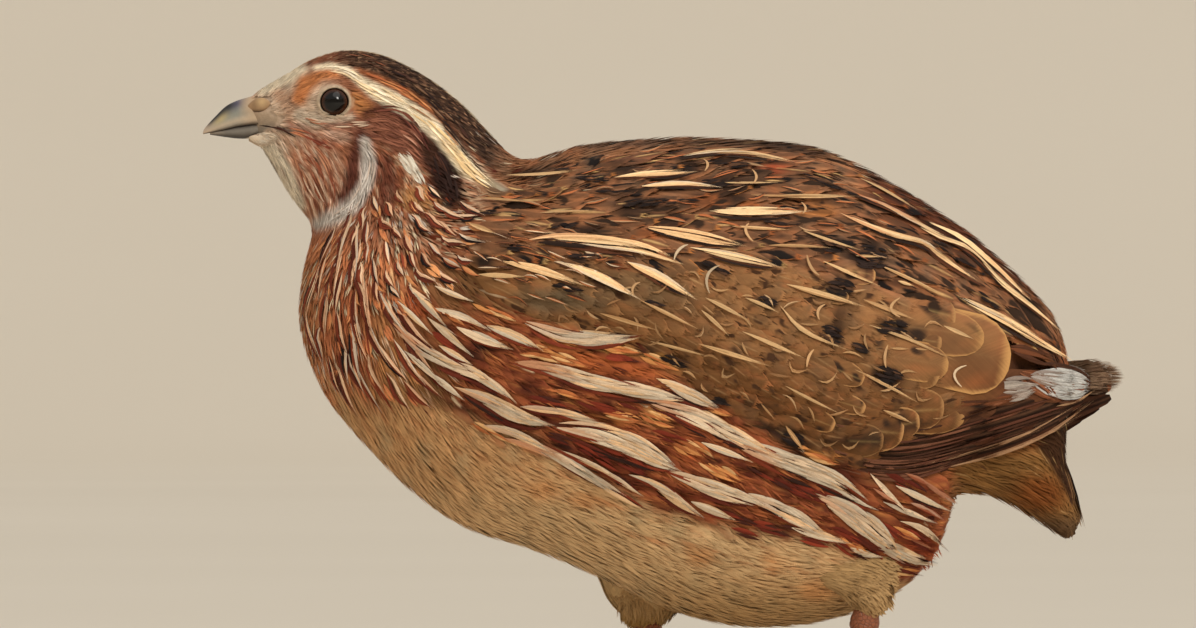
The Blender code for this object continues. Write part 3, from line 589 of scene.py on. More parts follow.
def feathers(coat, R, N, width, shape, cols, rows, look, root_uv, camber=0.25, bend=0.0,
             fringe=6, fray=0.30, ground=None):
    """Adds feathers. R are shaft points (n, K, 3) at rows, N normals (n, K, 3), width (n,) half-widths.

    look maps c_base, c_streak, c_edge, c_dark to colours (n, 3) and par1, par2 to (n, 4).
    """
    n, K = R.shape[:2]
    rows = np.asarray(rows, float)
    cols = np.asarray(cols, float)
    at, B, D = vane_points(R, N, width, shape, rows, camber, bend)
    C = len(cols)
    tt = np.repeat(rows, C)
    vv = np.tile(cols, K)
    verts = [at(tt, np.broadcast_to(vv, (n, K * C)))]
    t_list, v_list = [np.broadcast_to(tt, (n, K * C))], [np.broadcast_to(vv, (n, K * C))]
    quads = [(i * C + j, i * C + j + 1, (i + 1) * C + j + 1, (i + 1) * C + j)
             for i in range(K - 1) for j in range(C - 1)]
    tris = []
    per = K * C
    span = np.linalg.norm(R[:, -1] - R[:, 0], axis=-1)[:, None, None]
    if fringe:
        ts = np.linspace(0.42, 0.96, fringe)
        gap = 0.54 / max(fringe - 1, 1)
        for side in (-1.0, 1.0):
            jitter = rng.uniform(0.3, 1.25, (n, fringe))
            a = at(ts - gap * 0.62, np.full((1, fringe), 0.72 * side))
            b = at(ts + gap * 0.62, np.full((1, fringe), 0.72 * side))
            apex = at(ts + gap * 0.9 + 0.05, side * (0.98 + fray * jitter))
            verts += [a, b, apex]
            ta, tb, tc = (np.broadcast_to(x, (n, fringe)) for x in (ts - gap * 0.5, ts + gap * 0.5, ts + gap * 0.8 + 0.04))
            t_list += [ta, tb, tc]
            v_list += [np.full((n, fringe), 0.74 * side), np.full((n, fringe), 0.74 * side), np.full((n, fringe), 0.98 * side)]
            for k in range(fringe):
                tri = (per + k, per + fringe + k, per + 2 * fringe + k)
                tris.append(tri if side > 0 else tri[::-1])
            per += 3 * fringe
        vs = np.array([-0.7, -0.35, 0.0, 0.35, 0.7])
        m = len(vs)
        a = at(np.full(m, 0.90), np.broadcast_to((vs - 0.22)[None], (n, m)))
        b = at(np.full(m, 0.90), np.broadcast_to((vs + 0.22)[None], (n, m)))
        apex = at(np.full(m, 1.0), np.broadcast_to((vs * 1.2)[None], (n, m)))
        out = unit(D[:, -1:, :] + B[:, -1:, :] * (vs * 0.5)[None, :, None])
        apex = apex + out * span * 0.045 * rng.uniform(0.0, 1.4, (n, m, 1))
        verts += [a, b, apex]
        t_list += [np.full((n, m), 0.92), np.full((n, m), 0.92), np.full((n, m), 1.0)]
        v_list += [np.broadcast_to((vs - 0.17)[None], (n, m)), np.broadcast_to((vs + 0.17)[None], (n, m)), np.broadcast_to(vs[None], (n, m))]
        for k in range(m):
            tris.append((per + k, per + m + k, per + 2 * m + k))
        per += 3 * m
    P = np.concatenate(verts, 1)
    T = np.concatenate(t_list, 1)
    V = np.concatenate(v_list, 1)
    return store(coat, P, T, V, R, width, shape, quads, tris, look, root_uv, ground)


def tufts(coat, R, N, width, strands, rows, look, root_uv, camber=0.3, ground=None, ragged=0.22, splay=0.35, body=1.15):
    """Soft feathers: each is a few narrow pointed strands that part towards the tip."""
    n = len(R)
    rows = np.asarray(rows, float)
    at, B, D = vane_points(R, N, width, "soft", rows, camber, 0.0)
    vs = np.linspace(-1, 1, strands) * (1 - 0.5 / strands)
    levels = np.array([0.04, 0.42, 0.76, 1.0])
    wide = np.array([1.0, 1.0, 0.62, 0.0]) * body / strands
    verts, t_list, v_list, quads, tris = [], [], [], [], []
    per = 0
    lift = unit(np.cross(D, B)).mean(1)
    for s, v0 in enumerate(vs):
        end = 1.0 - 0.16 * abs(v0) + ragged * rng.uniform(-0.7, 0.6, (n, 1))
        lean = v0 + rng.normal(0, 0.10, (n, 1))
        rise = rng.normal(0, 0.02, (n, 1, 1)) * width[:, None, None] * 2
        for j, lv in enumerate(levels):
            t = lv * end
            centre = lean * (1 + splay * lv**2)
            if wide[j] > 0:
                for sgn in (-1, 1):
                    v = centre + sgn * wide[j]
                    verts.append(at(t, v) - lift[:, None] * rise * lv)
                    t_list.append(np.minimum(t, 1.0))
                    v_list.append(np.clip(v, -1, 1))
            else:
                verts.append(at(t, centre) - lift[:, None] * rise)
                t_list.append(np.minimum(t, 1.0))
                v_list.append(np.clip(centre, -1, 1))
        quads += [(per, per + 1, per + 3, per + 2), (per + 2, per + 3, per + 5, per + 4)]
        tris += [(per + 4, per + 5, per + 6)]
        per += 7
    P, T, V = np.concatenate(verts, 1), np.concatenate(t_list, 1), np.concatenate(v_list, 1)
    return store(coat, P, T, V, R, width, "soft", quads, tris, look, root_uv, ground)


def look_of(n, base, streak=CREAM, edge=PALE, dark=DARK, par1=(0, 0, 0, 0), par2=(0, 0, 0, 0)):
    def full(x, k):
        x = np.asarray(x, float)
        return np.broadcast_to(x, (n, k)).copy()
    return {"c_base": full(base, 3), "c_streak": full(streak, 3), "c_edge": full(edge, 3),
            "c_dark": full(dark, 3), "par1": full(par1, 4), "par2": full(par2, 4)}


# ------------------------------------------------------------------- the lie
FLOW = np.array([
    # column, row, and the direction that the feathers point there
    (262, 92, 1, -0.55), (285, 76, 1, -0.45), (310, 62, 1, -0.30), (345, 52, 1, 0.0), (380, 56, 1, 0.25),
    (415, 70, 0.85, 0.5), (445, 92, 0.78, 0.62), (480, 125, 0.65, 0.76), (503, 150, 0.6, 0.8), (498, 175, 0.75, 0.66),
    (262, 110, 1, 0.0), (285, 100, 1, -0.05), (305, 90, 0.9, -0.35), (312, 116, 1, 0.25), (335, 80, 1, -0.1),
    (335, 125, 1, 0.22), (352, 78, 1, 0.25), (360, 100, 1, 0.3), (385, 92, 0.9, 0.42), (420, 115, 0.78, 0.6),
    (455, 150, 0.66, 0.75), (480, 180, 0.75, 0.66), (385, 130, 0.88, 0.5), (410, 150, 0.72, 0.7),
    (300, 140, 0.7, 0.7), (320, 160, 0.5, 0.85), (350, 165, 0.28, 0.96), (262, 145, 0.6, 0.8), (280, 170, 0.42, 0.9),
    (300, 200, 0.35, 0.95), (335, 200, 0.3, 0.95), (366, 170, 0.15, 1), (350, 212, -0.25, 1), (325, 222, -0.35, 1),
    (400, 180, 0.45, 0.9), (440, 185, 0.6, 0.8), (400, 220, 0.45, 0.9), (440, 225, 0.85, 0.5), (470, 215, 0.95, 0.3),
    (315, 250, -0.35, 0.95), (302, 290, -0.05, 1), (302, 330, 0.15, 1), (312, 370, 0.3, 0.95), (335, 405, 0.5, 0.86),
    (370, 445, 0.66, 0.75), (350, 250, -0.1, 1), (345, 300, 0.12, 1), (350, 350, 0.3, 0.95), (375, 400, 0.5, 0.86),
    (390, 250, 0.3, 0.95), (400, 300, 0.5, 0.86), (400, 350, 0.6, 0.8), (430, 400, 0.72, 0.7), (430, 300, 0.85, 0.52),
    (460, 340, 0.88, 0.48), (480, 400, 0.86, 0.5), (420, 480, 0.75, 0.66), (480, 510, 0.9, 0.42), (540, 500, 0.92, 0.38),
    (540, 545, 1, 0.2), (600, 545, 0.97, 0.25), (680, 580, 1, 0.15), (760, 600, 1, 0.05), (840, 590, 1, 0.05),
    (500, 330, 0.93, 0.36), (560, 370, 0.96, 0.26), (620, 400, 0.94, 0.34), (700, 430, 0.88, 0.47), (780, 470, 0.84, 0.54),
    (850, 505, 0.8, 0.58), (900, 530, 0.88, 0.46), (600, 470, 0.9, 0.42), (700, 510, 0.9, 0.43), (800, 540, 0.93, 0.36),
    (900, 570, 1, 0.02), (900, 495, 0.93, 0.36), (520, 168, 1, -0.12), (580, 152, 1, -0.12), (650, 145, 1, -0.02),
    (720, 145, 1, 0.04), (790, 152, 1, 0.14), (850, 175, 0.9, 0.42), (920, 215, 0.84, 0.54), (980, 260, 0.78, 0.62),
    (1030, 310, 0.7, 0.7), (1060, 345, 0.62, 0.78), (500, 205, 1, 0.06), (560, 195, 1, -0.06), (640, 190, 1, -0.02),
    (720, 195, 1, 0.02), (800, 205, 0.98, 0.12), (500, 250, 0.96, 0.2), (560, 260, 0.95, 0.3), (640, 280, 0.9, 0.42),
    (720, 320, 0.88, 0.47), (800, 340, 0.88, 0.47), (860, 380, 0.88, 0.46), (900, 330, 0.9, 0.42), (950, 350, 0.94, 0.3),
    (880, 440, 0.98, -0.12), (950, 425, 0.96, -0.27), (1020, 400, 0.94, -0.33), (960, 470, 0.95, 0.28),
    (1000, 480, 0.9, 0.42), (1040, 510, 0.85, 0.52), (1055, 440, 0.45, 0.9), (1070, 480, 0.4, 0.92), (1075, 520, 0.45, 0.9),
    (640, 610, 0.5, 0.87), (850, 600, 0.6, 0.8),
], float)


def flow(col, row):
    col, row = np.asarray(col, float), np.asarray(row, float)
    out = np.zeros(col.shape + (2,))
    for a in range(0, col.size, 20000):
        c, r = col.reshape(-1)[a:a + 20000], row.reshape(-1)[a:a + 20000]
        d2 = (c[:, None] - FLOW[:, 0]) ** 2 + (r[:, None] - FLOW[:, 1]) ** 2 + 60.0
        w = d2 ** -1.8
        f = (w[:, :, None] * FLOW[None, :, 2:]).sum(1)
        out.reshape(-1, 2)[a:a + 20000] = f
    return unit(out)


def lie(col, row, normal, side):
    """Direction in space of the feathers at a place with this normal."""
    f = flow(col, row)
    d = np.stack([f[..., 0], np.zeros_like(f[..., 0]), -f[..., 1]], -1)
    d = d - normal * (d * normal).sum(-1, keepdims=True)
    return unit(d)


# ------------------------------------------------- surface to march feathers on
def surface_grid(du=0.25, sides=128):
    us = np.arange(0, BODY_END + 1e-6, du)
    ph = np.linspace(-math.pi, math.pi, sides, endpoint=False)
    U, P = np.meshgrid(us, ph, indexing="ij")
    pts, nrm = body_frame(U.ravel(), P.ravel())
    faces = []
    for i in range(len(us) - 1):
        for j in range(sides):
            a, b = i * sides + j, i * sides + (j + 1) % sides
            faces.append((a, a + sides, b + sides, b))
    return U, P, pts, nrm, faces


_U, _P, _pts, _nrm, _faces = surface_grid()
_tree = BVHTree.FromPolygons([tuple(p) for p in _pts], _faces)
_fn = unit(_nrm[np.array(_faces)].mean(1))


def march(root, normal, direction, length, rows, swerve):
    """Shaft points on the feather-tip surface, by short steps along the lie."""
    n, K = len(root), len(rows)
    P, N = np.zeros((n, K, 3)), np.zeros((n, K, 3))
    P[:, 0], N[:, 0] = root, normal
    d = direction.copy()
    find = _tree.find_nearest
    for k in range(1, K):
        gap = (rows[k] - rows[k - 1]) * length
        goal = P[:, k - 1] + d * gap[:, None]
        for i in range(n):
            loc, _, idx, _ = find(Vector(goal[i]))
            P[i, k] = loc
            N[i, k] = _fn[idx]
        stepv = P[:, k] - P[:, k - 1]
        d = unit(stepv - N[:, k] * (stepv * N[:, k]).sum(-1, keepdims=True))
        side = np.cross(N[:, k], d)
        d = unit(d + side * (swerve * (rows[k] - rows[k - 1]))[:, None])
    return P, N


def scatter(weight, spacing, total_guess, seed, keep):
    """Evenly spread roots (u, phi) over the body. spacing(u, phi, pts) in metres; keep(...) drops some."""
    r = np.random.default_rng(seed)
    U, P, pts = _U, _P, _pts.reshape(_U.shape + (3,))
    a = pts[1:, :] - pts[:-1, :]
    b = np.roll(pts, -1, axis=1) - pts
    area = np.linalg.norm(np.cross(a, b[:-1]), axis=-1)
    uc, pc = U[:-1] + 0.125, P[:-1] + math.pi / P.shape[1]
    sp = spacing(uc.ravel(), pc.ravel(), pts[:-1].reshape(-1, 3))
    ok = keep(uc.ravel(), pc.ravel(), pts[:-1].reshape(-1, 3))
    dens = area.ravel() / sp**2 * ok
    want = int(dens.sum() * 3.2) + 50
    pick = r.choice(len(dens), want, p=dens / dens.sum())
    u = uc.ravel()[pick] + r.uniform(-0.125, 0.125, want)
    p = pc.ravel()[pick] + r.uniform(-0.5, 0.5, want) * 2 * math.pi / P.shape[1]
    x = body_xyz(u, p)
    s = spacing(u, p, x)
    cell = float(np.max(s))
    keys = np.floor(x / cell).astype(int)
    grid = {}
    chosen = []
    xs = x.tolist()
    ss = s.tolist()
    ks = keys.tolist()
    near_cells = [(i, j, k) for i in (-1, 0, 1) for j in (-1, 0, 1) for k in (-1, 0, 1)]
    for m in range(want):
        kx, ky, kz = ks[m]
        px, py, pz = xs[m]
        lim = ss[m] ** 2
        clash = False
        for i, j, k in near_cells:
            for q in grid.get((kx + i, ky + j, kz + k), ()):
                dx, dy, dz = xs[q][0] - px, xs[q][1] - py, xs[q][2] - pz
                if dx * dx + dy * dy + dz * dz < lim:
                    clash = True
                    break
            if clash:
                break
        if not clash:
            grid.setdefault((kx, ky, kz), []).append(m)
            chosen.append(m)
    chosen = np.array(chosen)
    return u[chosen], p[chosen]


def scatter_px(polygon, spacing, seed):
    """Evenly spread side-view positions inside a polygon."""
    r = np.random.default_rng(seed)
    poly = np.asarray(polygon, float)
    lo, hi = poly.min(0), poly.max(0)
    want = int((hi - lo).prod() / spacing**2 * 4)
    pts = r.uniform(lo, hi, (want, 2))
    inside = np.zeros(want, bool)
    j = len(poly) - 1
    for i in range(len(poly)):
        a, b = poly[i], poly[j]
        cross = (a[1] > pts[:, 1]) != (b[1] > pts[:, 1])
        xint = (b[0] - a[0]) * (pts[:, 1] - a[1]) / (b[1] - a[1] + 1e-9) + a[0]
        inside ^= cross & (pts[:, 0] < xint)
        j = i
    pts = pts[inside]
    grid, chosen = {}, []
    for m, (x, y) in enumerate(pts.tolist()):
        kx, ky = int(x / spacing), int(y / spacing)
        if any((pts[q][0] - x) ** 2 + (pts[q][1] - y) ** 2 < spacing**2
               for i in (-1, 0, 1) for jj in (-1, 0, 1) for q in grid.get((kx + i, ky + jj), ())):
            continue
        grid.setdefault((kx, ky), []).append(m)
        chosen.append(m)
    return pts[chosen]


def root_map(u, phi):
    return np.stack([0.01 + 0.98 * np.clip(u / BODY_END, 0, 1), 0.01 + 0.98 * (phi + math.pi) / (2 * math.pi)], -1)


# ----------------------------------------------------------------- materials
def material(name, roughness, specular):
    m = bpy.data.materials.new(name)
    m.use_nodes = True
    shader = m.node_tree.nodes["Principled BSDF"]
    shader.inputs["Roughness"].default_value = roughness
    shader.inputs["Specular IOR Level"].default_value = specular
    return m, m.node_tree, shader


def calc(nt, op, a, b=None, c=None, clamp=False):
    n = nt.nodes.new("ShaderNodeMath")
    n.operation, n.use_clamp = op, clamp
    for i, x in enumerate((a, b, c)):
        if x is None:
            continue
        if isinstance(x, (int, float)):
            n.inputs[i].default_value = x
        else:
            nt.links.new(x, n.inputs[i])
    return n.outputs[0]


def ramp(nt, x, low, high):
    n = nt.nodes.new("ShaderNodeMapRange")
    n.interpolation_type = "SMOOTHSTEP"
    for i, v in enumerate((x, low, high)):
        if isinstance(v, (int, float)):
            n.inputs[i].default_value = v
        else:
            nt.links.new(v, n.inputs[i])
    return n.outputs[0]


def mix(nt, factor, a, b, blend="MIX"):
    n = nt.nodes.new("ShaderNodeMix")
    n.data_type, n.blend_type = "RGBA", blend
    n.clamp_factor = True
    for i, v in ((0, factor), (6, a), (7, b)):
        if isinstance(v, (int, float)):
            n.inputs[i].default_value = v
        elif isinstance(v, tuple):
            n.inputs[i].default_value = v
        else:
            nt.links.new(v, n.inputs[i])
    return n.outputs[2]


def attribute(nt, name):
    n = nt.nodes.new("ShaderNodeAttribute")
    n.attribute_name = name
    return n


def noise(nt, vector, scale, detail=2.0, rough=0.5):
    n = nt.nodes.new("ShaderNodeTexNoise")
    n.inputs["Scale"].default_value = scale
    n.inputs["Detail"].default_value = detail
    n.inputs["Roughness"].default_value = rough
    nt.links.new(vector, n.inputs["Vector"])
    return n.outputs["Fac"]


def combine(nt, x, y, z):
    n = nt.nodes.new("ShaderNodeCombineXYZ")
    for i, v in enumerate((x, y, z)):
        if isinstance(v, (int, float)):
            n.inputs[i].default_value = v
        else:
            nt.links.new(v, n.inputs[i])
    return n.outputs[0]


def split(nt, colour):
    n = nt.nodes.new("ShaderNodeSeparateColor")
    nt.links.new(colour, n.inputs[0])
    return n.outputs


def grey(nt, value):
    n = nt.nodes.new("ShaderNodeCombineColor")
    for i in range(3):
        nt.links.new(value, n.inputs[i])
    return n.outputs[0]


def feather_material():
    m, nt, shader = material("feather_vane", 0.72, 0.09)
    vane = nt.nodes.new("ShaderNodeSeparateXYZ")
    nt.links.new(attribute(nt, "vane").outputs["Vector"], vane.inputs[0])
    t, v, barb = vane.outputs
    rnd = attribute(nt, "rnd").outputs["Fac"]
    lat = calc(nt, "ABSOLUTE", attribute(nt, "lat").outputs["Fac"])
    one, two = attribute(nt, "par1"), attribute(nt, "par2")
    w, t0, t1 = split(nt, one.outputs["Color"])[:3]
    edge, bars, freq = split(nt, two.outputs["Color"])[:3]
    strength, border = one.outputs["Alpha"], two.outputs["Alpha"]
    av = calc(nt, "ABSOLUTE", v)
    fine = noise(nt, combine(nt, calc(nt, "MULTIPLY", barb, 1.6), calc(nt, "MULTIPLY", v, 0.5),
                             calc(nt, "MULTIPLY", rnd, 91.0)), 1.0, 3.0, 0.65)
    wave = calc(nt, "MULTIPLY", calc(nt, "SUBTRACT", fine, 0.5), 0.34)
    # shaft streak, pointed at both ends
    along = calc(nt, "DIVIDE", calc(nt, "SUBTRACT", t, t0), calc(nt, "SUBTRACT", t1, t0), clamp=True)
    skew = calc(nt, "POWER", along, 1.35)
    lens = calc(nt, "POWER", calc(nt, "MULTIPLY", calc(nt, "MULTIPLY", skew, calc(nt, "SUBTRACT", 1.0, skew)), 4.0, clamp=True), 0.78)
    half = calc(nt, "MULTIPLY", w, lens)
    inside = calc(nt, "ADD", calc(nt, "SUBTRACT", half, lat), calc(nt, "MULTIPLY", calc(nt, "MULTIPLY", wave, w), 1.0))
    on = calc(nt, "MULTIPLY", half, 30.0, clamp=True)
    streak = calc(nt, "MULTIPLY", calc(nt, "MULTIPLY", calc(nt, "POWER", ramp(nt, inside, -0.16, 0.16), 1.9), on),
                  calc(nt, "MULTIPLY", strength, calc(nt, "ADD", calc(nt, "MULTIPLY", ramp(nt, along, 0.0, 0.42), 0.62),
                                                      calc(nt, "MULTIPLY", ramp(nt, along, 0.0, 0.10), 0.38))))
    beside = calc(nt, "MULTIPLY", calc(nt, "MULTIPLY", ramp(nt, inside, -0.38, -0.08), on), border)
    # cross bars and blotches
    cells = noise(nt, combine(nt, calc(nt, "MULTIPLY", t, freq), calc(nt, "MULTIPLY", v, 0.85),
                              calc(nt, "MULTIPLY", rnd, 37.0)), 1.0, 1.0, 0.4)
    limit = calc(nt, "SUBTRACT", 0.76, calc(nt, "MULTIPLY", bars, 0.34))
    blotch = calc(nt, "MULTIPLY", ramp(nt, calc(nt, "ADD", calc(nt, "SUBTRACT", cells, limit), calc(nt, "MULTIPLY", wave, 0.25)), -0.05, 0.07),
                  calc(nt, "MULTIPLY", bars, 6.0, clamp=True))
    # pale rim round the tip
    rim_at = calc(nt, "ADD", calc(nt, "MAXIMUM", calc(nt, "MULTIPLY", av, ramp(nt, t, 0.35, 0.72)), calc(nt, "MULTIPLY", t, t)),
                  calc(nt, "MULTIPLY", wave, 0.3))
    start = calc(nt, "SUBTRACT", 1.0, edge)
    rim = calc(nt, "MULTIPLY", ramp(nt, rim_at, calc(nt, "SUBTRACT", start, 0.08), calc(nt, "ADD", start, 0.06)),
               calc(nt, "MULTIPLY", edge, 16.0, clamp=True))
    base = mix(nt, 1.0, attribute(nt, "c_base").outputs["Color"],
               grey(nt, calc(nt, "ADD", calc(nt, "MULTIPLY", fine, 0.62), 0.69)), "MULTIPLY")
    dark = attribute(nt, "c_dark").outputs["Color"]
    colour = mix(nt, blotch, base, dark)
    colour = mix(nt, beside, colour, dark)
    colour = mix(nt, rim, colour, attribute(nt, "c_edge").outputs["Color"])
    pale = mix(nt, 1.0, attribute(nt, "c_streak").outputs["Color"],
               grey(nt, calc(nt, "ADD", calc(nt, "MULTIPLY", fine, 0.7), calc(nt, "ADD", calc(nt, "MULTIPLY", cells, 1.1), 0.08))), "MULTIPLY")
    colour = mix(nt, streak, colour, pale)
    colour = mix(nt, 1.0, colour, grey(nt, calc(nt, "ADD", calc(nt, "MULTIPLY", rnd, 0.16), 0.92)), "MULTIPLY")
    nt.links.new(colour, shader.inputs["Base Color"])
    # barbs as fine ridges slanting off the shaft
    ridge = calc(nt, "SINE", calc(nt, "MULTIPLY", barb, 15.0))
    bump = nt.nodes.new("ShaderNodeBump")
    bump.inputs["Strength"].default_value = 0.35
    bump.inputs["Distance"].default_value = 0.00006
    nt.links.new(calc(nt, "ADD", ridge, calc(nt, "MULTIPLY", fine, 2.0)), bump.inputs["Height"])
    nt.links.new(bump.outputs[0], shader.inputs["Normal"])
    return m


def place(nt, scale):
    n = nt.nodes.new("ShaderNodeTexCoord")
    s = nt.nodes.new("ShaderNodeVectorMath")
    s.operation = "SCALE"
    s.inputs["Scale"].default_value = scale
    nt.links.new(n.outputs["Object"], s.inputs[0])
    return s.outputs[0]


def painted_material(name, roughness, specular, grain, depth, amount, cells=0.0):
    """Vertex colours with procedural grain and bump on top."""
    m, nt, shader = material(name, roughness, specular)
    where = place(nt, 1000.0)
    grain_v = noise(nt, where, grain, 3.0, 0.6)
    height = grain_v
    if cells:
        vor = nt.nodes.new("ShaderNodeTexVoronoi")
        vor.feature = "DISTANCE_TO_EDGE"
        vor.inputs["Scale"].default_value = cells
        nt.links.new(where, vor.inputs["Vector"])
        plate = ramp(nt, vor.outputs["Distance"], 0.0, 0.16)
        height = calc(nt, "ADD", calc(nt, "MULTIPLY", plate, 1.5), calc(nt, "MULTIPLY", grain_v, 0.4))
        # plates lighter than the grooves between them: painted shade in the grooves, on top of the bump
        tint = calc(nt, "ADD", calc(nt, "MULTIPLY", plate, 0.30), calc(nt, "ADD", calc(nt, "MULTIPLY", grain_v, amount), 0.70 - amount * 0.5))
    else:
        tint = calc(nt, "ADD", calc(nt, "MULTIPLY", grain_v, amount), 1.0 - amount * 0.5)
    colour = mix(nt, 1.0, attribute(nt, "c_base").outputs["Color"], grey(nt, tint), "MULTIPLY")
    nt.links.new(colour, shader.inputs["Base Color"])
    bump = nt.nodes.new("ShaderNodeBump")
    bump.inputs["Strength"].default_value = 0.6
    bump.inputs["Distance"].default_value = depth
    nt.links.new(height, bump.inputs["Height"])
    nt.links.new(bump.outputs[0], shader.inputs["Normal"])
    return m, nt, shader


FEATHER = feather_material()
SKIN_MAT = painted_material("skin_down", 0.75, 0.15, 1.6, 0.0002, 0.5)[0]
LEG_MAT = painted_material("leg_scales", 0.42, 0.4, 2.2, 0.00012, 0.35, 1.25)[0]
LID_MAT = painted_material("eyelid", 0.5, 0.35, 5.0, 0.00006, 0.3)[0]
HORN_MAT, _nt, _shader = painted_material("bill_horn", 0.46, 0.25, 1.1, 0.00005, 0.28)
CLAW_MAT = painted_material("claw_horn", 0.3, 0.5, 1.5, 0.00004, 0.3)[0]


def dress(obj, slot, *nodes):
    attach(obj, "root")
    if nodes:
        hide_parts(*nodes)
    return obj


# ---------------------------------------------------------------------- skin
def coat_depth(u):
    return np.interp(u, [0, 2, 5, 8, 10, 12, 15, 22, 26, 30], [0.6, 0.7, 0.8, 1.2, 1.6, 2.2, 2.6, 2.6, 1.8, 1.0]) * MM


def loft_mesh(maker, rings, caps=True):
    verts = [[maker.verts.new(p) for p in ring] for ring in rings]
    for a, b in zip(verts, verts[1:]):
        n = len(a)
        for k in range(n):
            maker.faces.new((a[k], a[(k + 1) % n], b[(k + 1) % n], b[k]))
    if caps:
        maker.faces.new(verts[0])
        maker.faces.new(verts[-1][::-1])
    return verts


def frames(path):
    path = np.asarray(path)
    tangents = unit(np.gradient(path, axis=0))
    side = np.array([0.0, 1.0, 0.0])
    out = []
    for t in tangents:
        s = side - t * side.dot(t)
        if np.linalg.norm(s) < 0.2:
            s = np.cross(t, [0, 0, 1.0])
        s /= np.linalg.norm(s)
        out.append((t, s, np.cross(t, s)))
        side = s
    return out


def grid_point(column, row, y=0.0):
    return np.array([(column - GRID_MIDDLE) * GRID, y, (GRID_FLOOR - row) * GRID])


def leg_points(plan):
    return [grid_point(p[0], p[1], plan["side"] * p[2] * MM)
            for p in (plan["hip"], plan["knee"], plan["ankle"], plan["pad"])]


def thigh_path(plan, drum, grow):
    hip, knee, ankle, pad = leg_points(plan)
    over = knee + np.array([0, 0, 0.42 * np.linalg.norm(knee - hip)])
    fine = np.linspace(drum[0][0], 1.0, 20)
    ra = np.interp(fine, [d[0] for d in drum], [d[1] for d in drum])
    rs = np.interp(fine, [d[0] for d in drum], [d[2] for d in drum])
    rs = rs * np.interp(fine, [0, 0.5, 0.8, 1.0], [0.55, 0.52, 0.62, 1.0])
    ra = ra * np.interp(fine, [0, 0.5, 0.8, 1.0], [1.0, 0.86, 0.84, 1.0])
    path = np.array([hip * (1 - f) ** 2 + over * 2 * f * (1 - f) + knee * f * f for f in fine])
    return path, np.maximum(ra + grow, 1.6) * MM, np.maximum(rs + grow, 1.6) * MM


def tube(path, ra, rs, sides):
    rings = []
    for p, (_, side, across), a, b in zip(path, frames(path), ra, rs):
        ang = np.linspace(0, 2 * math.pi, sides, endpoint=False)
        rings.append(p + across * (a * np.cos(ang))[:, None] + side * (b * np.sin(ang))[:, None])
    return rings


def remeshed(maker, voxel):
    bmesh.ops.recalc_face_normals(maker, faces=maker.faces)
    mesh = bpy.data.meshes.new("raw")
    maker.to_mesh(mesh)
    maker.free()
    obj = bpy.data.objects.new("raw", mesh)
    bpy.context.scene.collection.objects.link(obj)
    mod = obj.modifiers.new("re", "REMESH")
    mod.mode, mod.voxel_size = "VOXEL", voxel
    sm = obj.modifiers.new("sm", "SMOOTH")
    sm.factor, sm.iterations = 0.6, 4
    done = bpy.data.meshes.new_from_object(obj.evaluated_get(bpy.context.evaluated_depsgraph_get()))
    bpy.data.objects.remove(obj, do_unlink=True)
    return done


def mesh_arrays(mesh):
    v = np.empty(len(mesh.vertices) * 3, np.float32)
    mesh.vertices.foreach_get("co", v)
    quads = np.array([p.vertices[:] for p in mesh.polygons if len(p.vertices) == 4], np.int64).reshape(-1, 4)
    tris = np.array([p.vertices[:] for p in mesh.polygons if len(p.vertices) == 3], np.int64).reshape(-1, 3)
    return v.reshape(-1, 3).astype(float), quads, tris


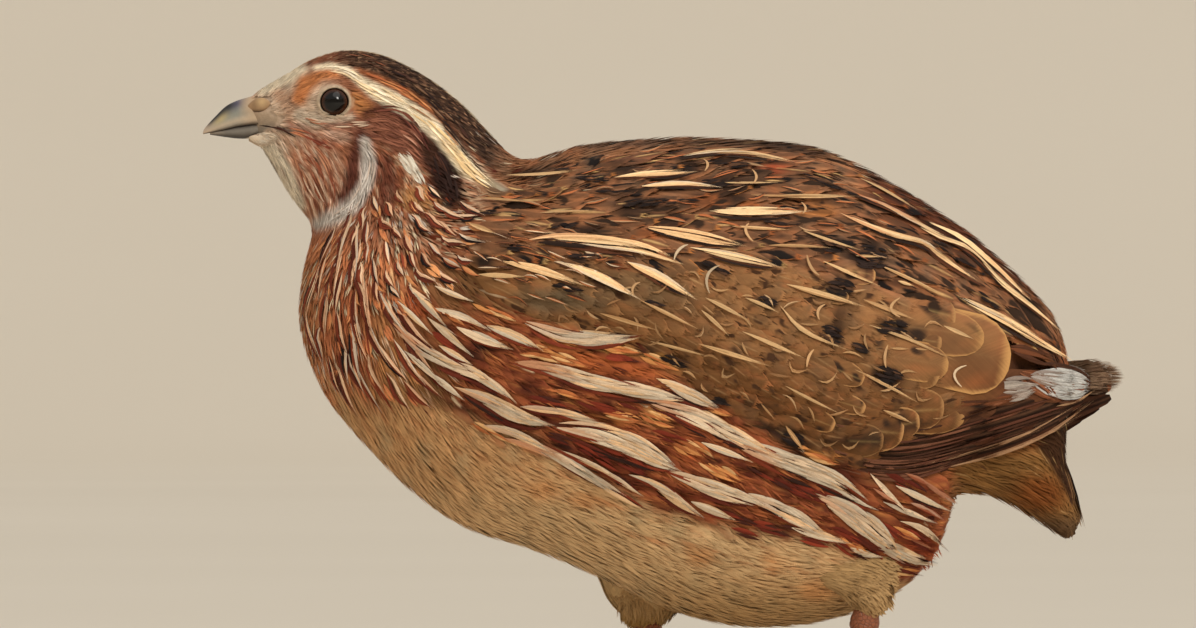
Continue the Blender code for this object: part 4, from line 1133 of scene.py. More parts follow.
def body_skin():
    maker = bmesh.new()
    ph = np.linspace(-math.pi, math.pi, 72, endpoint=False)
    rings = []
    for u in np.linspace(0.0, BODY_END - 0.05, 110):
        p, n = body_frame(np.full(72, u), ph)
        rings.append(p - n * coat_depth(u))
    first = rings[0]
    middle = first.mean(0)
    rings = [middle + (first - middle) * 0.6 + np.array([-0.6e-3, 0, 0])] + rings
    loft_mesh(maker, rings)
    # flesh of the folded wings, under the feathers
    for side in (-1, 1):
        S, T = np.meshgrid(np.linspace(0.04, 0.86, 34), np.linspace(0.10, 0.90, 14), indexing="ij")
        up, lo = curve(WING_UPPER, S.ravel() * 11), curve(WING_LOWER, S.ravel() * 11)
        spot_px = up + (lo - up) * T.ravel()[:, None]
        y = envelope_y(spot_px[:, 0], spot_px[:, 1])
        bulk = np.clip(np.sin(math.pi * (T.ravel() - 0.1) / 0.8) * 3, 0, 1) * np.clip(np.sin(math.pi * (S.ravel() - 0.04) / 0.82) * 5, 0, 1)
        out = y - 1.7 * MM
        inn = np.minimum(out - 0.6 * MM, half_width(spot_px[:, 0], spot_px[:, 1]) - 3.5 * MM)
        inn = np.maximum(inn, 1.0 * MM)
        out = inn + (out - inn) * np.maximum(bulk, 0.1)
        x = (spot_px[:, 0] - GRID_MIDDLE) * GRID
        z = (GRID_FLOOR - spot_px[:, 1]) * GRID
        a = [maker.verts.new((p, side * q, r)) for p, q, r in zip(x, inn, z)]
        b = [maker.verts.new((p, side * q, r)) for p, q, r in zip(x, out, z)]
        ni, nj = S.shape
        for i in range(ni - 1):
            for j in range(nj - 1):
                k = (i * nj + j, i * nj + j + 1, (i + 1) * nj + j + 1, (i + 1) * nj + j)
                maker.faces.new([a[q] for q in k])
                maker.faces.new([b[q] for q in k[::-1]])
        rim = ([i * nj for i in range(ni)] + [(ni - 1) * nj + j for j in range(1, nj)]
               + [i * nj + nj - 1 for i in range(ni - 2, -1, -1)] + [j for j in range(nj - 2, 0, -1)])
        for p, q in zip(rim, rim[1:] + rim[:1]):
            maker.faces.new((a[p], a[q], b[q], b[p]))
    for plan, drum in ((LEFT_LEG, LEFT_DRUM), (RIGHT_LEG, RIGHT_DRUM)):
        path, ra, rs = thigh_path(plan, drum, -1.3)
        hip, knee, ankle, pad = leg_points(plan)
        path = np.vstack([path, knee + (ankle - knee) * 0.5])
        loft_mesh(maker, tube(path, np.append(ra, 1.7 * MM), np.append(rs, 1.6 * MM), 24))
    return mesh_arrays(remeshed(maker, 0.85e-3))


SHANK_RADII = ((0.0, 2.15, 2.0), (0.10, 2.2, 2.0), (0.20, 2.75, 2.35), (0.27, 2.7, 2.3),
               (0.40, 1.75, 1.45), (0.60, 1.5, 1.25), (0.80, 1.5, 1.3), (1.0, 1.8, 1.7))
TOES = (("inner", -29.0, 15.0, 1.15), ("middle", 1.0, 20.5, 1.25),
        ("outer", 33.0, 15.5, 1.12), ("hind", 172.0, 6.2, 0.95))
CLAW_LENGTH = {"inner": 3.6, "middle": 4.2, "outer": 3.5, "hind": 2.2}
# reddish flesh of the bare legs, darkened from its lit tone: partly the legs' own colour, partly painted shade
SHADED_FLESH = srgb(140, 82, 54)


def bare_leg(plan):
    """Scaled shank, foot and toes; the claws come back as separate lofts."""
    side = plan["side"]
    hip, knee, ankle, pad = leg_points(plan)
    stub = ankle + (pad - ankle) * 0.86
    route = np.array([knee + [0, 0, 1.2 * MM], knee + (ankle - knee) * 0.6, ankle, ankle + (stub - ankle) * 0.12, stub])
    down = unit(pad - ankle)
    hub = np.array([pad[0], pad[1], 1.62 * MM])
    sides, parts = 28, []
    ang = np.linspace(0, 2 * math.pi, sides, endpoint=False)
    f = np.linspace(0, 1, 90)
    spots = curve(route, f * 4)
    tail_f = np.linspace(0, 1, 10)[1:]
    spots = np.vstack([spots, stub + (hub - stub) * tail_f[:, None]])
    ra = np.concatenate([np.interp(f, [d[0] for d in SHANK_RADII], [d[1] for d in SHANK_RADII]),
                         np.interp(tail_f, [0, 0.5, 1], [1.8, 1.85, 1.55])])
    rs = np.concatenate([np.interp(f, [d[0] for d in SHANK_RADII], [d[2] for d in SHANK_RADII]),
                         np.interp(tail_f, [0, 0.5, 1], [1.7, 1.85, 1.75])])
    run = np.concatenate([[0], np.cumsum(np.linalg.norm(np.diff(spots, axis=0), axis=1))]) / MM
    rings, tone = [], []
    for k, (p, (_, sv, across)) in enumerate(zip(spots, frames(spots))):
        # across points rearwards and up or down; the front of the leg faces -X
        front = np.clip(-(across[0] * np.cos(ang) + sv[0] * np.sin(ang)) * 1.0, 0, 1) if abs(across[0]) > 0.2 else np.clip(-np.cos(ang), 0, 1)
        saw = (run[k] / 1.35) % 1.0
        plate = front**0.5 * (0.10 * (1 - saw) - 0.05)
        crease = front**0.5 * math.exp(-((saw - 0.97) / 0.10) ** 2)
        rings.append(p + across * ((ra[k] + plate) * MM * np.cos(ang))[:, None] + sv * ((rs[k] + plate) * MM * np.sin(ang))[:, None])
        # front scales darker in the creases between them: painted shade
        tone.append(1.0 - 0.30 * crease)
    parts.append((rings, tone))
    claws = []
    for toe, heading, length, radius in TOES:
        a = math.radians(heading)
        ahead = np.array([-math.cos(a), side * math.sin(a), 0.0])
        cross = np.cross(ahead, [0, 0, 1.0])
        n = 64 if toe != "hind" else 26
        rings, tone = [], []
        joints = 3 if toe == "middle" else 2
        for i in range(n):
            fr = i / (n - 1)
            swell = 1 + 0.09 * math.cos(fr * math.pi * (2 * joints + 1))
            r = radius * (1 - 0.32 * fr) * swell
            if fr > 0.965:
                r *= 0.86
            along = length * fr
            saw = (along / 1.15) % 1.0
            top = np.clip(np.cos(ang), 0, 1)
            under = np.clip(-np.cos(ang), 0, 1)
            pads = 0.06 * under * abs(math.sin(along * 2.6))
            rr = r + top**0.5 * (0.08 * (1 - saw) - 0.04) + pads
            centre = hub + ahead * (0.2 + along) * MM
            centre[2] = (r - 0.28) * MM + 0.25 * MM * max(0, 1 - fr * 5)
            ring = centre + np.array([0, 0, 1.0]) * (rr * MM * np.cos(ang))[:, None] + cross * (rr * 1.03 * MM * np.sin(ang))[:, None]
            ring[:, 2] = np.maximum(ring[:, 2], 0.01 * MM)
            rings.append(ring)
            # toes darker in the creases between the top scales and on the underside: painted shade
            tone.append(1.0 - 0.28 * top**0.5 * math.exp(-((saw - 0.97) / 0.12) ** 2) - 0.12 * under)
        last = rings[-1].mean(0)
        rings.append(last + (rings[-1] - last) * 0.5 + ahead * 0.18 * MM)
        tone.append(tone[-1])
        parts.append((rings, tone))
        nail = CLAW_LENGTH[toe]
        tip = hub + ahead * (0.2 + length) * MM
        rad_end = radius * 0.68 * 0.92
        claw = []
        for i in range(16):
            fr = i / 15
            r = 0.66 * (1 - fr) ** 0.7 + 0.05
            spot_c = tip + ahead * (-0.5 + (nail + 0.7) * fr) * MM
            spot_c[2] = max(r * MM + 0.04 * MM, (rad_end + 0.35 * math.sin(math.pi * fr * 0.9) - 0.75 * fr * fr) * MM)
            a2 = np.linspace(0, 2 * math.pi, 16, endpoint=False)
            claw.append(spot_c + np.array([0, 0, 1.0]) * (r * MM * np.cos(a2))[:, None] + cross * (r * 0.72 * MM * np.sin(a2))[:, None])
        claws.append(claw)
    return parts, claws


def lofts_to_arrays(parts):
    verts, quads, tris, tones = [], [], [], []
    base = 0
    for rings, tone in parts:
        n = len(rings[0])
        for ring, tn in zip(rings, tone):
            verts.append(ring)
            tones.append(np.broadcast_to(tn, (n,)))
        for i in range(len(rings) - 1):
            for k in range(n):
                quads.append((base + i * n + k, base + i * n + (k + 1) % n, base + (i + 1) * n + (k + 1) % n, base + (i + 1) * n + k))
        for ring_i, flip in ((0, False), (len(rings) - 1, True)):
            c = base + ring_i * n
            centre = len(rings) * n + base + (1 if flip else 0)
            for k in range(n):
                tri = (centre, c + (k + 1) % n, c + k)
                tris.append(tri[::-1] if flip else tri)
        verts.append(np.array([rings[0].mean(0), rings[-1].mean(0)]))
        tones.append(np.array([np.mean(tone[0]), np.mean(tone[-1])]))
        base += len(rings) * n + 2
    v, q, t = np.concatenate(verts), np.array(quads, np.int64), np.array(tris, np.int64)
    # corner points of the quads and the middle of all points, which nothing below uses
    a, b, c = v[q[:, 0]], v[q[:, 1]], v[q[:, 2]]
    centre = v.mean(0)
    return v, q, t, np.concatenate(tones)


def eyelid(side):
    """Ring of bare skin round the eye: a rolled rim with fine folds."""
    centre = grid_point(*EYE_AT, side * EYE_OUT)
    rings, tone = [], []
    ang = np.linspace(0, 2 * math.pi, 72, endpoint=False)
    profile = ((2.62, 2.10), (2.60, 2.38), (2.68, 2.60), (2.80, 2.70), (2.95, 2.66), (3.10, 2.52), (3.30, 2.28), (3.65, 1.90), (4.1, 1.45))
    for r, out in profile:
        wave = 0.035 * np.sin(ang * 30) * (r > 2.7)
        rx, rz = r * 1.0, r * (0.97 - 0.02 * (r > 2.9))
        x = centre[0] + (rx * np.cos(ang)) * MM
        z = centre[2] + (rz * np.sin(ang) + wave) * MM
        y = centre[1] + side * (out + wave * 0.6) * MM
        ring = np.stack([x, np.broadcast_to(y, x.shape), z], -1)
        rings.append(ring if side < 0 else ring[::-1])
        # the innermost lid rings, tucked against the eyeball, are darker: painted shade in that crease
        tone.append(0.30 if r < 2.65 else (0.62 if r < 2.75 else 1.0 + 0 * r))
    return rings, tone


def make_skin():
    V, Q, T = body_skin()
    col, row = to_px(V)
    # the skin takes the coat's ground colour 15% darker: painted shade in the gaps between feathers
    colour = paint(col, row, V[:, 1]) * 0.85
    leg_sets = []
    claw_sets = {}
    for tag, plan in (("L", LEFT_LEG), ("R", RIGHT_LEG)):
        parts, claws = bare_leg(plan)
        leg_sets.append(lofts_to_arrays(parts))
        claw_sets[tag] = claws
    lids = [lofts_to_arrays([eyelid(s)]) for s in (-1, 1)]
    verts, quads, tris, colours, mats = [V], [Q], [T], [colour], [np.zeros(len(Q)), np.zeros(len(T))]
    qmats, tmats = [np.zeros(len(Q), np.int32)], [np.zeros(len(T), np.int32)]
    base = len(V)
    for v, q, t, tone in leg_sets:
        verts.append(v)
        quads.append(q + base)
        tris.append(t + base)
        # lighter higher up and darker near the floor: painted light and shade on the legs
        shade = np.clip((v[:, 2] / 0.03), 0, 1)[:, None]
        c = SHADED_FLESH * (0.92 + 0.08 * shade) * np.asarray(tone)[:, None]
        colours.append(c)
        qmats.append(np.ones(len(q), np.int32))
        tmats.append(np.ones(len(t), np.int32))
        base += len(v)
    for v, q, t, tone in lids:
        verts.append(v)
        quads.append(q + base)
        keep = np.zeros((0, 3), np.int64)
        tris.append(keep)
        c, r = to_px(v)
        away = np.hypot(c - EYE_AT[0], r - EYE_AT[1]) * GRID / MM
        rim = srgb(186, 164, 138) * np.asarray(tone)[:, None] * (0.85 + 0.25 * wobble(c, r, 6, 31))[:, None]
        # outer lid takes the ground colour 15% darker, like the skin: painted shade between the feathers
        colours.append(lay(rim, paint(c, r, v[:, 1]) * 0.85, step(2.95, 3.15, away)))
        qmats.append(np.full(len(q), 2, np.int32))
        tmats.append(np.zeros(0, np.int32))
        base += len(v)
    C = np.concatenate(colours)
    obj = make_mesh("skin", np.concatenate(verts), np.concatenate(quads), np.concatenate(tris),
                    {"c_base": np.concatenate([C, np.ones((len(C), 1))], 1)}, None, SKIN_MAT)
    obj.data.materials.append(LEG_MAT)
    obj.data.materials.append(LID_MAT)
    index = np.concatenate(qmats + tmats)
    if len(index) == len(obj.data.polygons):
        obj.data.polygons.foreach_set("material_index", index)
    bm = bmesh.new()
    bm.from_mesh(obj.data)
    loose = [v for v in bm.verts if not v.link_faces]
    bmesh.ops.delete(bm, geom=loose, context="VERTS")
    bmesh.ops.recalc_face_normals(bm, faces=bm.faces)
    bm.to_mesh(obj.data)
    bm.free()
    dress(obj, "body_plumage", "trunk", "neck", "head", "tail", "thigh_L", "thigh_R",
          "wing_L", "wing_R", "shank_L", "shank_R", "foot_L", "foot_R")
    for tag in ("L", "R"):
        parts = [(c, [1.0] * len(c)) for c in claw_sets[tag]]
        v, q, t, tone = lofts_to_arrays(parts)
        # claws darker near the floor and lighter higher up: painted shade
        shade = srgb(92, 74, 62) * np.interp(v[:, 2] / MM, [0, 1.2], [0.8, 1.2])[:, None]
        claw = make_mesh("claws_" + tag, v, q, t, {"c_base": np.concatenate([shade, np.ones((len(v), 1))], 1)}, None, CLAW_MAT)
        bm = bmesh.new()
        bm.from_mesh(claw.data)
        bmesh.ops.recalc_face_normals(bm, faces=bm.faces)
        bm.to_mesh(claw.data)
        bm.free()
        dress(claw, "claw_horn", *[f"claw_{tag}_{n}" for n in ("inner", "middle", "outer", "hind")])


# ---------------------------------------------------------------------- eyes
def make_eyes():
    m, nt, shader = material("eye_gloss", 0.05, 0.34)
    where = place(nt, 1000.0)
    grain = noise(nt, where, 3.0, 3.0, 0.7)
    iris = attribute(nt, "c_base").outputs["Color"]
    nt.links.new(mix(nt, 1.0, iris, grey(nt, calc(nt, "ADD", calc(nt, "MULTIPLY", grain, 1.2), 0.4)), "MULTIPLY"),
                 shader.inputs["Base Color"])
    for tag, side in (("L", -1), ("R", 1)):
        centre = grid_point(*EYE_AT, side * EYE_OUT)
        lat = np.concatenate([np.linspace(0, 0.95, 60), np.linspace(1.0, math.pi, 24)])
        ang = np.linspace(0, 2 * math.pi, 64, endpoint=False)
        rings, cols = [], []
        for a in lat[1:-1]:
            r, out = EYE_RADIUS * math.sin(a), EYE_RADIUS * math.cos(a)
            cornea = 0.28 * MM * math.exp(-((a / 0.55) ** 4))
            ring = np.stack([centre[0] + r * np.cos(ang), np.full(64, centre[1] + side * (out * 0.99 + cornea)),
                             centre[2] + r * np.sin(ang)], -1)
            rings.append(ring)
            rad = r / MM
            if a > 1.6:
                base = srgb(60, 50, 46)
            elif rad < 1.72:
                base = srgb(5, 4, 4)
            elif rad < 2.35:
                k = (rad - 1.72) / 0.63
                base = srgb(26, 13, 8) * (1 - k) + srgb(66, 36, 20) * k
            elif rad < 2.6:
                base = srgb(16, 9, 7)
            else:
                base = srgb(34, 26, 22)
            streaks = 1 + 0.35 * np.sin(ang * 37 + rad * 2) * (1.72 < rad < 2.35)
            cols.append(np.broadcast_to(base, (64, 3)) * streaks[:, None])
        v, q, t, _ = lofts_to_arrays([(rings, [1.0] * len(rings))])
        c = np.concatenate([np.concatenate(cols), [srgb(5, 4, 4)], [srgb(40, 34, 30)]])
        eye = make_mesh("eye_" + ("left" if side < 0 else "right"), v, q, t,
                        {"c_base": np.concatenate([c, np.ones((len(c), 1))], 1)}, None, m)
        bm = bmesh.new()
        bm.from_mesh(eye.data)
        bmesh.ops.recalc_face_normals(bm, faces=bm.faces)
        bm.to_mesh(eye.data)
        bm.free()
        dress(eye, "eye", "eye_" + tag)


# ---------------------------------------------------------------------- bill
CULMEN = ((203.0, 132.2), (204.3, 129.0), (208, 124.3), (216, 115.8), (226, 106.2), (237, 100.6), (249, 97.0), (264, 92.5))
GAPE = ((203, 133.5), (214, 131.5), (224, 129.5), (237, 126.5), (252, 124.5), (262, 124.5), (274, 127.5))
GONYS = ((210, 134.8), (218, 136.0), (226, 137.2), (238, 138.6), (250, 138.4), (262, 136.0), (274, 132.0))


def make_bill():
    def half_at(column):
        reach = np.clip((column - 203.0) / 49.0, 0, 1)
        return (0.16 + 0.84 * reach ** 0.66) * 3.15 * MM * (1 + 0.12 * np.clip((column - 252) / 20, 0, 1))

    # upper mandible
    steps, around = 46, 41
    rings, cols = [], []
    for i in range(steps + 1):
        s = (i / steps) ** 1.25
        c, r = curve(CULMEN, [s * (len(CULMEN) - 1)])[0]
        gape = np.interp(c, [g[0] for g in GAPE], [g[1] for g in GAPE])
        low = gape + 0.6 - 0.5 * np.clip((c - 225) / 30, 0, 1)       # cutting edge laps the lower one a little
        half = half_at(c)
        ring, tint = [], []
        for k in range(around):
            a = math.pi * k / (around - 1)
            lift = math.sin(a) ** 0.80
            y = half * math.cos(a) * (1 - 0.10 * math.sin(2 * a) ** 2)
            groove = 0.35 * math.exp(-((lift - 0.40) / 0.13) ** 2) * np.clip((c - 222) / 12, 0, 1)
            y *= 1 - groove * 0.16
            rr = low + (r - low) * lift
            ring.append(grid_point(c, rr, y))
            ridge = math.exp(-((1 - lift) / 0.32) ** 2)
            base = srgb(134, 134, 124)
            tip = np.clip(1 - (c - 203) / 22.0, 0, 1)
            base = base + (srgb(188, 164, 142) - base) * tip * 0.9
            tan = math.exp(-(((c - 221) / 7) ** 2 + ((lift - 0.62) / 0.25) ** 2))
            base = base + (srgb(190, 170, 122) - base) * tan * 0.85
            dusk = math.exp(-(((c - 237) / 10) ** 2 + ((lift - 0.90) / 0.22) ** 2))
            base = base + (srgb(84, 80, 96) - base) * dusk
            base = base + (srgb(28, 24, 26) - base) * ridge * np.clip((238 - c) / 8, 0, 1) * np.clip((c - 205) / 6, 0, 1)
            edge = math.exp(-((lift - 0.22) / 0.14) ** 2)
            base = base + (srgb(188, 166, 140) - base) * edge * 0.7
            rear = np.clip((c - 238) / 14, 0, 1) * (0.55 + 0.45 * np.clip((lift - 0.3) / 0.3, 0, 1))
            base = base + (srgb(188, 158, 126) - base) * rear * 0.95
            base = base + (srgb(40, 28, 24) - base) * math.exp(-((lift) / 0.10) ** 2) * 0.95
            tint.append(base)
        under = [grid_point(c, low - 0.8, -half * 0.72), grid_point(c, low - 1.4, 0.0), grid_point(c, low - 0.8, half * 0.72)]
        ring += under
        tint += [srgb(96, 80, 72)] * 3
        rings.append(np.array(ring))
        cols.append(np.array(tint))
    v, q, t, _ = lofts_to_arrays([(rings, [1.0] * len(rings))])
    c = np.concatenate(cols + [[srgb(150, 140, 124)], [srgb(120, 100, 80)]])
    # nostril covers: a soft swelling each side, with the slit of the nostril under it
    for side in (-1, 1):
        oval, tint = [], []
        for i, s in enumerate(np.linspace(0.02, 0.98, 22)):
            ring, tt = [], []
            for k in range(24):
                a = 2 * math.pi * k / 24
                rad = math.sin(math.pi * s) ** 0.65
                cc = 247.5 + 23.5 * s
                rr = 105.5 - 3.4 * (s - 0.5) + 7.6 * rad * math.sin(a) * (1.0 if math.sin(a) < 0 else 0.92)
                y = side * (half_width(np.array([max(cc, 252.0)]), np.array([104.0]))[0] * np.interp(cc, [246, 256, 272], [0.80, 0.96, 1.0])
                            - 0.45 * MM + 0.62 * MM * rad * math.cos(a))
                ring.append(grid_point(cc, rr, y))
                low = np.clip((rr - 109.0) / 3.0, 0, 1)
                base = srgb(158, 126, 94) + (srgb(196, 164, 122) - srgb(158, 126, 94)) * math.exp(-((s - 0.62) / 0.22) ** 2 - ((rr - 102.5) / 4.5) ** 2)
                base = base + (srgb(60, 44, 36) - base) * low * 0.9 * np.clip((0.92 - s) / 0.2, 0, 1)
                tt.append(base)
            oval.append(np.array(ring))
            tint.append(np.array(tt))
        v2, q2, t2, _ = lofts_to_arrays([(oval, [1.0] * len(oval))])
        c2 = np.concatenate(tint + [[srgb(150, 130, 100)], [srgb(190, 150, 96)]])
        q, t = np.concatenate([q, q2 + len(v)]), np.concatenate([t, t2 + len(v)])
        v, c = np.concatenate([v, v2]), np.concatenate([c, c2])
    upper = make_mesh("bill_upper_horn", v, q, t, {"c_base": np.concatenate([c, np.ones((len(c), 1))], 1)}, None, HORN_MAT)
    # lower mandible
    rings, cols = [], []
    for i in range(steps + 1):
        s = i / steps
        c0, r0 = curve(GONYS, [s * (len(GONYS) - 1)])[0]
        gape = np.interp(c0, [g[0] for g in GAPE], [g[1] for g in GAPE]) + 0.25
        half = half_at(c0) * 0.90 * np.clip((c0 - 206) / 8, 0.3, 1)
        ring, tint = [], []
        for k in range(around):
            a = math.pi * k / (around - 1)
            lift = math.sin(a) ** 0.72
            ring.append(grid_point(c0, gape + (r0 - gape) * lift, half * math.cos(a)))
            base = srgb(128, 122, 114)
            base = base + (srgb(168, 152, 136) - base) * np.clip(1 - (c0 - 206) / 20, 0, 1)
            base = base + (srgb(40, 32, 30) - base) * math.exp(-((1 - lift) / 0.34) ** 2)
            base = base + (srgb(40, 30, 28) - base) * math.exp(-(lift / 0.20) ** 2) * 0.95
            base = base + (srgb(150, 140, 126) - base) * np.clip((c0 - 250) / 14, 0, 1) * 0.6
            chin = np.clip((gape + (r0 - gape) * lift - (137.4 - 0.314 * (c0 - 248))) / 1.6 + 0.3, 0, 1) * np.clip((c0 - 243) / 6, 0, 1)
            base = base + (srgb(206, 188, 166) - base) * chin
            tint.append(base)
        ring += [grid_point(c0, gape + 0.5, -half * 0.6), grid_point(c0, gape + 0.9, 0.0), grid_point(c0, gape + 0.5, half * 0.6)]
        tint += [srgb(80, 62, 56)] * 3
        rings.append(np.array(ring))
        cols.append(np.array(tint))
    v, q, t, _ = lofts_to_arrays([(rings, [1.0] * len(rings))])
    c = np.concatenate(cols + [[srgb(150, 140, 124)], [srgb(120, 100, 80)]])
    lower = make_mesh("bill_lower_horn", v, q, t, {"c_base": np.concatenate([c, np.ones((len(c), 1))], 1)}, None, HORN_MAT)
    for obj, node in ((upper, "bill_upper"), (lower, "bill_lower")):
        bm = bmesh.new()
        bm.from_mesh(obj.data)
        bmesh.ops.recalc_face_normals(bm, faces=bm.faces)
        bm.to_mesh(obj.data)
        bm.free()
        dress(obj, "bill_horn", node)


# ---------------------------------------------------------------------- coat
def turned(d, n, angle):
    return unit(d * np.cos(angle)[:, None] + np.cross(n, d) * np.sin(angle)[:, None])


def body_tract(coat, u, phi, length, width, shape, rows, cols, depth, up, look_fn,
               turn=7.0, fringe=4, fray=0.3, ground=None, camber=0.3, bend=0.0, drop=None):
    R, M, root_uv, width, look = laid(u, phi, length, width, rows, depth, up, look_fn, turn, drop)
    return feathers(coat, R, M, width, shape, cols, rows, look, root_uv, camber=camber, fringe=fringe, fray=fray,
                    ground=ground, bend=bend)


def at_px(R, t_index):
    col, row = to_px(R[:, t_index])
    return col, row, R[:, t_index, 1]


def vertex_paint(strength=1.0, shift=0.0):
    """Ground colour taken per vertex, mixed with the feather's own."""
    def ground(P, T, V, look):
        col, row = to_px(P)
        if "shift" in look:
            col, row = col + look["shift"][:, :1], row + look["shift"][:, 1:]
        c = paint(col.ravel(), row.ravel(), P[..., 1].ravel()).reshape(P.shape)
        if "tone" in look:
            c = c * look["tone"][:, None, :]
        return c * strength + look["c_base"][:, None, :] * (1 - strength)
    return ground


TOP_EDGE = ([0] + [b[0] for b in BODY[9:27]], [-100] + [b[1] for b in BODY[9:27]])
def side_tract(coat, path, width, side, rows, cols, shape, depth, up, lift, look,
               ground=None, camber=0.25, bend=0.0, fringe=6, fray=0.25, far_tip=True):
    """Feathers drawn in the side view; path is (n, K, 2) in grid units, width in grid units."""
    path = path.copy()
    n = len(path)
    width = np.broadcast_to(np.asarray(width, float), (n,))
    over = np.interp(path[..., 0], TOP_EDGE[0], TOP_EDGE[1]) + 1.5 + 0.55 * width[:, None]
    path[..., 1] = np.where(path[..., 0] > 840, np.maximum(path[..., 1], over), path[..., 1])
    col0, row0 = path[..., 0], path[..., 1]
    Y = envelope_y(col0, row0)
    gx = (envelope_y(col0 + 3, row0) - envelope_y(col0 - 3, row0)) / (6 * GRID)
    gz = -(envelope_y(col0, row0 + 3) - envelope_y(col0, row0 - 3)) / (6 * GRID)
    gx, gz = np.clip(gx, -2.5, 2.5), np.clip(gz, -2.5, 2.5)
    normal = unit(np.stack([-gx, np.full_like(gx, side), -gz], -1))
    col, row = col0, row0
    if side > 0 and far_tip:
        late = np.clip((col - 950) / 134, 0, 1) * step(350, 366, row0)
        col, row = col + 29.0 * late**2 * (3 - 2 * late), row - 2.0 * late
    R = np.stack([(col - GRID_MIDDLE) * GRID, side * Y, (GRID_FLOOR - row) * GRID], -1)
    t = np.asarray(rows, float)[None, :]
    k = np.ones(n)[:, None]
    h = (-(k * np.reshape(depth, (-1, 1))) * (1 - t) ** 1.3 + (k * np.reshape(up, (-1, 1))) * t**2
         + k * np.reshape(lift, (-1, 1)))
    R = R + normal * h[..., None]
    u, phi, _ = invert(col0[:, 0], row0[:, 0])
    return feathers(coat, R, normal, width * GRID, shape, cols, rows, look, root_map(u, side * phi),
                    camber=camber, fringe=fringe, fray=fray, ground=ground, bend=bend)


def poly_path(points, rows, back=0.0, ahead=0.0):
    """Points at the fractions rows of a polyline lengthened at both ends, smoothed."""
    pts = np.asarray(points, float)
    a = pts[0] - unit(pts[1] - pts[0]) * back
    b = pts[-1] + unit(pts[-1] - pts[-2]) * ahead
    pts = np.vstack([a, pts[1:-1], b]) if len(pts) > 2 else np.vstack([a, 0.5 * (a + b), b])
    seg = np.hypot(*np.diff(pts, axis=0).T)
    run = np.concatenate([[0], np.cumsum(seg)]) / seg.sum()
    # a quadratic through the ends that passes near the middle points
    coeff_x, coeff_y = np.polyfit(run, pts[:, 0], 2), np.polyfit(run, pts[:, 1], 2)
    rows = np.asarray(rows, float)
    return np.stack([np.polyval(coeff_x, rows), np.polyval(coeff_y, rows)], -1)


def flow_path(start, length, rows, turn=0.0):
    """Side-view shafts that follow the lie from their roots."""
    pos = np.asarray(start, float).copy()
    out = [pos.copy()]
    turn = np.broadcast_to(turn, (len(pos),))
    c, s = np.cos(turn), np.sin(turn)
    for k in range(1, len(rows)):
        f = flow(pos[:, 0], pos[:, 1])
        f = np.stack([f[:, 0] * c - f[:, 1] * s, f[:, 0] * s + f[:, 1] * c], -1)
        pos = pos + f * ((rows[k] - rows[k - 1]) * length)[:, None]
        out.append(pos.copy())
    return np.stack(out, 1)


def pick(n, *choices):
    """Random colours from weighted choices, a little varied."""
    cols = np.array([c for c, _ in choices])
    wts = np.array([w for _, w in choices], float)
    i = rng.choice(len(cols), n, p=wts / wts.sum())
    return cols[i] * rng.uniform(0.82, 1.18, (n, 1))


def barbs(coat, table, side, reach, half, colours, lift, depth=0.3, cover=1.6, tint=None, offset=0.0, grow=1.0,
          profile=(0.75, 0.6), spread=0.12, shift=4.0, clear=0.0):
    """Markings made of fine barbs laid side by side along a path, drawing together at both ends."""
    crow = np.array([0, 0.2, 0.42, 0.64, 0.84, 0.97])
    px, py = profile
    peak = (px / (px + py)) ** px * (py / (px + py)) ** py
    paths, place_s, shade = [], [], []
    for pts, w in table:
        pts = np.asarray(pts, float)
        if len(pts) == 2:
            pts = np.vstack([pts[0], pts.mean(0), pts[1]])
        fine = curve(pts, np.linspace(0, len(pts) - 1, 60))
        if side > 0:
            fine = fine + rng.normal(0, shift, 2)
        run = np.concatenate([[0], np.cumsum(np.hypot(*np.diff(fine, axis=0).T))])
        total, run = run[-1], run / run[-1]
        along = unit(np.gradient(fine, axis=0))
        wide = w * grow
        near_len = min(reach, total)
        m = max(3, int(round(total * wide * 0.6 * cover / (near_len * half * 1.5))))
        ell = np.clip(reach * rng.uniform(0.75, 1.25, m) / total, 0.05, 0.97)
        s0 = rng.uniform(0, 1, m) * (1 - ell)
        s = s0[:, None] + ell[:, None] * crow
        lens = s**px * (1 - s) ** py / peak
        a = offset * w + rng.uniform(-1, 1, m) * max(0.5 * wide - 0.5 * half, 0.4)
        x, y, tx, ty = (np.interp(s, run, q) for q in (fine[:, 0], fine[:, 1], along[:, 0], along[:, 1]))
        o = a[:, None] * lens
        paths.append(np.stack([x - ty * o, y + tx * o], -1))
        place_s.append(s0 + 0.5 * ell)
        shade.append(np.full(m, rng.normal(1.0, 0.06)))
    paths, mid_s, shade = np.concatenate(paths), np.concatenate(place_s), np.concatenate(shade)
    if clear:
        inside = half_width(paths[..., 0], paths[..., 1]).min(1) > clear * MM
        paths, mid_s, shade = paths[inside], mid_s[inside], shade[inside]
    n = len(paths)
    base = pick(n, *colours) * shade[:, None]
    if tint is not None:
        base = lay(base, tint, 0.85 * step(0.34, 0.10, mid_s))
    L = look_of(n, base, CREAM, PALE, DARK, (0, 0, 1, 0), (0, 0, 2, 0))
    side_tract(coat, paths, half * rng.uniform(0.8, 1.2, n), side, crow, [-1, 0, 1], "lance", depth * MM, 0.0,
               (lift + spread * (0.6 * (1 - mid_s) + 0.4 * rng.random(n))) * MM, L, camber=0.25, fringe=4, fray=0.05, far_tip=False)


coats = []


def finish_coat(coat, name, slot):
    obj = coat.build(name, FEATHER)
    dress(obj, slot)
    coats.append((name, coat.triangles()))
    return obj


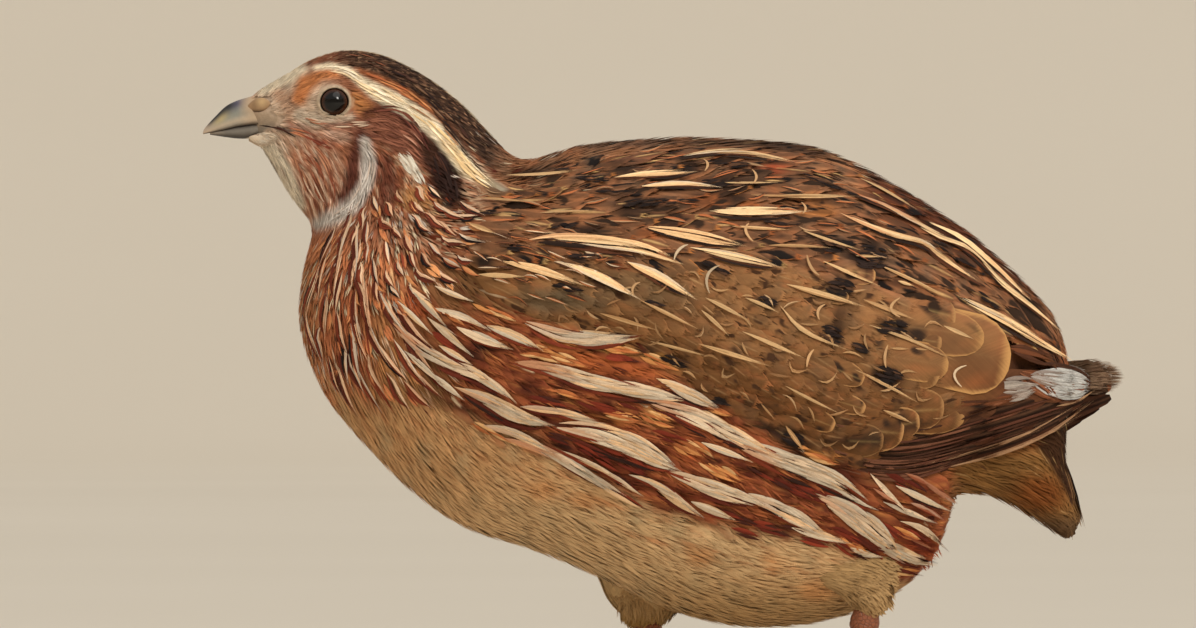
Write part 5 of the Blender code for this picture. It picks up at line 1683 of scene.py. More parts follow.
def wing_cover(col, row):
    s, t = wing_st(col, row)
    return (s > 0.05) & (s < 1.0) & (t > 0.10) & (t < 0.86) & (col > 480)


def soft_tract(coat, u, phi, length, width, strands, rows, depth, up, look_fn, turn=7.0, ground=None, camber=0.3,
               drop=None, ragged=0.22, splay=0.35, body=1.15):
    R, M, root_uv, width, look = laid(u, phi, length, width, rows, depth, up, look_fn, turn, drop)
    return tufts(coat, R, M, width, strands, rows, look, root_uv, camber=camber, ground=ground, ragged=ragged, splay=splay,
                 body=body)


def laid(u, phi, length, width, rows, depth, up, look_fn, turn, drop):
    """Shafts laid along the body from scattered roots."""
    p, n = body_frame(u, phi)
    col, row = to_px(p)
    d = turned(lie(col, row, n, 0), n, np.radians(turn) * rng.normal(0, 1, len(u)))
    length = length * rng.uniform(0.86, 1.16, len(u))
    R, M = march(p, n, d, length, rows, rng.normal(0, 0.10, len(u)))
    depth, up = np.broadcast_to(depth, len(u)), np.broadcast_to(up, len(u))
    if drop is not None:
        keep = ~drop(R)
        R, M, u, phi, width, depth, up = (x[keep] for x in (R, M, u, phi, width, depth, up))
    t = np.asarray(rows, float)[None, :]
    h = -depth[:, None] * (1 - t) ** 1.4 + up[:, None] * t**2
    R = R + M * h[..., None]
    return R, M, root_map(u, phi), width * rng.uniform(0.88, 1.12, len(u)), look_fn(R)


def head_coat():
    spacing_of = lambda u, p, x: np.interp(u, [0, 1, 3, 5, 7, 9], [0.47, 0.47, 0.52, 0.59, 0.68, 0.83]) * MM

    def keep(u, p, x):
        col, row = to_px(x)
        eye = np.hypot(col - EYE_AT[0], row - EYE_AT[1]) < 16.3
        cover = (col < 268) & (row > 97) & (row < 116) & (np.abs(x[:, 1]) > 1.5 * MM)
        horn = (row > 112) & (row < 138) & (col < 282 - 1.45 * np.abs(row - 121))
        return (u < 8.8) & ~eye & ~cover & ~horn

    u, phi = scatter(None, spacing_of, 0, 11, keep)
    x = body_xyz(u, phi)
    col, row = to_px(x)
    sp = spacing_of(u, phi, x)
    length = sp * np.interp(u, [0, 2, 5, 8.6], [3.9, 4.4, 5.3, 5.2])
    throat = (row > 150) & (col < 360)
    length = np.where(throat, length * 1.35, length)
    width = sp * np.where(throat, 0.60, 0.72)
    rows = [0, 0.4, 0.75, 1.0]
    depth = np.interp(u, [0, 3, 8.6], [0.26, 0.34, 0.6]) * MM
    up = rng.uniform(0.0, 0.14, len(u)) * MM + np.where(throat, 0.12 * MM, 0)

    def drop(R):
        c, r = to_px(R[:, -1])
        c2, r2 = to_px(R[:, 1])
        return (np.hypot(c - EYE_AT[0], r - EYE_AT[1]) < 14.6) | (np.hypot(c2 - EYE_AT[0], r2 - EYE_AT[1]) < 15.0)

    def look(R):
        n = len(R)
        c, r, y = at_px(R, 2)
        base = paint(c, r, y)
        L = look_of(n, base, par1=(0.3, 0.0, 1.3, 0.0), par2=(0.0, 0.0, 1.0, 0.0))
        L["tone"] = rng.normal(1.0, 0.15, (n, 1))
        edge = np.interp(c, [262, 300, 330, 360, 390, 420, 460, 500], [68, 62, 62, 69, 80, 98, 133, 180])
        crown = (r < edge - 3) & (c > 285)
        L["par2"][:, 0] = np.where(crown & (rng.random(n) < 0.6), rng.uniform(0.15, 0.35, n), 0)
        L["c_edge"] = pick(n, (srgb(150, 112, 86), 2), (srgb(120, 84, 64), 2), (srgb(176, 140, 108), 1))
        return L

    coat = Coat()
    soft_tract(coat, u, phi, length, width, 4, rows, depth, up, look, turn=8, ground=vertex_paint(1.0), camber=0.35, drop=drop)
    for side in (-1, 1):
        for pts, w, reach, half, colours, lift, cover in (
                # gape line running back from the bill, and dark barbs round it
                (((256, 125.5), (268, 126.5), (282, 130), (298, 138)), 1.8, 16, 0.8, ((srgb(52, 34, 30), 3), (srgb(84, 50, 40), 1)), 0.02, 2.0),
                (((286, 130), (302, 134), (320, 142), (336, 148)), 9, 14, 0.9, ((srgb(140, 70, 52), 3), (srgb(112, 54, 42), 2), (srgb(186, 122, 88), 2)), 0.02, 0.7),
                (((300, 118), (322, 124), (350, 125), (372, 124)), 7, 15, 0.8, ((srgb(214, 186, 160), 3), (srgb(176, 112, 84), 2)), 0.02, 0.6),
                (((300, 148), (312, 164), (322, 186), (330, 204)), 34, 20, 0.9, ((srgb(224, 192, 166), 3), (srgb(140, 78, 56), 3), (srgb(190, 134, 102), 2)), 0.03, 0.5),
                # brow
                (((318, 68), (346, 71), (366, 84), (404, 106), (424, 120)), 11, 24, 0.9, ((srgb(250, 234, 206), 3), (srgb(238, 212, 172), 2)), 0.03, 0.8),
                (((404, 104), (432, 124), (452, 146), (472, 170), (496, 190)), 13, 26, 1.0, ((srgb(246, 226, 190), 3), (srgb(234, 200, 148), 3), (srgb(156, 108, 74), 0.5)), 0.03, 0.9),
                (((362, 72), (384, 82), (408, 94), (432, 112)), 7, 18, 0.9, ((srgb(176, 100, 62), 3), (srgb(206, 136, 86), 2), (srgb(104, 60, 44), 1)), 0.04, 1.2),
                (((430, 108), (450, 130), (470, 156), (492, 180)), 6, 20, 0.9, ((srgb(60, 40, 32), 3), (srgb(110, 74, 54), 2)), 0.04, 0.9),
                # ear coverts
                (((364, 114), (384, 110), (402, 114), (420, 134), (432, 154)), 9, 18, 0.9, ((srgb(84, 46, 38), 3), (srgb(116, 66, 52), 2)), 0.03, 0.9),
                (((360, 130), (386, 130), (410, 142), (426, 160)), 26, 16, 0.9, ((srgb(150, 96, 74), 3), (srgb(110, 66, 52), 2), (srgb(184, 136, 112), 1)), 0.02, 0.5),
                (((436, 150), (448, 172), (456, 200)), 20, 20, 1.1, ((srgb(48, 32, 28), 3), (srgb(84, 52, 40), 2)), 0.03, 0.7),
                # white collar
                (((368, 146), (371, 164), (366, 186), (352, 208), (322, 228)), 12, 20, 0.9, ((srgb(214, 204, 194), 3), (srgb(184, 166, 152), 2)), 0.03, 0.7),
                (((262, 146), (276, 164), (288, 188), (300, 208)), 8, 16, 0.8, ((srgb(226, 212, 190), 3), (srgb(160, 136, 118), 1.5)), 0.03, 0.8),
                # crown
                (((310, 56), (340, 52), (370, 60), (400, 76)), 8, 14, 1.2, ((srgb(150, 92, 66), 2), (srgb(86, 56, 42), 2), (srgb(176, 130, 98), 1)), 0.03, 0.6),
                (((380, 68), (414, 86), (444, 114), (474, 148)), 12, 15, 1.3, ((srgb(44, 30, 26), 3), (srgb(122, 90, 68), 1.5), (srgb(74, 48, 38), 2)), 0.03, 0.7)):
            barbs(coat, [(pts, w)], side, reach, half, colours, lift, 0.18, cover, profile=(0.3, 0.3), spread=0.08, shift=1.5, clear=1.6)
        n = 130
        k = rng.uniform(0, 1, n)
        c0 = 248 + 13 * k
        r0 = 137.6 - 4.2 * k + rng.uniform(-0.2, 2.2, n)
        gape, keel = (np.interp(c0, [g[0] for g in t], [g[1] for g in t]) for t in (GAPE, GONYS))
        drop_to = np.clip((r0 - gape) / (keel - gape), 0, 0.98) ** (1 / 0.72)
        half = (0.16 + 0.84 * np.clip((c0 - 203) / 49, 0, 1) ** 0.66) * 3.15 * 0.9 * MM
        y0 = half * np.sqrt(1 - drop_to ** 2)
        c1, r1 = c0 + rng.uniform(13, 20, n), r0 + rng.uniform(2.5, 8, n)
        y1 = np.maximum(half_width(c1, r1) + 0.10 * MM, y0)
        t = np.asarray(rows)[None]
        R = np.stack([(c0[:, None] * (1 - t) + c1[:, None] * t - GRID_MIDDLE) * GRID,
                      side * (y0[:, None] + (y1 - y0)[:, None] * t ** 0.7 + 0.14 * MM * np.sin(math.pi * np.clip(t, 0.0, 0.9))),
                      (GRID_FLOOR - (r0[:, None] * (1 - t) + r1[:, None] * t)) * GRID], -1)
        Nn = np.broadcast_to(unit(np.array([-0.35, side, -0.25])), R.shape)
        base = pick(n, (srgb(222, 204, 182), 3), (srgb(196, 172, 148), 2), (srgb(232, 218, 200), 2)) * rng.uniform(0.92, 1.06, (n, 1))
        L = look_of(n, base, CREAM, PALE, BROWN, (0.10, 0.1, 1.0, 0.0), (0.0, 0.0, 2.0, 0.0))
        tufts(coat, R, Nn, rng.uniform(0.34, 0.5, n) * MM, 4, rows, L, root_map(np.full(n, 0.6), np.full(n, side * 2.3)),
              camber=0.2, ragged=0.15, splay=0.2, body=1.3)
    finish_coat(coat, "coat_head", "head_plumage")


def neck_coat():
    spacing_of = lambda u, p, x: np.interp(u, [8, 9, 10, 11.5, 13], [0.74, 0.80, 0.92, 1.12, 1.4]) * MM

    def keep(u, p, x):
        return (u > 8.1) & (u < 12.2)

    u, phi = scatter(None, spacing_of, 0, 12, keep)
    x = body_xyz(u, phi)
    sp = spacing_of(u, phi, x)
    length = sp * 5.8
    width = sp * 0.82
    rows = [0, 0.3, 0.6, 0.85, 1.0]
    depth = np.interp(u, [8, 12], [0.6, 1.2]) * MM
    up = rng.uniform(0.0, 0.25, len(u)) * MM

    def look(R):
        n = len(R)
        c, r, y = at_px(R, 3)
        base = paint(c, r, y)
        L = look_of(n, base, CREAM, par1=(0.24, 0.30, 1.02, 0.0), par2=(0.0, 0.0, 1.6, 0.0))
        zone = step(196, 214, r) * step(520, 470, c)
        has = rng.random(n) < 0.34 * zone + 0.04
        L["par1"][:, 3] = np.where(has, rng.uniform(0.6, 1.0, n), 0)
        L["par1"][:, 0] = rng.uniform(0.34, 0.60, n)
        L["par2"][:, 3] = np.where(has, rng.uniform(0.4, 1.0, n), 0)
        L["c_streak"] = pick(n, (CREAM, 2), (srgb(226, 178, 128), 1), (srgb(210, 196, 180), 1))
        L["c_dark"] = pick(n, (MAROON, 2), (DARK, 1.5), (CHESTNUT, 2))
        L["par2"][:, 1] = np.where(rng.random(n) < 0.25, rng.uniform(0.3, 0.7, n), 0)
        L["tone"] = rng.normal(1.0, 0.10, (n, 1))
        return L

    coat = Coat()
    soft_tract(coat, u, phi, length, width, 4, rows, depth, up, look, turn=9, ground=vertex_paint(0.8), camber=0.4, body=1.3)
    finish_coat(coat, "coat_neck", "body_plumage")


def trunk_look(R, idx):
    """Markings of the body feathers by where they lie."""
    n = len(R)
    c, r, y = at_px(R, idx)
    jc, jr = c + rng.normal(0, 3, n), r + rng.normal(0, 3, n)
    base = paint(jc, jr, y) * rng.uniform(0.9, 1.1, (n, 1))
    L = look_of(n, base, CREAM, PALE, DARK, (0.14, 0.1, 0.98, 0.0), (0.0, 0.0, 2.0, 0.0))
    line = np.interp(c, *BELLY_LINE)
    belly = (r > line - 4) & (c < 1000)
    breast = (c < 455) & ~belly
    top = (r < 300) & (c > 470)
    under = (c > 945) & (r > 430)
    rump = (c > 840) & (r < 430)
    flank = ~(belly | breast | top | under | rump)
    p1, p2 = L["par1"], L["par2"]
    # breast: thin pale shafts
    has = breast & (rng.random(n) < 0.36 * step(405, 380, r) + 0.10)
    m = has.sum()
    p1[has] = np.stack([rng.uniform(0.24, 0.42, m), rng.uniform(0.15, 0.35, m), rng.uniform(0.95, 1.05, m), rng.uniform(0.7, 1.0, m)], -1)
    L["c_streak"][breast] = pick(breast.sum(), (srgb(232, 200, 168), 1), (srgb(214, 170, 134), 1))
    L["c_dark"][breast] = CHESTNUT * 0.7
    p2[has, 3] = rng.uniform(0.3, 0.8, m)
    # belly: soft, nearly plain
    p1[belly, 3] = np.where(rng.random(belly.sum()) < 0.2, 0.3, 0)
    L["c_streak"][belly] = np.clip(base[belly] * 1.3, 0, 1)
    # flank filler
    p2[flank, 1] = rng.uniform(0.0, 0.5, flank.sum())
    L["c_dark"][flank] = pick(flank.sum(), (MAROON, 2), (BLACK, 1), (CHESTNUT, 1))
    # mantle and back
    back = top | rump
    has = back & (rng.random(n) < 0.16)
    m = has.sum()
    p1[has] = np.stack([rng.uniform(0.14, 0.22, m), np.full(m, 0.3), rng.uniform(0.9, 1.02, m), rng.uniform(0.6, 1.0, m)], -1)
    L["c_streak"][back] = pick(back.sum(), (YELLOW, 1), (CREAM, 1), (BUFF, 2))
    p2[back, 1] = rng.uniform(0.1, 0.75, back.sum())
    p2[back, 2] = rng.uniform(2.0, 3.6, back.sum())
    L["c_dark"][back] = pick(back.sum(), (BLACK, 1), (DARK, 3))
    # undertail
    p1[under, 3] = np.where(rng.random(under.sum()) < 0.2, 0.5, 0)
    L["c_streak"][under] = srgb(196, 156, 104)
    L["c_dark"][under] = srgb(96, 62, 38)
    p2[under, 1] = rng.uniform(0, 0.25, under.sum())
    L["tone"] = np.where(belly, 0.05, 0.10)[:, None] * rng.normal(0, 1, (n, 1)) + 1.0
    return L


def marks_coat():
    """Pale shaft streaks of the neck and breast, each with dark barbs beside it."""
    coat = Coat()
    areas = (
        # outline, spacing, length range, width range
        ([(384, 196), (430, 190), (478, 205), (480, 262), (440, 290), (400, 300), (372, 290), (352, 262), (356, 222)], 13.5, (15, 28), (2.2, 3.6)),
        ([(296, 262), (352, 228), (376, 292), (402, 302), (425, 350), (428, 392), (404, 404), (350, 392), (312, 352), (288, 306), (284, 270)],
         16.0, (34, 66), (2.4, 4.4)),
    )
    for side in (-1, 1):
        for q, (poly, gap, reach, wide) in enumerate(areas):
            spots = scatter_px(poly, gap, 90 + 7 * q + side)
            n = len(spots)
            length = rng.uniform(reach[0], reach[1], n)
            start = spots - flow(spots[:, 0], spots[:, 1]) * (length * 0.5)[:, None]
            paths = flow_path(start, length, [0, 0.33, 0.66, 1.0], rng.normal(0, 0.10, n))
            bow = np.array([0, 1, -0.4, -1])[None, :] * rng.normal(0, 1.4 if q == 0 else 1.8, n)[:, None]
            way = unit(paths[:, -1] - paths[:, 0])
            paths = paths + np.stack([-way[:, 1], way[:, 0]], -1)[:, None] * bow[..., None]
            inside = half_width(paths[..., 0], paths[..., 1]).min(1) > 6.0 * MM
            table = [(p, w) for p, w, ok in zip(paths, rng.uniform(wide[0], wide[1], n), inside) if ok]
            barbs(coat, table, side, 44, 1.8, ((srgb(92, 42, 30), 3), (srgb(126, 58, 38), 3), (BLACK, 1.4 if q == 0 else 0.3)), 0.12, 0.35, 1.0,
                  offset=1.2, grow=1.5, clear=5.0)
            barbs(coat, table, side, 44, 1.15, ((srgb(230, 194, 160), 3), (srgb(220, 172, 136), 3), (srgb(208, 188, 168), 1.5)), 0.22, 0.35, 1.8,
                  tint=srgb(190, 116, 80), clear=4.0)
            # soft orange and rufous barbs between the streaks
            glow = scatter_px(poly, 18.0, 190 + 7 * q + side)
            spans = flow_path(glow - flow(glow[:, 0], glow[:, 1]) * 9, np.full(len(glow), 20.0), [0, 0.5, 1.0], rng.normal(0, 0.15, len(glow)))
            inside = half_width(spans[..., 0], spans[..., 1]).min(1) > 6.0 * MM
            barbs(coat, [(p, w) for p, w, ok in zip(spans, rng.uniform(7, 14, len(glow)), inside) if ok], side, 17, 1.7,
                  ((srgb(216, 148, 96), 3), (srgb(204, 126, 82), 3), (srgb(132, 62, 42), 1.2)), 0.06, 0.4, 1.1, spread=0.05,
                  profile=(0.4, 0.4), clear=4.0)
        # the white patch behind the ear
        barbs(coat, [(((400, 152), (408, 162), (414, 174)), 13), (((408, 160), (417, 172), (425, 186)), 11)], side, 14, 1.15,
              ((srgb(226, 216, 198), 4), (srgb(200, 182, 160), 1.5)), 0.03, 0.2, 2.2, profile=(0.3, 0.35), spread=0.05)
    finish_coat(coat, "coat_marks", "body_plumage")


def trunk_coats():
    def spacing_of(u, p, x):
        col, row = to_px(x)
        s = np.interp(u, [11, 12.5, 15, 20, 25, 28, 30], [1.25, 1.50, 1.65, 1.65, 1.5, 1.3, 1.2])
        belly = step(-10, 20, row - np.interp(col, *BELLY_LINE))
        return s * (1 - 0.10 * belly) * (1 - 0.22 * step(470, 420, col) * (1 - belly)) * MM

    def keep(u, p, x):
        col, row = to_px(x)
        hidden = wing_cover(col, row) & (np.abs(x[:, 1]) > 6 * MM)
        return (u > 11.8) & ~hidden

    u, phi = scatter(None, spacing_of, 0, 13, keep)
    x = body_xyz(u, phi)
    col, row = to_px(x)
    sp = spacing_of(u, phi, x)
    belly = (row > np.interp(col, *BELLY_LINE) - 4) & (col < 1000)
    breast = (col < 455) & ~belly
    back = ~belly & ~breast & (row < 330)
    rest = ~(belly | breast | back)
    rows = [0, 0.25, 0.5, 0.75, 1.0]
    for name, mask, lf, wf, up_range, strands, ragged, splay in (
            ("coat_breast", breast, 7.6, 0.78, (0.0, 0.24), 6, 0.20, 0.22),
            ("coat_belly", belly, 5.8, 0.90, (0.0, 0.12), 7, 0.30, 0.30),
            ("coat_back", back, 5.6, 0.80, (0.0, 0.20), 6, 0.24, 0.30),
            ("coat_side", rest, 5.4, 0.80, (0.0, 0.25), 6, 0.24, 0.30)):
        coat = Coat()
        uu, pp, ss = u[mask], phi[mask], sp[mask]
        n = len(uu)
        length = ss * lf
        length = np.where(uu > 26.5, length * 0.85, length)
        depth = np.interp(uu, [11, 14, 24, 28, 30], [1.0, 1.4, 1.4, 1.0, 0.6]) * MM
        soft_tract(coat, uu, pp, length, ss * wf, strands, rows, depth, rng.uniform(*up_range, n) * MM,
                   lambda R: trunk_look(R, 3), turn=7, ground=vertex_paint(0.8), camber=0.35 if name != "coat_belly" else 0.12,
                   ragged=ragged, splay=splay, body=2.2 if name == "coat_belly" else 1.25)
        finish_coat(coat, name, "body_plumage")


FLANK = (
    # long pale bands: points and full width
    (((436, 286), (470, 300)), 6), (((432, 308), (458, 316), (488, 329)), 8), (((456, 326), (480, 336), (508, 347)), 9),
    (((486, 325), (512, 334), (538, 347)), 9), (((520, 320), (560, 334), (600, 338), (640, 335)), 14),
    (((512, 362), (545, 367), (590, 380), (640, 390), (682, 399)), 15), (((655, 378), (690, 394), (716, 407)), 13),
    (((388, 318), (420, 346), (448, 362), (480, 375), (514, 399)), 11), (((455, 386), (490, 400), (520, 415), (550, 423)), 14),
    (((520, 406), (560, 411), (600, 421)), 9), (((548, 424), (590, 430), (632, 444), (676, 467)), 22),
    (((484, 424), (520, 434), (552, 450)), 8), (((500, 436), (550, 452), (604, 484), (650, 510)), 10),
    (((640, 398), (690, 413), (730, 433), (770, 452)), 17), (((720, 432), (780, 458), (830, 478), (872, 506)), 19),
    (((624, 472), (660, 487), (700, 513)), 11), (((660, 468), (710, 486), (764, 504)), 15), (((736, 490), (780, 508), (822, 532)), 15),
    (((690, 500), (730, 516)), 6), (((790, 526), (846, 540)), 8), (((812, 492), (850, 512), (895, 548)), 22),
    (((862, 530), (905, 555), (942, 565)), 15), (((866, 470), (902, 508)), 4), (((893, 484), (944, 508)), 6),
    (((898, 520), (922, 528), (942, 545)), 5), (((880, 500), (930, 520)), 4),
    (((410, 285), (444, 322)), 5), (((405, 350), (440, 380)), 5), (((440, 345), (470, 362)), 5), (((430, 372), (462, 396)), 5),
    (((700, 441), (745, 458)), 6), (((846, 546), (876, 554)), 8), (((884, 566), (930, 578)), 5),
    (((520, 436), (590, 462), (640, 492)), 5), (((428, 316), (470, 352)), 5), (((398, 300), (430, 330)), 4),
)

EMBERS = (
    (((512, 350), (545, 352), (588, 366)), 15), (((596, 344), (640, 352)), 11), (((636, 352), (680, 370)), 11),
    (((598, 412), (640, 420)), 16), (((640, 412), (676, 424)), 14), (((668, 436), (712, 458)), 17), (((696, 458), (740, 480)), 14),
    (((790, 446), (836, 462)), 10), (((540, 388), (580, 398)), 9), (((886, 570), (932, 574)), 9), (((470, 300), (520, 322)), 8),
    (((420, 296), (470, 330)), 9), (((600, 440), (640, 452)), 8), (((690, 400), (730, 414)), 8), (((460, 416), (520, 446)), 7),
    (((836, 534), (872, 552)), 10), (((884, 524), (920, 540)), 8),
)
PETALS = (
    # small pale, pinkish feathers at the rear of the flank
    (((896, 470), (920, 480), (946, 500)), 5), (((904, 500), (926, 508), (950, 524)), 6), (((890, 530), (918, 542), (946, 556)), 5),
    (((900, 556), (922, 562), (942, 570)), 5), (((870, 486), (896, 502)), 4), (((930, 486), (956, 504)), 4),
)
STAINS = (
    (((578, 446), (616, 456), (655, 476)), 20), (((696, 506), (726, 514), (762, 526)), 13), (((726, 528), (762, 538)), 10),
    (((748, 522), (788, 530), (830, 544)), 15), (((826, 528), (852, 544), (882, 562)), 22), (((880, 520), (912, 538), (944, 556)), 18),
    (((574, 396), (600, 404), (640, 412)), 16), (((520, 396), (550, 404), (580, 412)), 15), (((504, 338), (540, 350)), 14),
    (((700, 420), (740, 440), (790, 468)), 12), (((740, 462), (790, 484), (840, 506)), 14), (((650, 430), (700, 446)), 9),
    (((600, 470), (640, 494)), 12), (((468, 376), (520, 402)), 10), (((640, 476), (680, 494)), 10), (((580, 352), (640, 362)), 9),
    (((430, 330), (470, 356)), 11), (((880, 470), (930, 498)), 12), (((900, 490), (945, 520)), 9), (((720, 486), (770, 506)), 9),
    (((530, 428), (580, 446), (620, 470)), 9), (((410, 360), (450, 390)), 8), (((480, 408), (530, 434)), 8),
)
INK = (
    # black hearts of coverts and scapulars: path and width
    (((818, 244), (844, 252)), 17), (((852, 256), (886, 262)), 24), (((824, 284), (852, 292)), 18), (((756, 299), (776, 305)), 8),
    (((874, 324), (908, 332)), 16), (((816, 330), (842, 340)), 17), (((870, 372), (902, 384)), 20), (((708, 398), (730, 404)), 8),
    (((778, 434), (804, 440)), 14), (((658, 356), (692, 364)), 10), (((690, 164), (750, 168)), 8), (((700, 185), (750, 188)), 9),
    (((620, 206), (700, 204)), 9), (((560, 256), (610, 258)), 6), (((552, 286), (590, 292)), 7), (((640, 300), (668, 306)), 5),
    (((800, 176), (860, 200)), 6), (((930, 240), (975, 270)), 7), (((880, 226), (912, 238)), 6), (((970, 290), (1000, 312)), 6),
    (((574, 180), (616, 184)), 7), (((590, 192), (650, 198)), 6), (((480, 214), (510, 216)), 6), (((500, 246), (530, 252)), 8),
    (((760, 222), (800, 226)), 6), (((700, 262), (730, 276)), 6), (((540, 230), (580, 226)), 6), (((846, 344), (866, 352)), 8),
)
SCAPULARS = (
    (((528, 242), (560, 240), (600, 243), (640, 250), (678, 264)), 12), (((643, 229), (690, 237), (736, 247)), 11),
    (((695, 212), (750, 213), (802, 214)), 10), (((688, 249), (730, 257), (773, 268)), 8), (((500, 261), (540, 270), (582, 285)), 8),
    (((565, 264), (600, 278), (632, 295)), 8), (((627, 263), (655, 275), (689, 296)), 8), (((612, 180), (650, 176), (696, 175)), 7),
    (((640, 189), (675, 187), (712, 190)), 7), (((668, 162), (705, 156), (745, 156), (796, 167)), 6),
    (((748, 197), (846, 199)), 4.5), (((765, 247), (823, 250)), 4), (((784, 285), (852, 305)), 5), (((743, 298), (772, 311)), 5),
    (((480, 200), (525, 205)), 3), (((470, 225), (495, 235)), 4), (((480, 275), (520, 277)), 4),
    (((500, 178), (560, 176), (600, 168)), 3.5), (((540, 215), (590, 214)), 3), (((800, 232), (850, 250)), 3),
    (((720, 185), (770, 186)), 3), (((730, 228), (780, 232)), 3), (((853, 257), (874, 259)), 3),
    # thin shafts of the coverts
    (((860, 323), (905, 338), (942, 356)), 5), (((778, 306), (800, 330), (844, 350)), 4.5), (((852, 369), (906, 397)), 4.5),
    (((740, 331), (794, 354)), 3.5), (((696, 342), (764, 364)), 3.5), (((704, 298), (740, 317)), 4), (((700, 310), (724, 332)), 3.5),
    (((783, 384), (830, 408)), 3), (((784, 424), (800, 446)), 4), (((640, 300), (690, 325)), 3), (((600, 312), (650, 326)), 3),
    (((880, 409), (905, 420)), 3), (((895, 282), (908, 287)), 3), (((650, 340), (700, 352)), 3), (((940, 326), (966, 338)), 3.5),
    # long lines of the rump
    (((858, 180), (882, 192), (910, 210)), 5), (((838, 192), (880, 207), (935, 237), (965, 250), (1000, 285), (1020, 300), (1054, 328)), 5.5),
    (((832, 212), (885, 235), (920, 245), (940, 260), (992, 294)), 6), (((922, 222), (960, 240), (990, 265), (1026, 299)), 5.5),
    (((930, 285), (975, 307), (1000, 320), (1025, 335), (1066, 360)), 8), (((876, 266), (934, 294)), 4),
    (((860, 300), (905, 318)), 3), (((820, 262), (870, 285)), 3),
)


ARCS = (
    # feathers with a pale rim round the tip: tip column, row, half-width, degrees below level, rim share
    (952, 318, 25, 16, 0.07), (938, 343, 13, 10, 0.12), (935, 378, 20, 30, 0.08), (832, 425, 12, 20, 0.10), (862, 408, 10, 16, 0.12),
    (900, 432, 22, 4, 0.07), (940, 408, 22, -4, 0.07), (916, 420, 18, -12, 0.08), (872, 277, 13, 14, 0.06), (845, 300, 10, 22, 0.06),
    (880, 440, 18, 0, 0.06), (860, 380, 12, 24, 0.06),
)
CURLS = (
    # pale barbs that curl up at feather tips: three points and half-width
    ((747, 226), (744, 234), (751, 244), 2.2), ((687, 247), (678, 252), (673, 262), 2.2), ((718, 267), (706, 277), (708, 294), 2.2),
    ((804, 257), (808, 269), (816, 277), 2.4), ((822, 305), (815, 311), (816, 320), 2.2), ((896, 299), (887, 309), (896, 318), 2.4),
    ((884, 345), (881, 356), (882, 367), 2.4), ((811, 349), (806, 356), (804, 366), 2.2), ((962, 365), (950, 373), (957, 386), 2.2),
    ((703, 163), (707, 168), (704, 175), 2.0), ((751, 173), (755, 180), (752, 187), 2.0), ((799, 205), (803, 211), (800, 217), 1.9),
    ((640, 283), (633, 288), (634, 296), 1.9),
)
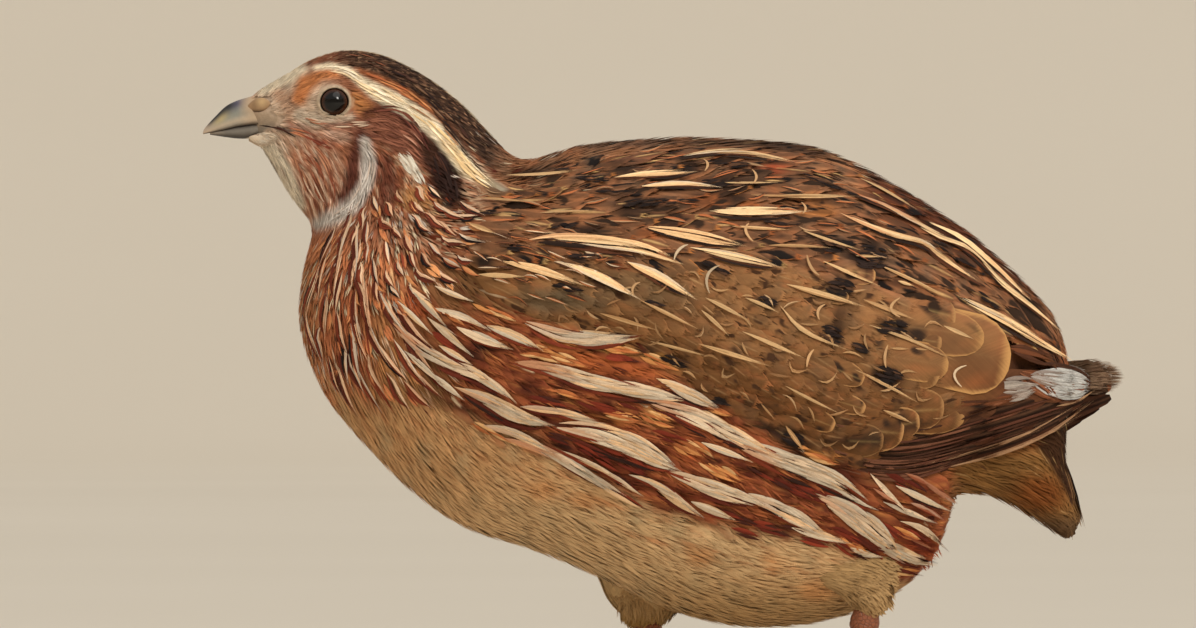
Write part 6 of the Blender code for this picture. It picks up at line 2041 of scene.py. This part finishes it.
def flank_coat():
    """Long flank feathers with a broad white shaft band, over the lower edge of the wing."""
    coat = Coat()
    poly = [(400, 262), (470, 285), (560, 318), (640, 340), (710, 385), (790, 438), (870, 478), (950, 482),
            (950, 560), (880, 566), (800, 540), (700, 515), (600, 480), (500, 440), (430, 405), (395, 340)]
    crow = [0, 0.22, 0.42, 0.6, 0.78, 0.9, 0.98]
    for side in (-1, 1):
        spots = scatter_px(poly, 10.5, 40 + side)
        n = len(spots)
        length = rng.uniform(46, 66, n)
        start = spots - flow(spots[:, 0], spots[:, 1]) * (length * 0.62)[:, None]
        start[:, 0] = np.maximum(start[:, 0], 370)
        paths = flow_path(start, length, crow, rng.normal(0, 0.09, n))
        rear = np.interp(paths[..., 1], [460, 490, 520, 550, 590], [975, 958, 948, 942, 915]) - rng.uniform(0, 16, n)[:, None]
        paths[..., 0] = np.where(paths[..., 0] > rear - 14, rear - 14 + (paths[..., 0] - rear + 14) * 0.35, paths[..., 0])
        ok = half_width(paths[..., 0], paths[..., 1]).min(1) > 1.2 * MM
        spots, paths = spots[ok], paths[ok]
        n = len(spots)
        c, r = spots[:, 0], spots[:, 1]
        low = r > np.interp(c, *BELLY_LINE) - 2
        base = paint(c, r, np.full(n, 0.03)) * rng.uniform(0.85, 1.15, (n, 1))
        L = look_of(n, base, srgb(226, 200, 164), PALE, BLACK, (0.24, 0.25, 1.02, 0.0), (0.0, 0.45, 2.2, 0.4))
        has = rng.random(n) < 0.06
        L["par1"][:, 0] = rng.uniform(0.16, 0.28, n)
        L["par1"][:, 3] = np.where(has, rng.uniform(0.5, 0.9, n), 0)
        L["par2"][:, 1] = np.where(low, 0.0, rng.uniform(0.0, 0.45, n))
        L["c_dark"] = pick(n, (srgb(60, 32, 24), 1), (MAROON, 3), (CHESTNUT, 3))
        L["tone"] = rng.normal(1.04, 0.12, (n, 1))
        side_tract(coat, paths, rng.uniform(8, 11, n), side, crow, [-1, -0.5, 0, 0.5, 1], "lance", 1.5 * MM,
                   rng.uniform(0.0, 0.12, n) * MM, rng.uniform(-0.3, 0.05, n) * MM, L, camber=0.25, fringe=5, fray=0.04,
                   ground=vertex_paint(0.9))

    for side in (-1, 1):
        barbs(coat, STAINS, side, 24, 2.0, ((srgb(104, 42, 30), 3), (srgb(132, 54, 36), 3), (srgb(70, 36, 28), 1.5)), 0.14, 0.3, 1.1,
              profile=(0.45, 0.45), spread=0.06, clear=1.8)
        barbs(coat, EMBERS, side, 20, 1.8, ((srgb(210, 142, 84), 3), (srgb(188, 112, 66), 3), (srgb(218, 170, 116), 1.5)), 0.17, 0.3, 1.5,
              profile=(0.4, 0.4), spread=0.06, clear=2.2)
        barbs(coat, FLANK, side, 42, 2.0, ((srgb(92, 40, 28), 3), (srgb(126, 56, 36), 3), (srgb(52, 32, 26), 1.2)), 0.22, 0.3, 0.9,
              offset=0.26, grow=1.35, clear=1.8)
        barbs(coat, PETALS, side, 26, 1.6, ((srgb(186, 142, 118), 3), (srgb(168, 112, 84), 3), (srgb(150, 84, 58), 2)), 0.30, 0.3, 1.6, clear=1.2)
        barbs(coat, FLANK, side, 44, 2.1, ((srgb(218, 192, 162), 4), (srgb(208, 190, 166), 3), (srgb(224, 186, 144), 2),
                                           (srgb(192, 174, 152), 1)), 0.40, 0.4, 3.8, tint=srgb(190, 122, 80), spread=0.05, grow=1.0, clear=1.8)
    finish_coat(coat, "coat_flank", "body_plumage")


def wing_coats():
    """Folded wings: primaries lowest, then tertials, coverts and scapulars over them."""
    rows = [0, 0.15, 0.3, 0.45, 0.6, 0.72, 0.82, 0.90, 0.95, 0.985, 1.0]
    cols = [-1, -0.7, -0.35, 0, 0.35, 0.7, 1]
    wide = [0, 0.12, 0.25, 0.38, 0.5, 0.62, 0.74, 0.84, 0.92, 0.98]
    crow = [0, 0.25, 0.45, 0.63, 0.8, 0.92, 0.98]
    for side, tag in ((-1, "left"), (1, "right")):
        coat = Coat()
        # primaries, the outermost lowest and first
        quills = (
            ((790, 458), (900, 474), (985, 451), 8, 0.0), ((785, 452), (900, 470), (1014, 441), 8, 0.1),
            ((780, 447), (900, 466), (1040, 430), 9, 0.2), ((775, 441), (900, 461), (1060, 419), 9, 0.3),
            ((770, 434), (900, 455), (1072, 409), 10, 0.42), ((765, 426), (905, 446), (1083, 399), 11, 0.5),
            ((765, 418), (905, 436), (1080, 391), 12, 0.6), ((765, 410), (905, 426), (1062, 385), 13, 0.7),
        )
        paths = np.array([poly_path(q[:3], rows) for q in quills])
        n = len(quills)
        L = look_of(n, pick(n, (srgb(84, 50, 34), 2), (srgb(76, 48, 34), 2)), srgb(132, 92, 68), srgb(150, 114, 86), srgb(36, 24, 18),
                    (0.16, -0.3, 1.15, 0.9), (0.0, 0.0, 7.0, 0.9))
        L["par1"][:, 3] = 0.35
        side_tract(coat, paths, np.array([q[3] for q in quills]) * 1.1, side, rows, cols, "long", 1.0 * MM, 0.0,
                   np.array([q[4] * 0.8 - 0.75 for q in quills]) * MM, L, camber=0.12, fringe=0)
        # secondaries and tertials with buff rims
        tert = (
            ((800, 395), (880, 414), (962, 419), 16, 0.0), ((800, 385), (890, 406), (994, 408), 17, 0.06),
            ((930, 380), (1010, 385), (1083, 387), 16, 0.14), ((860, 388), (950, 394), (1026, 390), 15, 0.22),
            ((850, 374), (930, 386), (1002, 386), 17, 0.3), ((840, 325), (925, 342), (1007, 362), 41, 0.5),
            ((820, 318), (900, 326), (980, 338), 24, 0.6), ((830, 345), (900, 358), (944, 366), 20, 0.65),
        )
        paths = np.array([poly_path(q[:3], rows) for q in tert])
        n = len(tert)
        base = paint(paths[:, 6, 0], paths[:, 6, 1], np.zeros(n))
        L = look_of(n, base, srgb(176, 136, 92), srgb(192, 144, 90), srgb(52, 38, 30), (0.03, 0.1, 0.95, 0.4), (0.07, 0.3, 4.0, 0.2))
        L["par2"][2:5, 0] = 0.0
        L["par1"][2:5, 3] = 0.0
        L["par2"][2:5, 1] = 0.0
        L["c_edge"][2:5] = srgb(120, 86, 62)
        L["par2"][0, 0] = L["par2"][6, 0] = L["par2"][7, 0] = 0.05
        L["par2"][1, 0] = 0.0
        L["c_base"][1] = srgb(92, 58, 40)
        side_tract(coat, paths, np.array([q[3] for q in tert]), side, rows, cols, "long", 1.2 * MM, 0.05 * MM,
                   np.array([q[4] for q in tert]) * MM, L, camber=0.12, fringe=0, ground=vertex_paint(0.85))
        # soft pale ends of inner feathers, their pale grey partly a painted highlight, brown between them, and thin
        # pale edges of the primaries
        barbs(coat, [(((1006, 346), (1030, 350), (1056, 362)), 20), (((1018, 372), (1040, 384), (1052, 396)), 22),
                     (((946, 404), (980, 402), (1012, 396)), 12)], side, 34, 2.2,
              ((srgb(112, 66, 42), 3), (srgb(88, 54, 38), 2), (srgb(134, 84, 58), 1)), 0.26, 0.4, 1.9, spread=0.04, profile=(0.5, 0.4))
        # pale grey and grey-white barbs at the wing tips: partly the feathers' own colour, partly a painted highlight
        barbs(coat, [(((992, 390), (1012, 389), (1034, 386)), 24)], side, 26, 1.9,
              ((srgb(172, 160, 150), 3), (srgb(150, 134, 124), 2)), 0.36, 0.4, 4.0, spread=0.03, profile=(0.32, 0.3), tint=srgb(104, 70, 52))
        barbs(coat, [(((1028, 376), (1058, 383), (1086, 386)), 30)], side, 26, 1.7,
              ((srgb(196, 194, 190), 4), (srgb(180, 176, 172), 3), (srgb(150, 136, 126), 1.5)), 0.32, 0.3, 4.2, spread=0.035,
              tint=srgb(112, 76, 56), profile=(0.55, 0.3))
        barbs(coat, [(((1040, 363), (1066, 367), (1086, 377), (1088, 390)), 4), (((1046, 400), (1070, 402), (1088, 394)), 5)], side, 24, 1.4,
              ((srgb(72, 46, 34), 3), (srgb(96, 62, 44), 2)), 0.36, 0.3, 2.6, spread=0.03)
        barbs(coat, [(((1054, 406), (1074, 402), (1090, 392)), 2.4)], side, 26, 1.0, ((srgb(170, 132, 98), 1),), 0.42, 0.2, 2.0, spread=0.02)
        lines = [((np.array(q[0]) + (30, d), np.array(q[1]) + (0, d), np.array(q[2]) + (-8, d * 0.6)), 2.2)
                 for q in quills for d in (1.5, 5.5)]
        barbs(coat, lines, side, 110, 1.1, ((srgb(120, 78, 58), 2), (srgb(96, 58, 44), 3), (srgb(74, 46, 34), 2)), 0.03, 0.2, 1.3, spread=0.03)
        barbs(coat, [(((880, 479), (950, 466), (1010, 450), (1060, 426), (1086, 402)), 3.0), (((900, 468), (960, 455), (1020, 436), (1070, 408)), 2.4)],
              side, 130, 1.1, ((srgb(178, 138, 104), 2), (srgb(150, 110, 80), 1)), 0.10, 0.2, 2.0, spread=0.03)
        if side > 0:
            # frayed tip of the far wing, seen past the near one
            m = 90
            f = rng.uniform(0, 1, m)
            tips = np.stack([1088 + 22 * np.sin(math.pi * np.clip(f * 0.95 + 0.02, 0, 1)) ** 0.8 + rng.normal(0, 1.2, m), 361 + 36 * f], -1)
            roots = np.stack([np.full(m, 1040.0), 372 + 18 * f], -1) + rng.normal(0, 2, (m, 2))
            t = np.asarray(crow)[None, :, None]
            fuzz = (roots[:, None] * (1 - t) + tips[:, None] * t)
            L = look_of(m, pick(m, (srgb(150, 122, 98), 1), (srgb(126, 98, 78), 1)), CREAM, BUFF, DARK, (0, 0, 1, 0), (0, 0.0, 2, 0))
            off = np.clip((fuzz[..., 0] - 950) / 134, 0, 1)
            fuzz[..., 0] -= 29.0 * off**2 * (3 - 2 * off) * step(350, 366, fuzz[..., 1])
            side_tract(coat, fuzz, rng.uniform(2.6, 4.2, m), side, crow, [-1, 0, 1], "lance", 0.2 * MM, 0.0,
                       rng.uniform(-0.5, 0.5, m) * MM, L, camber=0.2, fringe=4, fray=0.15)
        # coverts
        poly = [(500, 262), (560, 250), (640, 262), (700, 262), (780, 262), (860, 285), (930, 312), (975, 345), (960, 392),
                (900, 432), (830, 455), (770, 432), (700, 392), (640, 350), (560, 322), (505, 300)]
        spots = scatter_px(poly, 11.0, 60 + side)
        spots = spots[(spots[:, 0] < 925) | (spots[:, 1] > 398)]
        spots = spots[np.argsort(-spots[:, 0])]
        n = len(spots)
        length = rng.uniform(42, 58, n)
        start = spots - flow(spots[:, 0], spots[:, 1]) * (length * 0.6)[:, None]
        start[:, 0] = np.maximum(start[:, 0], 468)
        paths = flow_path(start, length, crow, rng.normal(0, 0.07, n))
        c, r = spots[:, 0], spots[:, 1]
        base = paint(c, r, np.zeros(n)) * rng.uniform(0.85, 1.15, (n, 1))
        L = look_of(n, base, srgb(190, 150, 104), srgb(178, 136, 92), srgb(70, 46, 30), (0.08, 0.15, 0.95, 0.0), (0.0, 0.2, 3.2, 0.15))
        L["par1"][:, 3] = np.where(rng.random(n) < 0.4, rng.uniform(0.3, 0.8, n), 0)
        L["par2"][:, 1] = rng.uniform(0.0, 0.5, n)
        L["par2"][:, 0] = np.where(rng.random(n) < 0.30, rng.uniform(0.05, 0.09, n), 0)
        L["c_edge"] = np.clip(base * rng.uniform(1.15, 1.5, (n, 1)), 0, 1)
        L["tone"] = rng.normal(1.0, 0.10, (n, 1))
        L["shift"] = rng.normal(0, 2.0, (n, 2))
        side_tract(coat, paths, rng.uniform(9, 12, n), side, crow, [-1, -0.5, 0, 0.5, 1], "round", 1.1 * MM,
                   rng.uniform(0.02, 0.14, n) * MM, 0.15 * MM, L, camber=0.25, fringe=6, fray=0.06, ground=vertex_paint(0.94), far_tip=False)
        # scapulars: small dark ones, then the long pale-striped ones on top
        poly = [(470, 185), (560, 165), (680, 152), (800, 158), (880, 190), (950, 240), (1040, 320), (1060, 352), (1000, 335),
                (930, 302), (860, 270), (780, 258), (700, 262), (620, 270), (540, 262), (480, 262)]
        spots = scatter_px(poly, 10.5, 70 + side)
        spots = spots[np.argsort(-spots[:, 0])]
        n = len(spots)
        length = rng.uniform(44, 66, n)
        start = spots - flow(spots[:, 0], spots[:, 1]) * (length * 0.6)[:, None]
        start[:, 0] = np.maximum(start[:, 0], 462)
        paths = flow_path(start, length, crow, rng.normal(0, 0.08, n))
        c, r = spots[:, 0], spots[:, 1]
        base = paint(c, r, np.zeros(n)) * rng.uniform(0.8, 1.15, (n, 1))
        L = look_of(n, base, srgb(220, 176, 118), BUFF, BLACK, (0.16, 0.2, 0.98, 0.0), (0.0, 0.6, 2.6, 0.5))
        L["par1"][:, 3] = np.where(rng.random(n) < 0.12, rng.uniform(0.5, 1.0, n), 0)
        L["par2"][:, 1] = rng.uniform(0.15, 0.85, n)
        L["par2"][:, 0] = np.where(rng.random(n) < 0.25, 0.07, 0.0)
        L["c_edge"] = pick(n, (BUFF, 1), (RUFOUS, 1.5), (ORANGE, 1)) * 0.8
        L["c_dark"] = pick(n, (BLACK, 1), (DARK, 2))
        L["tone"] = rng.normal(1.0, 0.12, (n, 1))
        L["shift"] = rng.normal(0, 3.0, (n, 2))
        side_tract(coat, paths, rng.uniform(9, 12.5, n), side, crow, [-1, -0.5, 0, 0.5, 1], "lance", 1.2 * MM,
                   rng.uniform(0.02, 0.18, n) * MM, rng.uniform(0.15, 0.35, n) * MM, L, camber=0.25, fringe=8, fray=0.12,
                   ground=vertex_paint(0.92), far_tip=False)
        # feathers rimmed at the tip
        angle = np.radians([a[3] for a in ARCS])
        tip = np.array([(a[0], a[1]) for a in ARCS], float)
        half = np.array([a[2] for a in ARCS], float)
        n = len(ARCS)
        ahead = np.stack([np.cos(angle), np.sin(angle)], -1)
        t = np.asarray(rows)[None, :, None]
        reach = (34 + 1.2 * half)[:, None]
        paths = (tip - ahead * reach)[:, None] + (ahead * reach)[:, None] * t
        L = look_of(n, paint(tip[:, 0] - 8, tip[:, 1], np.zeros(n)), YELLOW, BUFF, DARK, (0.06, 0.2, 0.98, 0.3), (0.1, 0.35, 2.6, 0.0))
        L["c_edge"] = np.clip(L["c_base"] * 1.5, 0, 1)
        L["par2"][:, 0] = [a[4] for a in ARCS]
        L["c_edge"] = pick(n, (srgb(182, 136, 88), 1), (srgb(160, 118, 76), 1))
        L["tone"] = np.full((n, 1), 0.95)
        side_tract(coat, paths, half, side, rows, cols, "round", 1.2 * MM, 0.05 * MM, np.linspace(0.50, 0.60, n) * MM, L, camber=0.18,
                   fringe=0, ground=vertex_paint(0.85))

        barbs(coat, INK, side, 11, 1.5, ((srgb(36, 28, 26), 3), (srgb(48, 36, 32), 2), (srgb(84, 58, 42), 1)), 0.56, 0.2, 1.5, spread=0.06,
              profile=(0.22, 0.30))
        broad = [q for q in SCAPULARS if q[1] >= 5.5]
        slim = [q for q in SCAPULARS if q[1] < 5.5]
        barbs(coat, broad, side, 60, 1.9, ((srgb(48, 34, 28), 3), (srgb(92, 54, 36), 2)), 0.60, 0.3, 1.0, offset=0.42, grow=1.1)
        barbs(coat, broad, side, 60, 1.6, ((srgb(240, 204, 156), 4), (srgb(232, 188, 138), 3), (srgb(222, 196, 164), 1)), 0.72, 0.3, 2.4,
              tint=srgb(190, 112, 66), spread=0.08)
        barbs(coat, slim, side, 60, 1.3, ((srgb(206, 168, 122), 4), (srgb(184, 142, 98), 3)), 0.70, 0.3, 1.6, tint=srgb(150, 96, 60),
              spread=0.05)
        # fine wavy edges of the coverts, and rufous and dark streaks of the mantle
        for poly2, gap, reach2, wide2, hues, high, turn2 in (
                ([(458, 238), (520, 224), (610, 262), (580, 296), (500, 300)],
                 11.0, (14, 26), (1.6, 3.2), ((srgb(178, 108, 66), 3), (srgb(82, 52, 38), 2.5), (srgb(214, 186, 154), 2)), 0.56, 0.12),
                ([(540, 298), (640, 278), (700, 268), (790, 300), (860, 290), (930, 330), (930, 420), (860, 450), (780, 430), (700, 385), (620, 346), (540, 316)],
                 19.0, (10, 20), (1.2, 2.0), ((srgb(176, 136, 94), 3), (srgb(150, 110, 74), 3), (srgb(196, 160, 120), 1)), 0.60, 0.5),
                ([(480, 190), (560, 165), (640, 150), (760, 150), (860, 190), (900, 250), (820, 250), (700, 225), (600, 250), (500, 250)],
                 17.0, (14, 28), (1.6, 3.2), ((srgb(186, 110, 68), 3), (srgb(66, 48, 38), 2), (srgb(168, 132, 98), 2)), 0.54, 0.15)):
            at = scatter_px(poly2, gap, 300 + side)
            m = len(at)
            long2 = rng.uniform(reach2[0], reach2[1], m)
            bits = flow_path(at, long2, [0, 0.33, 0.66, 1.0], rng.normal(0, turn2, m))
            way = unit(bits[:, -1] - bits[:, 0])
            bits = bits + (np.stack([-way[:, 1], way[:, 0]], -1)[:, None]
                           * (np.array([0, 1, 0.8, -0.4])[None, :] * rng.normal(0, 2.4 if turn2 > 0.3 else 1.0, m)[:, None])[..., None])
            barbs(coat, list(zip(bits, rng.uniform(wide2[0], wide2[1], m))), side, 26, 1.0, hues, high, 0.25, 1.7, spread=0.05)
        # curled pale barbs
        n = len(CURLS)
        a, b, c3 = (np.array([q[k] for q in CURLS], float) for k in range(3))
        ct = np.linspace(0, 1, 9)
        t = ct[None, :, None]
        paths = a[:, None] * (1 - t) * (1 - 2 * t) + b[:, None] * 4 * t * (1 - t) + c3[:, None] * t * (2 * t - 1)
        L = look_of(n, pick(n, (srgb(190, 150, 108), 2), (srgb(200, 176, 146), 1)), CREAM, PALE, DARK)
        side_tract(coat, paths, np.array([q[3] for q in CURLS]) * 0.66, side, ct, [-1, 0, 1], "thread", 0.1 * MM, 0.0, 0.80 * MM, L,
                   camber=0.1, fringe=0)
        finish_coat(coat, "coat_wing_" + tag, "wing_plumage")


def tail_coat():
    coat = Coat()
    rows = [0, 0.15, 0.3, 0.45, 0.6, 0.74, 0.86, 0.94, 0.99]
    cols = [-1, -0.6, -0.25, 0, 0.25, 0.6, 1]
    paths, normals, widths = [], [], []
    for k in sorted(range(-5, 6), key=lambda k: -abs(k)):
        a = abs(k) / 5
        root = np.array([1022 - 10 * a, 390 + 16 * a])
        mid = np.array([1058 - 9 * a, 446 + 8 * a])
        tip = np.array([1083 - 14 * a, 518 - 6 * a])
        t = np.asarray(rows)[:, None]
        p = root * (1 - t) * (1 - 2 * t) + mid * 4 * t * (1 - t) + tip * t * (2 * t - 1)
        y = np.sign(k) * (np.interp(rows, [0, 0.5, 1], [0.7, 3.4, 2.8]) * a + 0.05 * abs(k))
        paths.append(np.stack([(p[:, 0] - GRID_MIDDLE) * GRID, y * MM, (GRID_FLOOR - p[:, 1]) * GRID], -1))
        slope = 0.25 + 1.1 * a
        nrm = np.array([math.cos(slope) * 0.9, np.sign(k) * math.sin(slope), math.cos(slope) * 0.45])
        normals.append(np.broadcast_to(unit(nrm), (len(rows), 3)))
        widths.append(1.9 - 0.4 * a)
    R, Nn = np.array(paths), np.array(normals)
    n = len(R)
    L = look_of(n, pick(n, (srgb(66, 44, 30), 1), (srgb(78, 52, 36), 1)), srgb(186, 148, 104), srgb(140, 104, 68), BLACK,
                (0.06, 0.1, 1.0, 0.9), (0.07, 0.6, 6.0, 0.5))
    feathers(coat, R, Nn, np.array(widths) * MM, "long", cols, rows, L,
             root_map(np.full(n, 28.5), np.linspace(-2.6, 2.6, n)), camber=0.15, fringe=8, fray=0.08)
    finish_coat(coat, "coat_tail", "tail_plumage")


def thigh_coat():
    """Short soft feathers of the drumsticks, down to the knee."""
    coat = Coat()
    rows = [0, 0.35, 0.7, 1.0]
    for plan, drum in ((LEFT_LEG, LEFT_DRUM), (RIGHT_LEG, RIGHT_DRUM)):
        path, ra, rs = thigh_path(plan, drum, -0.3)
        pts, nrm, along = [], [], []
        for i, (p, (t, sv, across)) in enumerate(zip(path, frames(path))):
            if i < 3:
                continue
            for layer in range(2):
                around = max(int(2 * math.pi * 0.5 * (ra[i] + rs[i]) / (1.15 * MM)), 10)
                for k in range(around):
                    a = 2 * math.pi * (k + rng.uniform(0, 1)) / around
                    pts.append(p + across * ra[i] * math.cos(a) + sv * rs[i] * math.sin(a) + t * rng.uniform(-0.8, 0.8) * MM)
                    nrm.append(unit(across * math.cos(a) / ra[i] + sv * math.sin(a) / rs[i]))
                    along.append(t)
        root, N0, D0 = np.array(pts), np.array(nrm), np.array(along)
        col, row = to_px(root)
        outside = np.abs(root[:, 1]) > half_width(col, row) - 0.9 * MM
        root, N0, D0, col, row = (x[outside] for x in (root, N0, D0, col, row))
        n = len(root)
        d = unit(D0 - N0 * (D0 * N0).sum(-1, keepdims=True))
        way = flow(col, row)
        sweep = np.stack([way[:, 0], np.zeros(n), -way[:, 1]], -1)
        sweep = unit(sweep - N0 * (sweep * N0).sum(-1, keepdims=True))
        k = (0.75 * step(606, 575, row))[:, None]
        d = unit(d * (1 - k) + sweep * k)
        d = turned(d, N0, rng.normal(0, 0.12, n))
        length = rng.uniform(3.8, 5.4, n) * MM
        t = np.asarray(rows)[None, :, None]
        knee = leg_points(plan)[1]
        centre_pull = (knee - root) * np.array([1, 1, 0])
        close = np.clip(1 - (root[:, 2] - knee[2]) / (14 * MM), 0, 1)[:, None, None]
        R = root[:, None] + d[:, None] * length[:, None, None] * t + N0[:, None] * (-0.8 * (1 - t) ** 1.3 + 0.02) * MM
        R = R + centre_pull[:, None] * t * 0.34 * close
        low = knee[2] - 1.5 * MM
        R[..., 2] = np.maximum(R[..., 2], low)
        Nn = np.broadcast_to(N0[:, None], R.shape)
        side_on = plan["side"] < 0
        warm = srgb(176, 142, 98)
        # lower thigh feathers darker, most on the near leg: painted shade under the belly
        painted_shade_low = srgb(118, 66, 34) if side_on else srgb(150, 116, 66)
        base = lay(np.broadcast_to(warm, (n, 3)), painted_shade_low, step(594, 610, row)) * rng.uniform(0.92, 1.08, (n, 1))
        L = look_of(n, base, CREAM, PALE, BROWN, (0.12, 0.2, 0.95, 0.0), (0.0, 0.0, 2.0, 0.0))
        tufts(coat, R, Nn, rng.uniform(0.9, 1.25, n) * MM, 5, rows, L,
              root_map(np.interp(row, [480, 620], [18.0, 21.0]), plan["side"] * np.interp(col, [600, 900], [1.9, 2.9])),
              camber=0.25, ragged=0.16, splay=0.25, body=1.5)
    front = curve([(572, 543), (590, 560), (599, 582), (609, 603), (630, 625)], np.linspace(0, 4, 41))
    back = curve([(640, 556), (648, 574), (654, 590), (657, 604), (656, 616)], np.linspace(0, 4, 41))
    n = 420
    w = rng.beta(0.9, 1.1, n)
    start = rng.uniform(0, 0.62, n)
    s = (start[:, None] + rng.uniform(0.26, 0.38, (n, 1)) * np.asarray(rows)[None]) * 40
    px = [np.interp(s, np.arange(41), front[:, k]) * (1 - w[:, None]) + np.interp(s, np.arange(41), back[:, k]) * w[:, None] for k in (0, 1)]
    face = np.where(rng.random(n) < 0.5, -1.0, 1.0)
    swell = np.sin(np.clip(w, 0, 0.5) * math.pi)[:, None] * np.interp(s, [0, 40], [5.6, 2.6])
    y = (RIGHT_LEG["knee"][2] + face[:, None] * swell + 0.25 * np.asarray(rows)[None]) * MM
    R = np.stack([(px[0] - GRID_MIDDLE) * GRID, y, (GRID_FLOOR - px[1]) * GRID], -1)
    N0 = unit(np.stack([-(1 - np.clip(w * 2, 0, 1)), face * np.clip(0.15 + 1.7 * w, 0, 1), np.full(n, -0.2)], -1))
    Nn = np.broadcast_to(N0[:, None], R.shape)
    c, r = to_px(R[:, 2])
    # darker towards the knee: painted shade under the belly
    base = lay(np.broadcast_to(srgb(186, 154, 110), (n, 3)), srgb(160, 126, 80), step(600, 622, r)) * rng.uniform(0.92, 1.08, (n, 1))
    L = look_of(n, base, CREAM, PALE, BROWN, (0.10, 0.2, 0.95, 0.0), (0.0, 0.0, 2.0, 0.0))
    tufts(coat, R, Nn, rng.uniform(0.8, 1.1, n) * MM, 5, rows, L,
          root_map(np.interp(r, [480, 620], [18.0, 21.0]), np.full(n, 2.2)), camber=0.2, ragged=0.16, splay=0.2, body=1.5)
    finish_coat(coat, "coat_thighs", "body_plumage")


# ---------------------------------------------------------------- studio, camera
def studio():
    maker = bmesh.new()
    rings = []
    profile = [(0.02, 0.0), (0.5, 0.0), (2.0, 0.0), (5.0, 0.0), (8.0, 0.0)]
    profile += [(8.0 + 3.0 * math.sin(a), 3.0 - 3.0 * math.cos(a)) for a in np.linspace(0.1, math.pi / 2, 16)]
    profile += [(11.0, 4.5)]
    for r, z in profile:
        rings.append([(r * math.cos(a), r * math.sin(a), z) for a in np.linspace(0, 2 * math.pi, 64, endpoint=False)])
    verts = [[maker.verts.new(p) for p in ring] for ring in rings]
    maker.faces.new(verts[0])
    for a, b in zip(verts, verts[1:]):
        for k in range(64):
            maker.faces.new((a[k], a[(k + 1) % 64], b[(k + 1) % 64], b[k]))
    bmesh.ops.recalc_face_normals(maker, faces=maker.faces)
    mesh = bpy.data.meshes.new("floor")
    maker.to_mesh(mesh)
    maker.free()
    mesh.shade_smooth()
    floor = bpy.data.objects.new("floor", mesh)
    bpy.context.scene.collection.objects.link(floor)
    m, nt, shader = material("floor_paper", 0.9, 0.1)
    grain = noise(nt, place(nt, 1.0), 1.5, 2.0)
    nt.links.new(mix(nt, grain, (0.70, 0.635, 0.54, 1), (0.74, 0.675, 0.58, 1)), shader.inputs["Base Color"])
    mesh.materials.append(m)
    world = bpy.data.worlds.new("soft_room")
    bpy.context.scene.world = world
    world.use_nodes = True
    back = world.node_tree.nodes["Background"]
    back.inputs["Color"].default_value = (1.0, 0.975, 0.92, 1)
    back.inputs["Strength"].default_value = 0.62
    sun = bpy.data.lights.new("sky_panel", "SUN")
    sun.energy, sun.angle = 0.85, math.radians(50)
    sun.color = (1.0, 0.95, 0.87)
    obj = bpy.data.objects.new("sky_panel", sun)
    obj.rotation_mode = "QUATERNION"
    obj.rotation_quaternion = Vector((-0.28, 0.60, -1.0)).to_track_quat("-Z", "Y")
    bpy.context.scene.collection.objects.link(obj)
    box = bpy.data.lights.new("soft_box", "AREA")
    box.shape, box.size, box.size_y, box.energy = "RECTANGLE", 0.36, 0.42, 9.0
    box.color = (1.0, 0.96, 0.89)
    obj = bpy.data.objects.new("soft_box", box)
    obj.location = (0.52, -1.15, 0.86)
    obj.rotation_mode = "QUATERNION"
    obj.rotation_quaternion = (Vector((-0.02, 0, 0.09)) - obj.location).to_track_quat("-Z", "Y")
    bpy.context.scene.collection.objects.link(obj)
    cam = bpy.data.cameras.new("camera")
    cam.lens, cam.sensor_width = 600.0, 36.0
    cam.clip_start, cam.clip_end = 0.1, 60.0
    obj = bpy.data.objects.new("camera", cam)
    obj.location = ((598 - GRID_MIDDLE) * GRID, -1196 * GRID * 600 / 36, (GRID_FLOOR - 314) * GRID)
    obj.rotation_euler = (math.radians(90), 0, 0)
    bpy.context.scene.collection.objects.link(obj)
    bpy.context.scene.camera = obj
    bpy.context.scene.view_settings.view_transform = "Standard"


studio()
make_skin()
make_eyes()
make_bill()
head_coat()
neck_coat()
trunk_coats()
marks_coat()
flank_coat()
wing_coats()
tail_coat()
thigh_coat()

for name, count in coats:
    print("coat", name, count)
print("coat total", sum(c for _, c in coats))
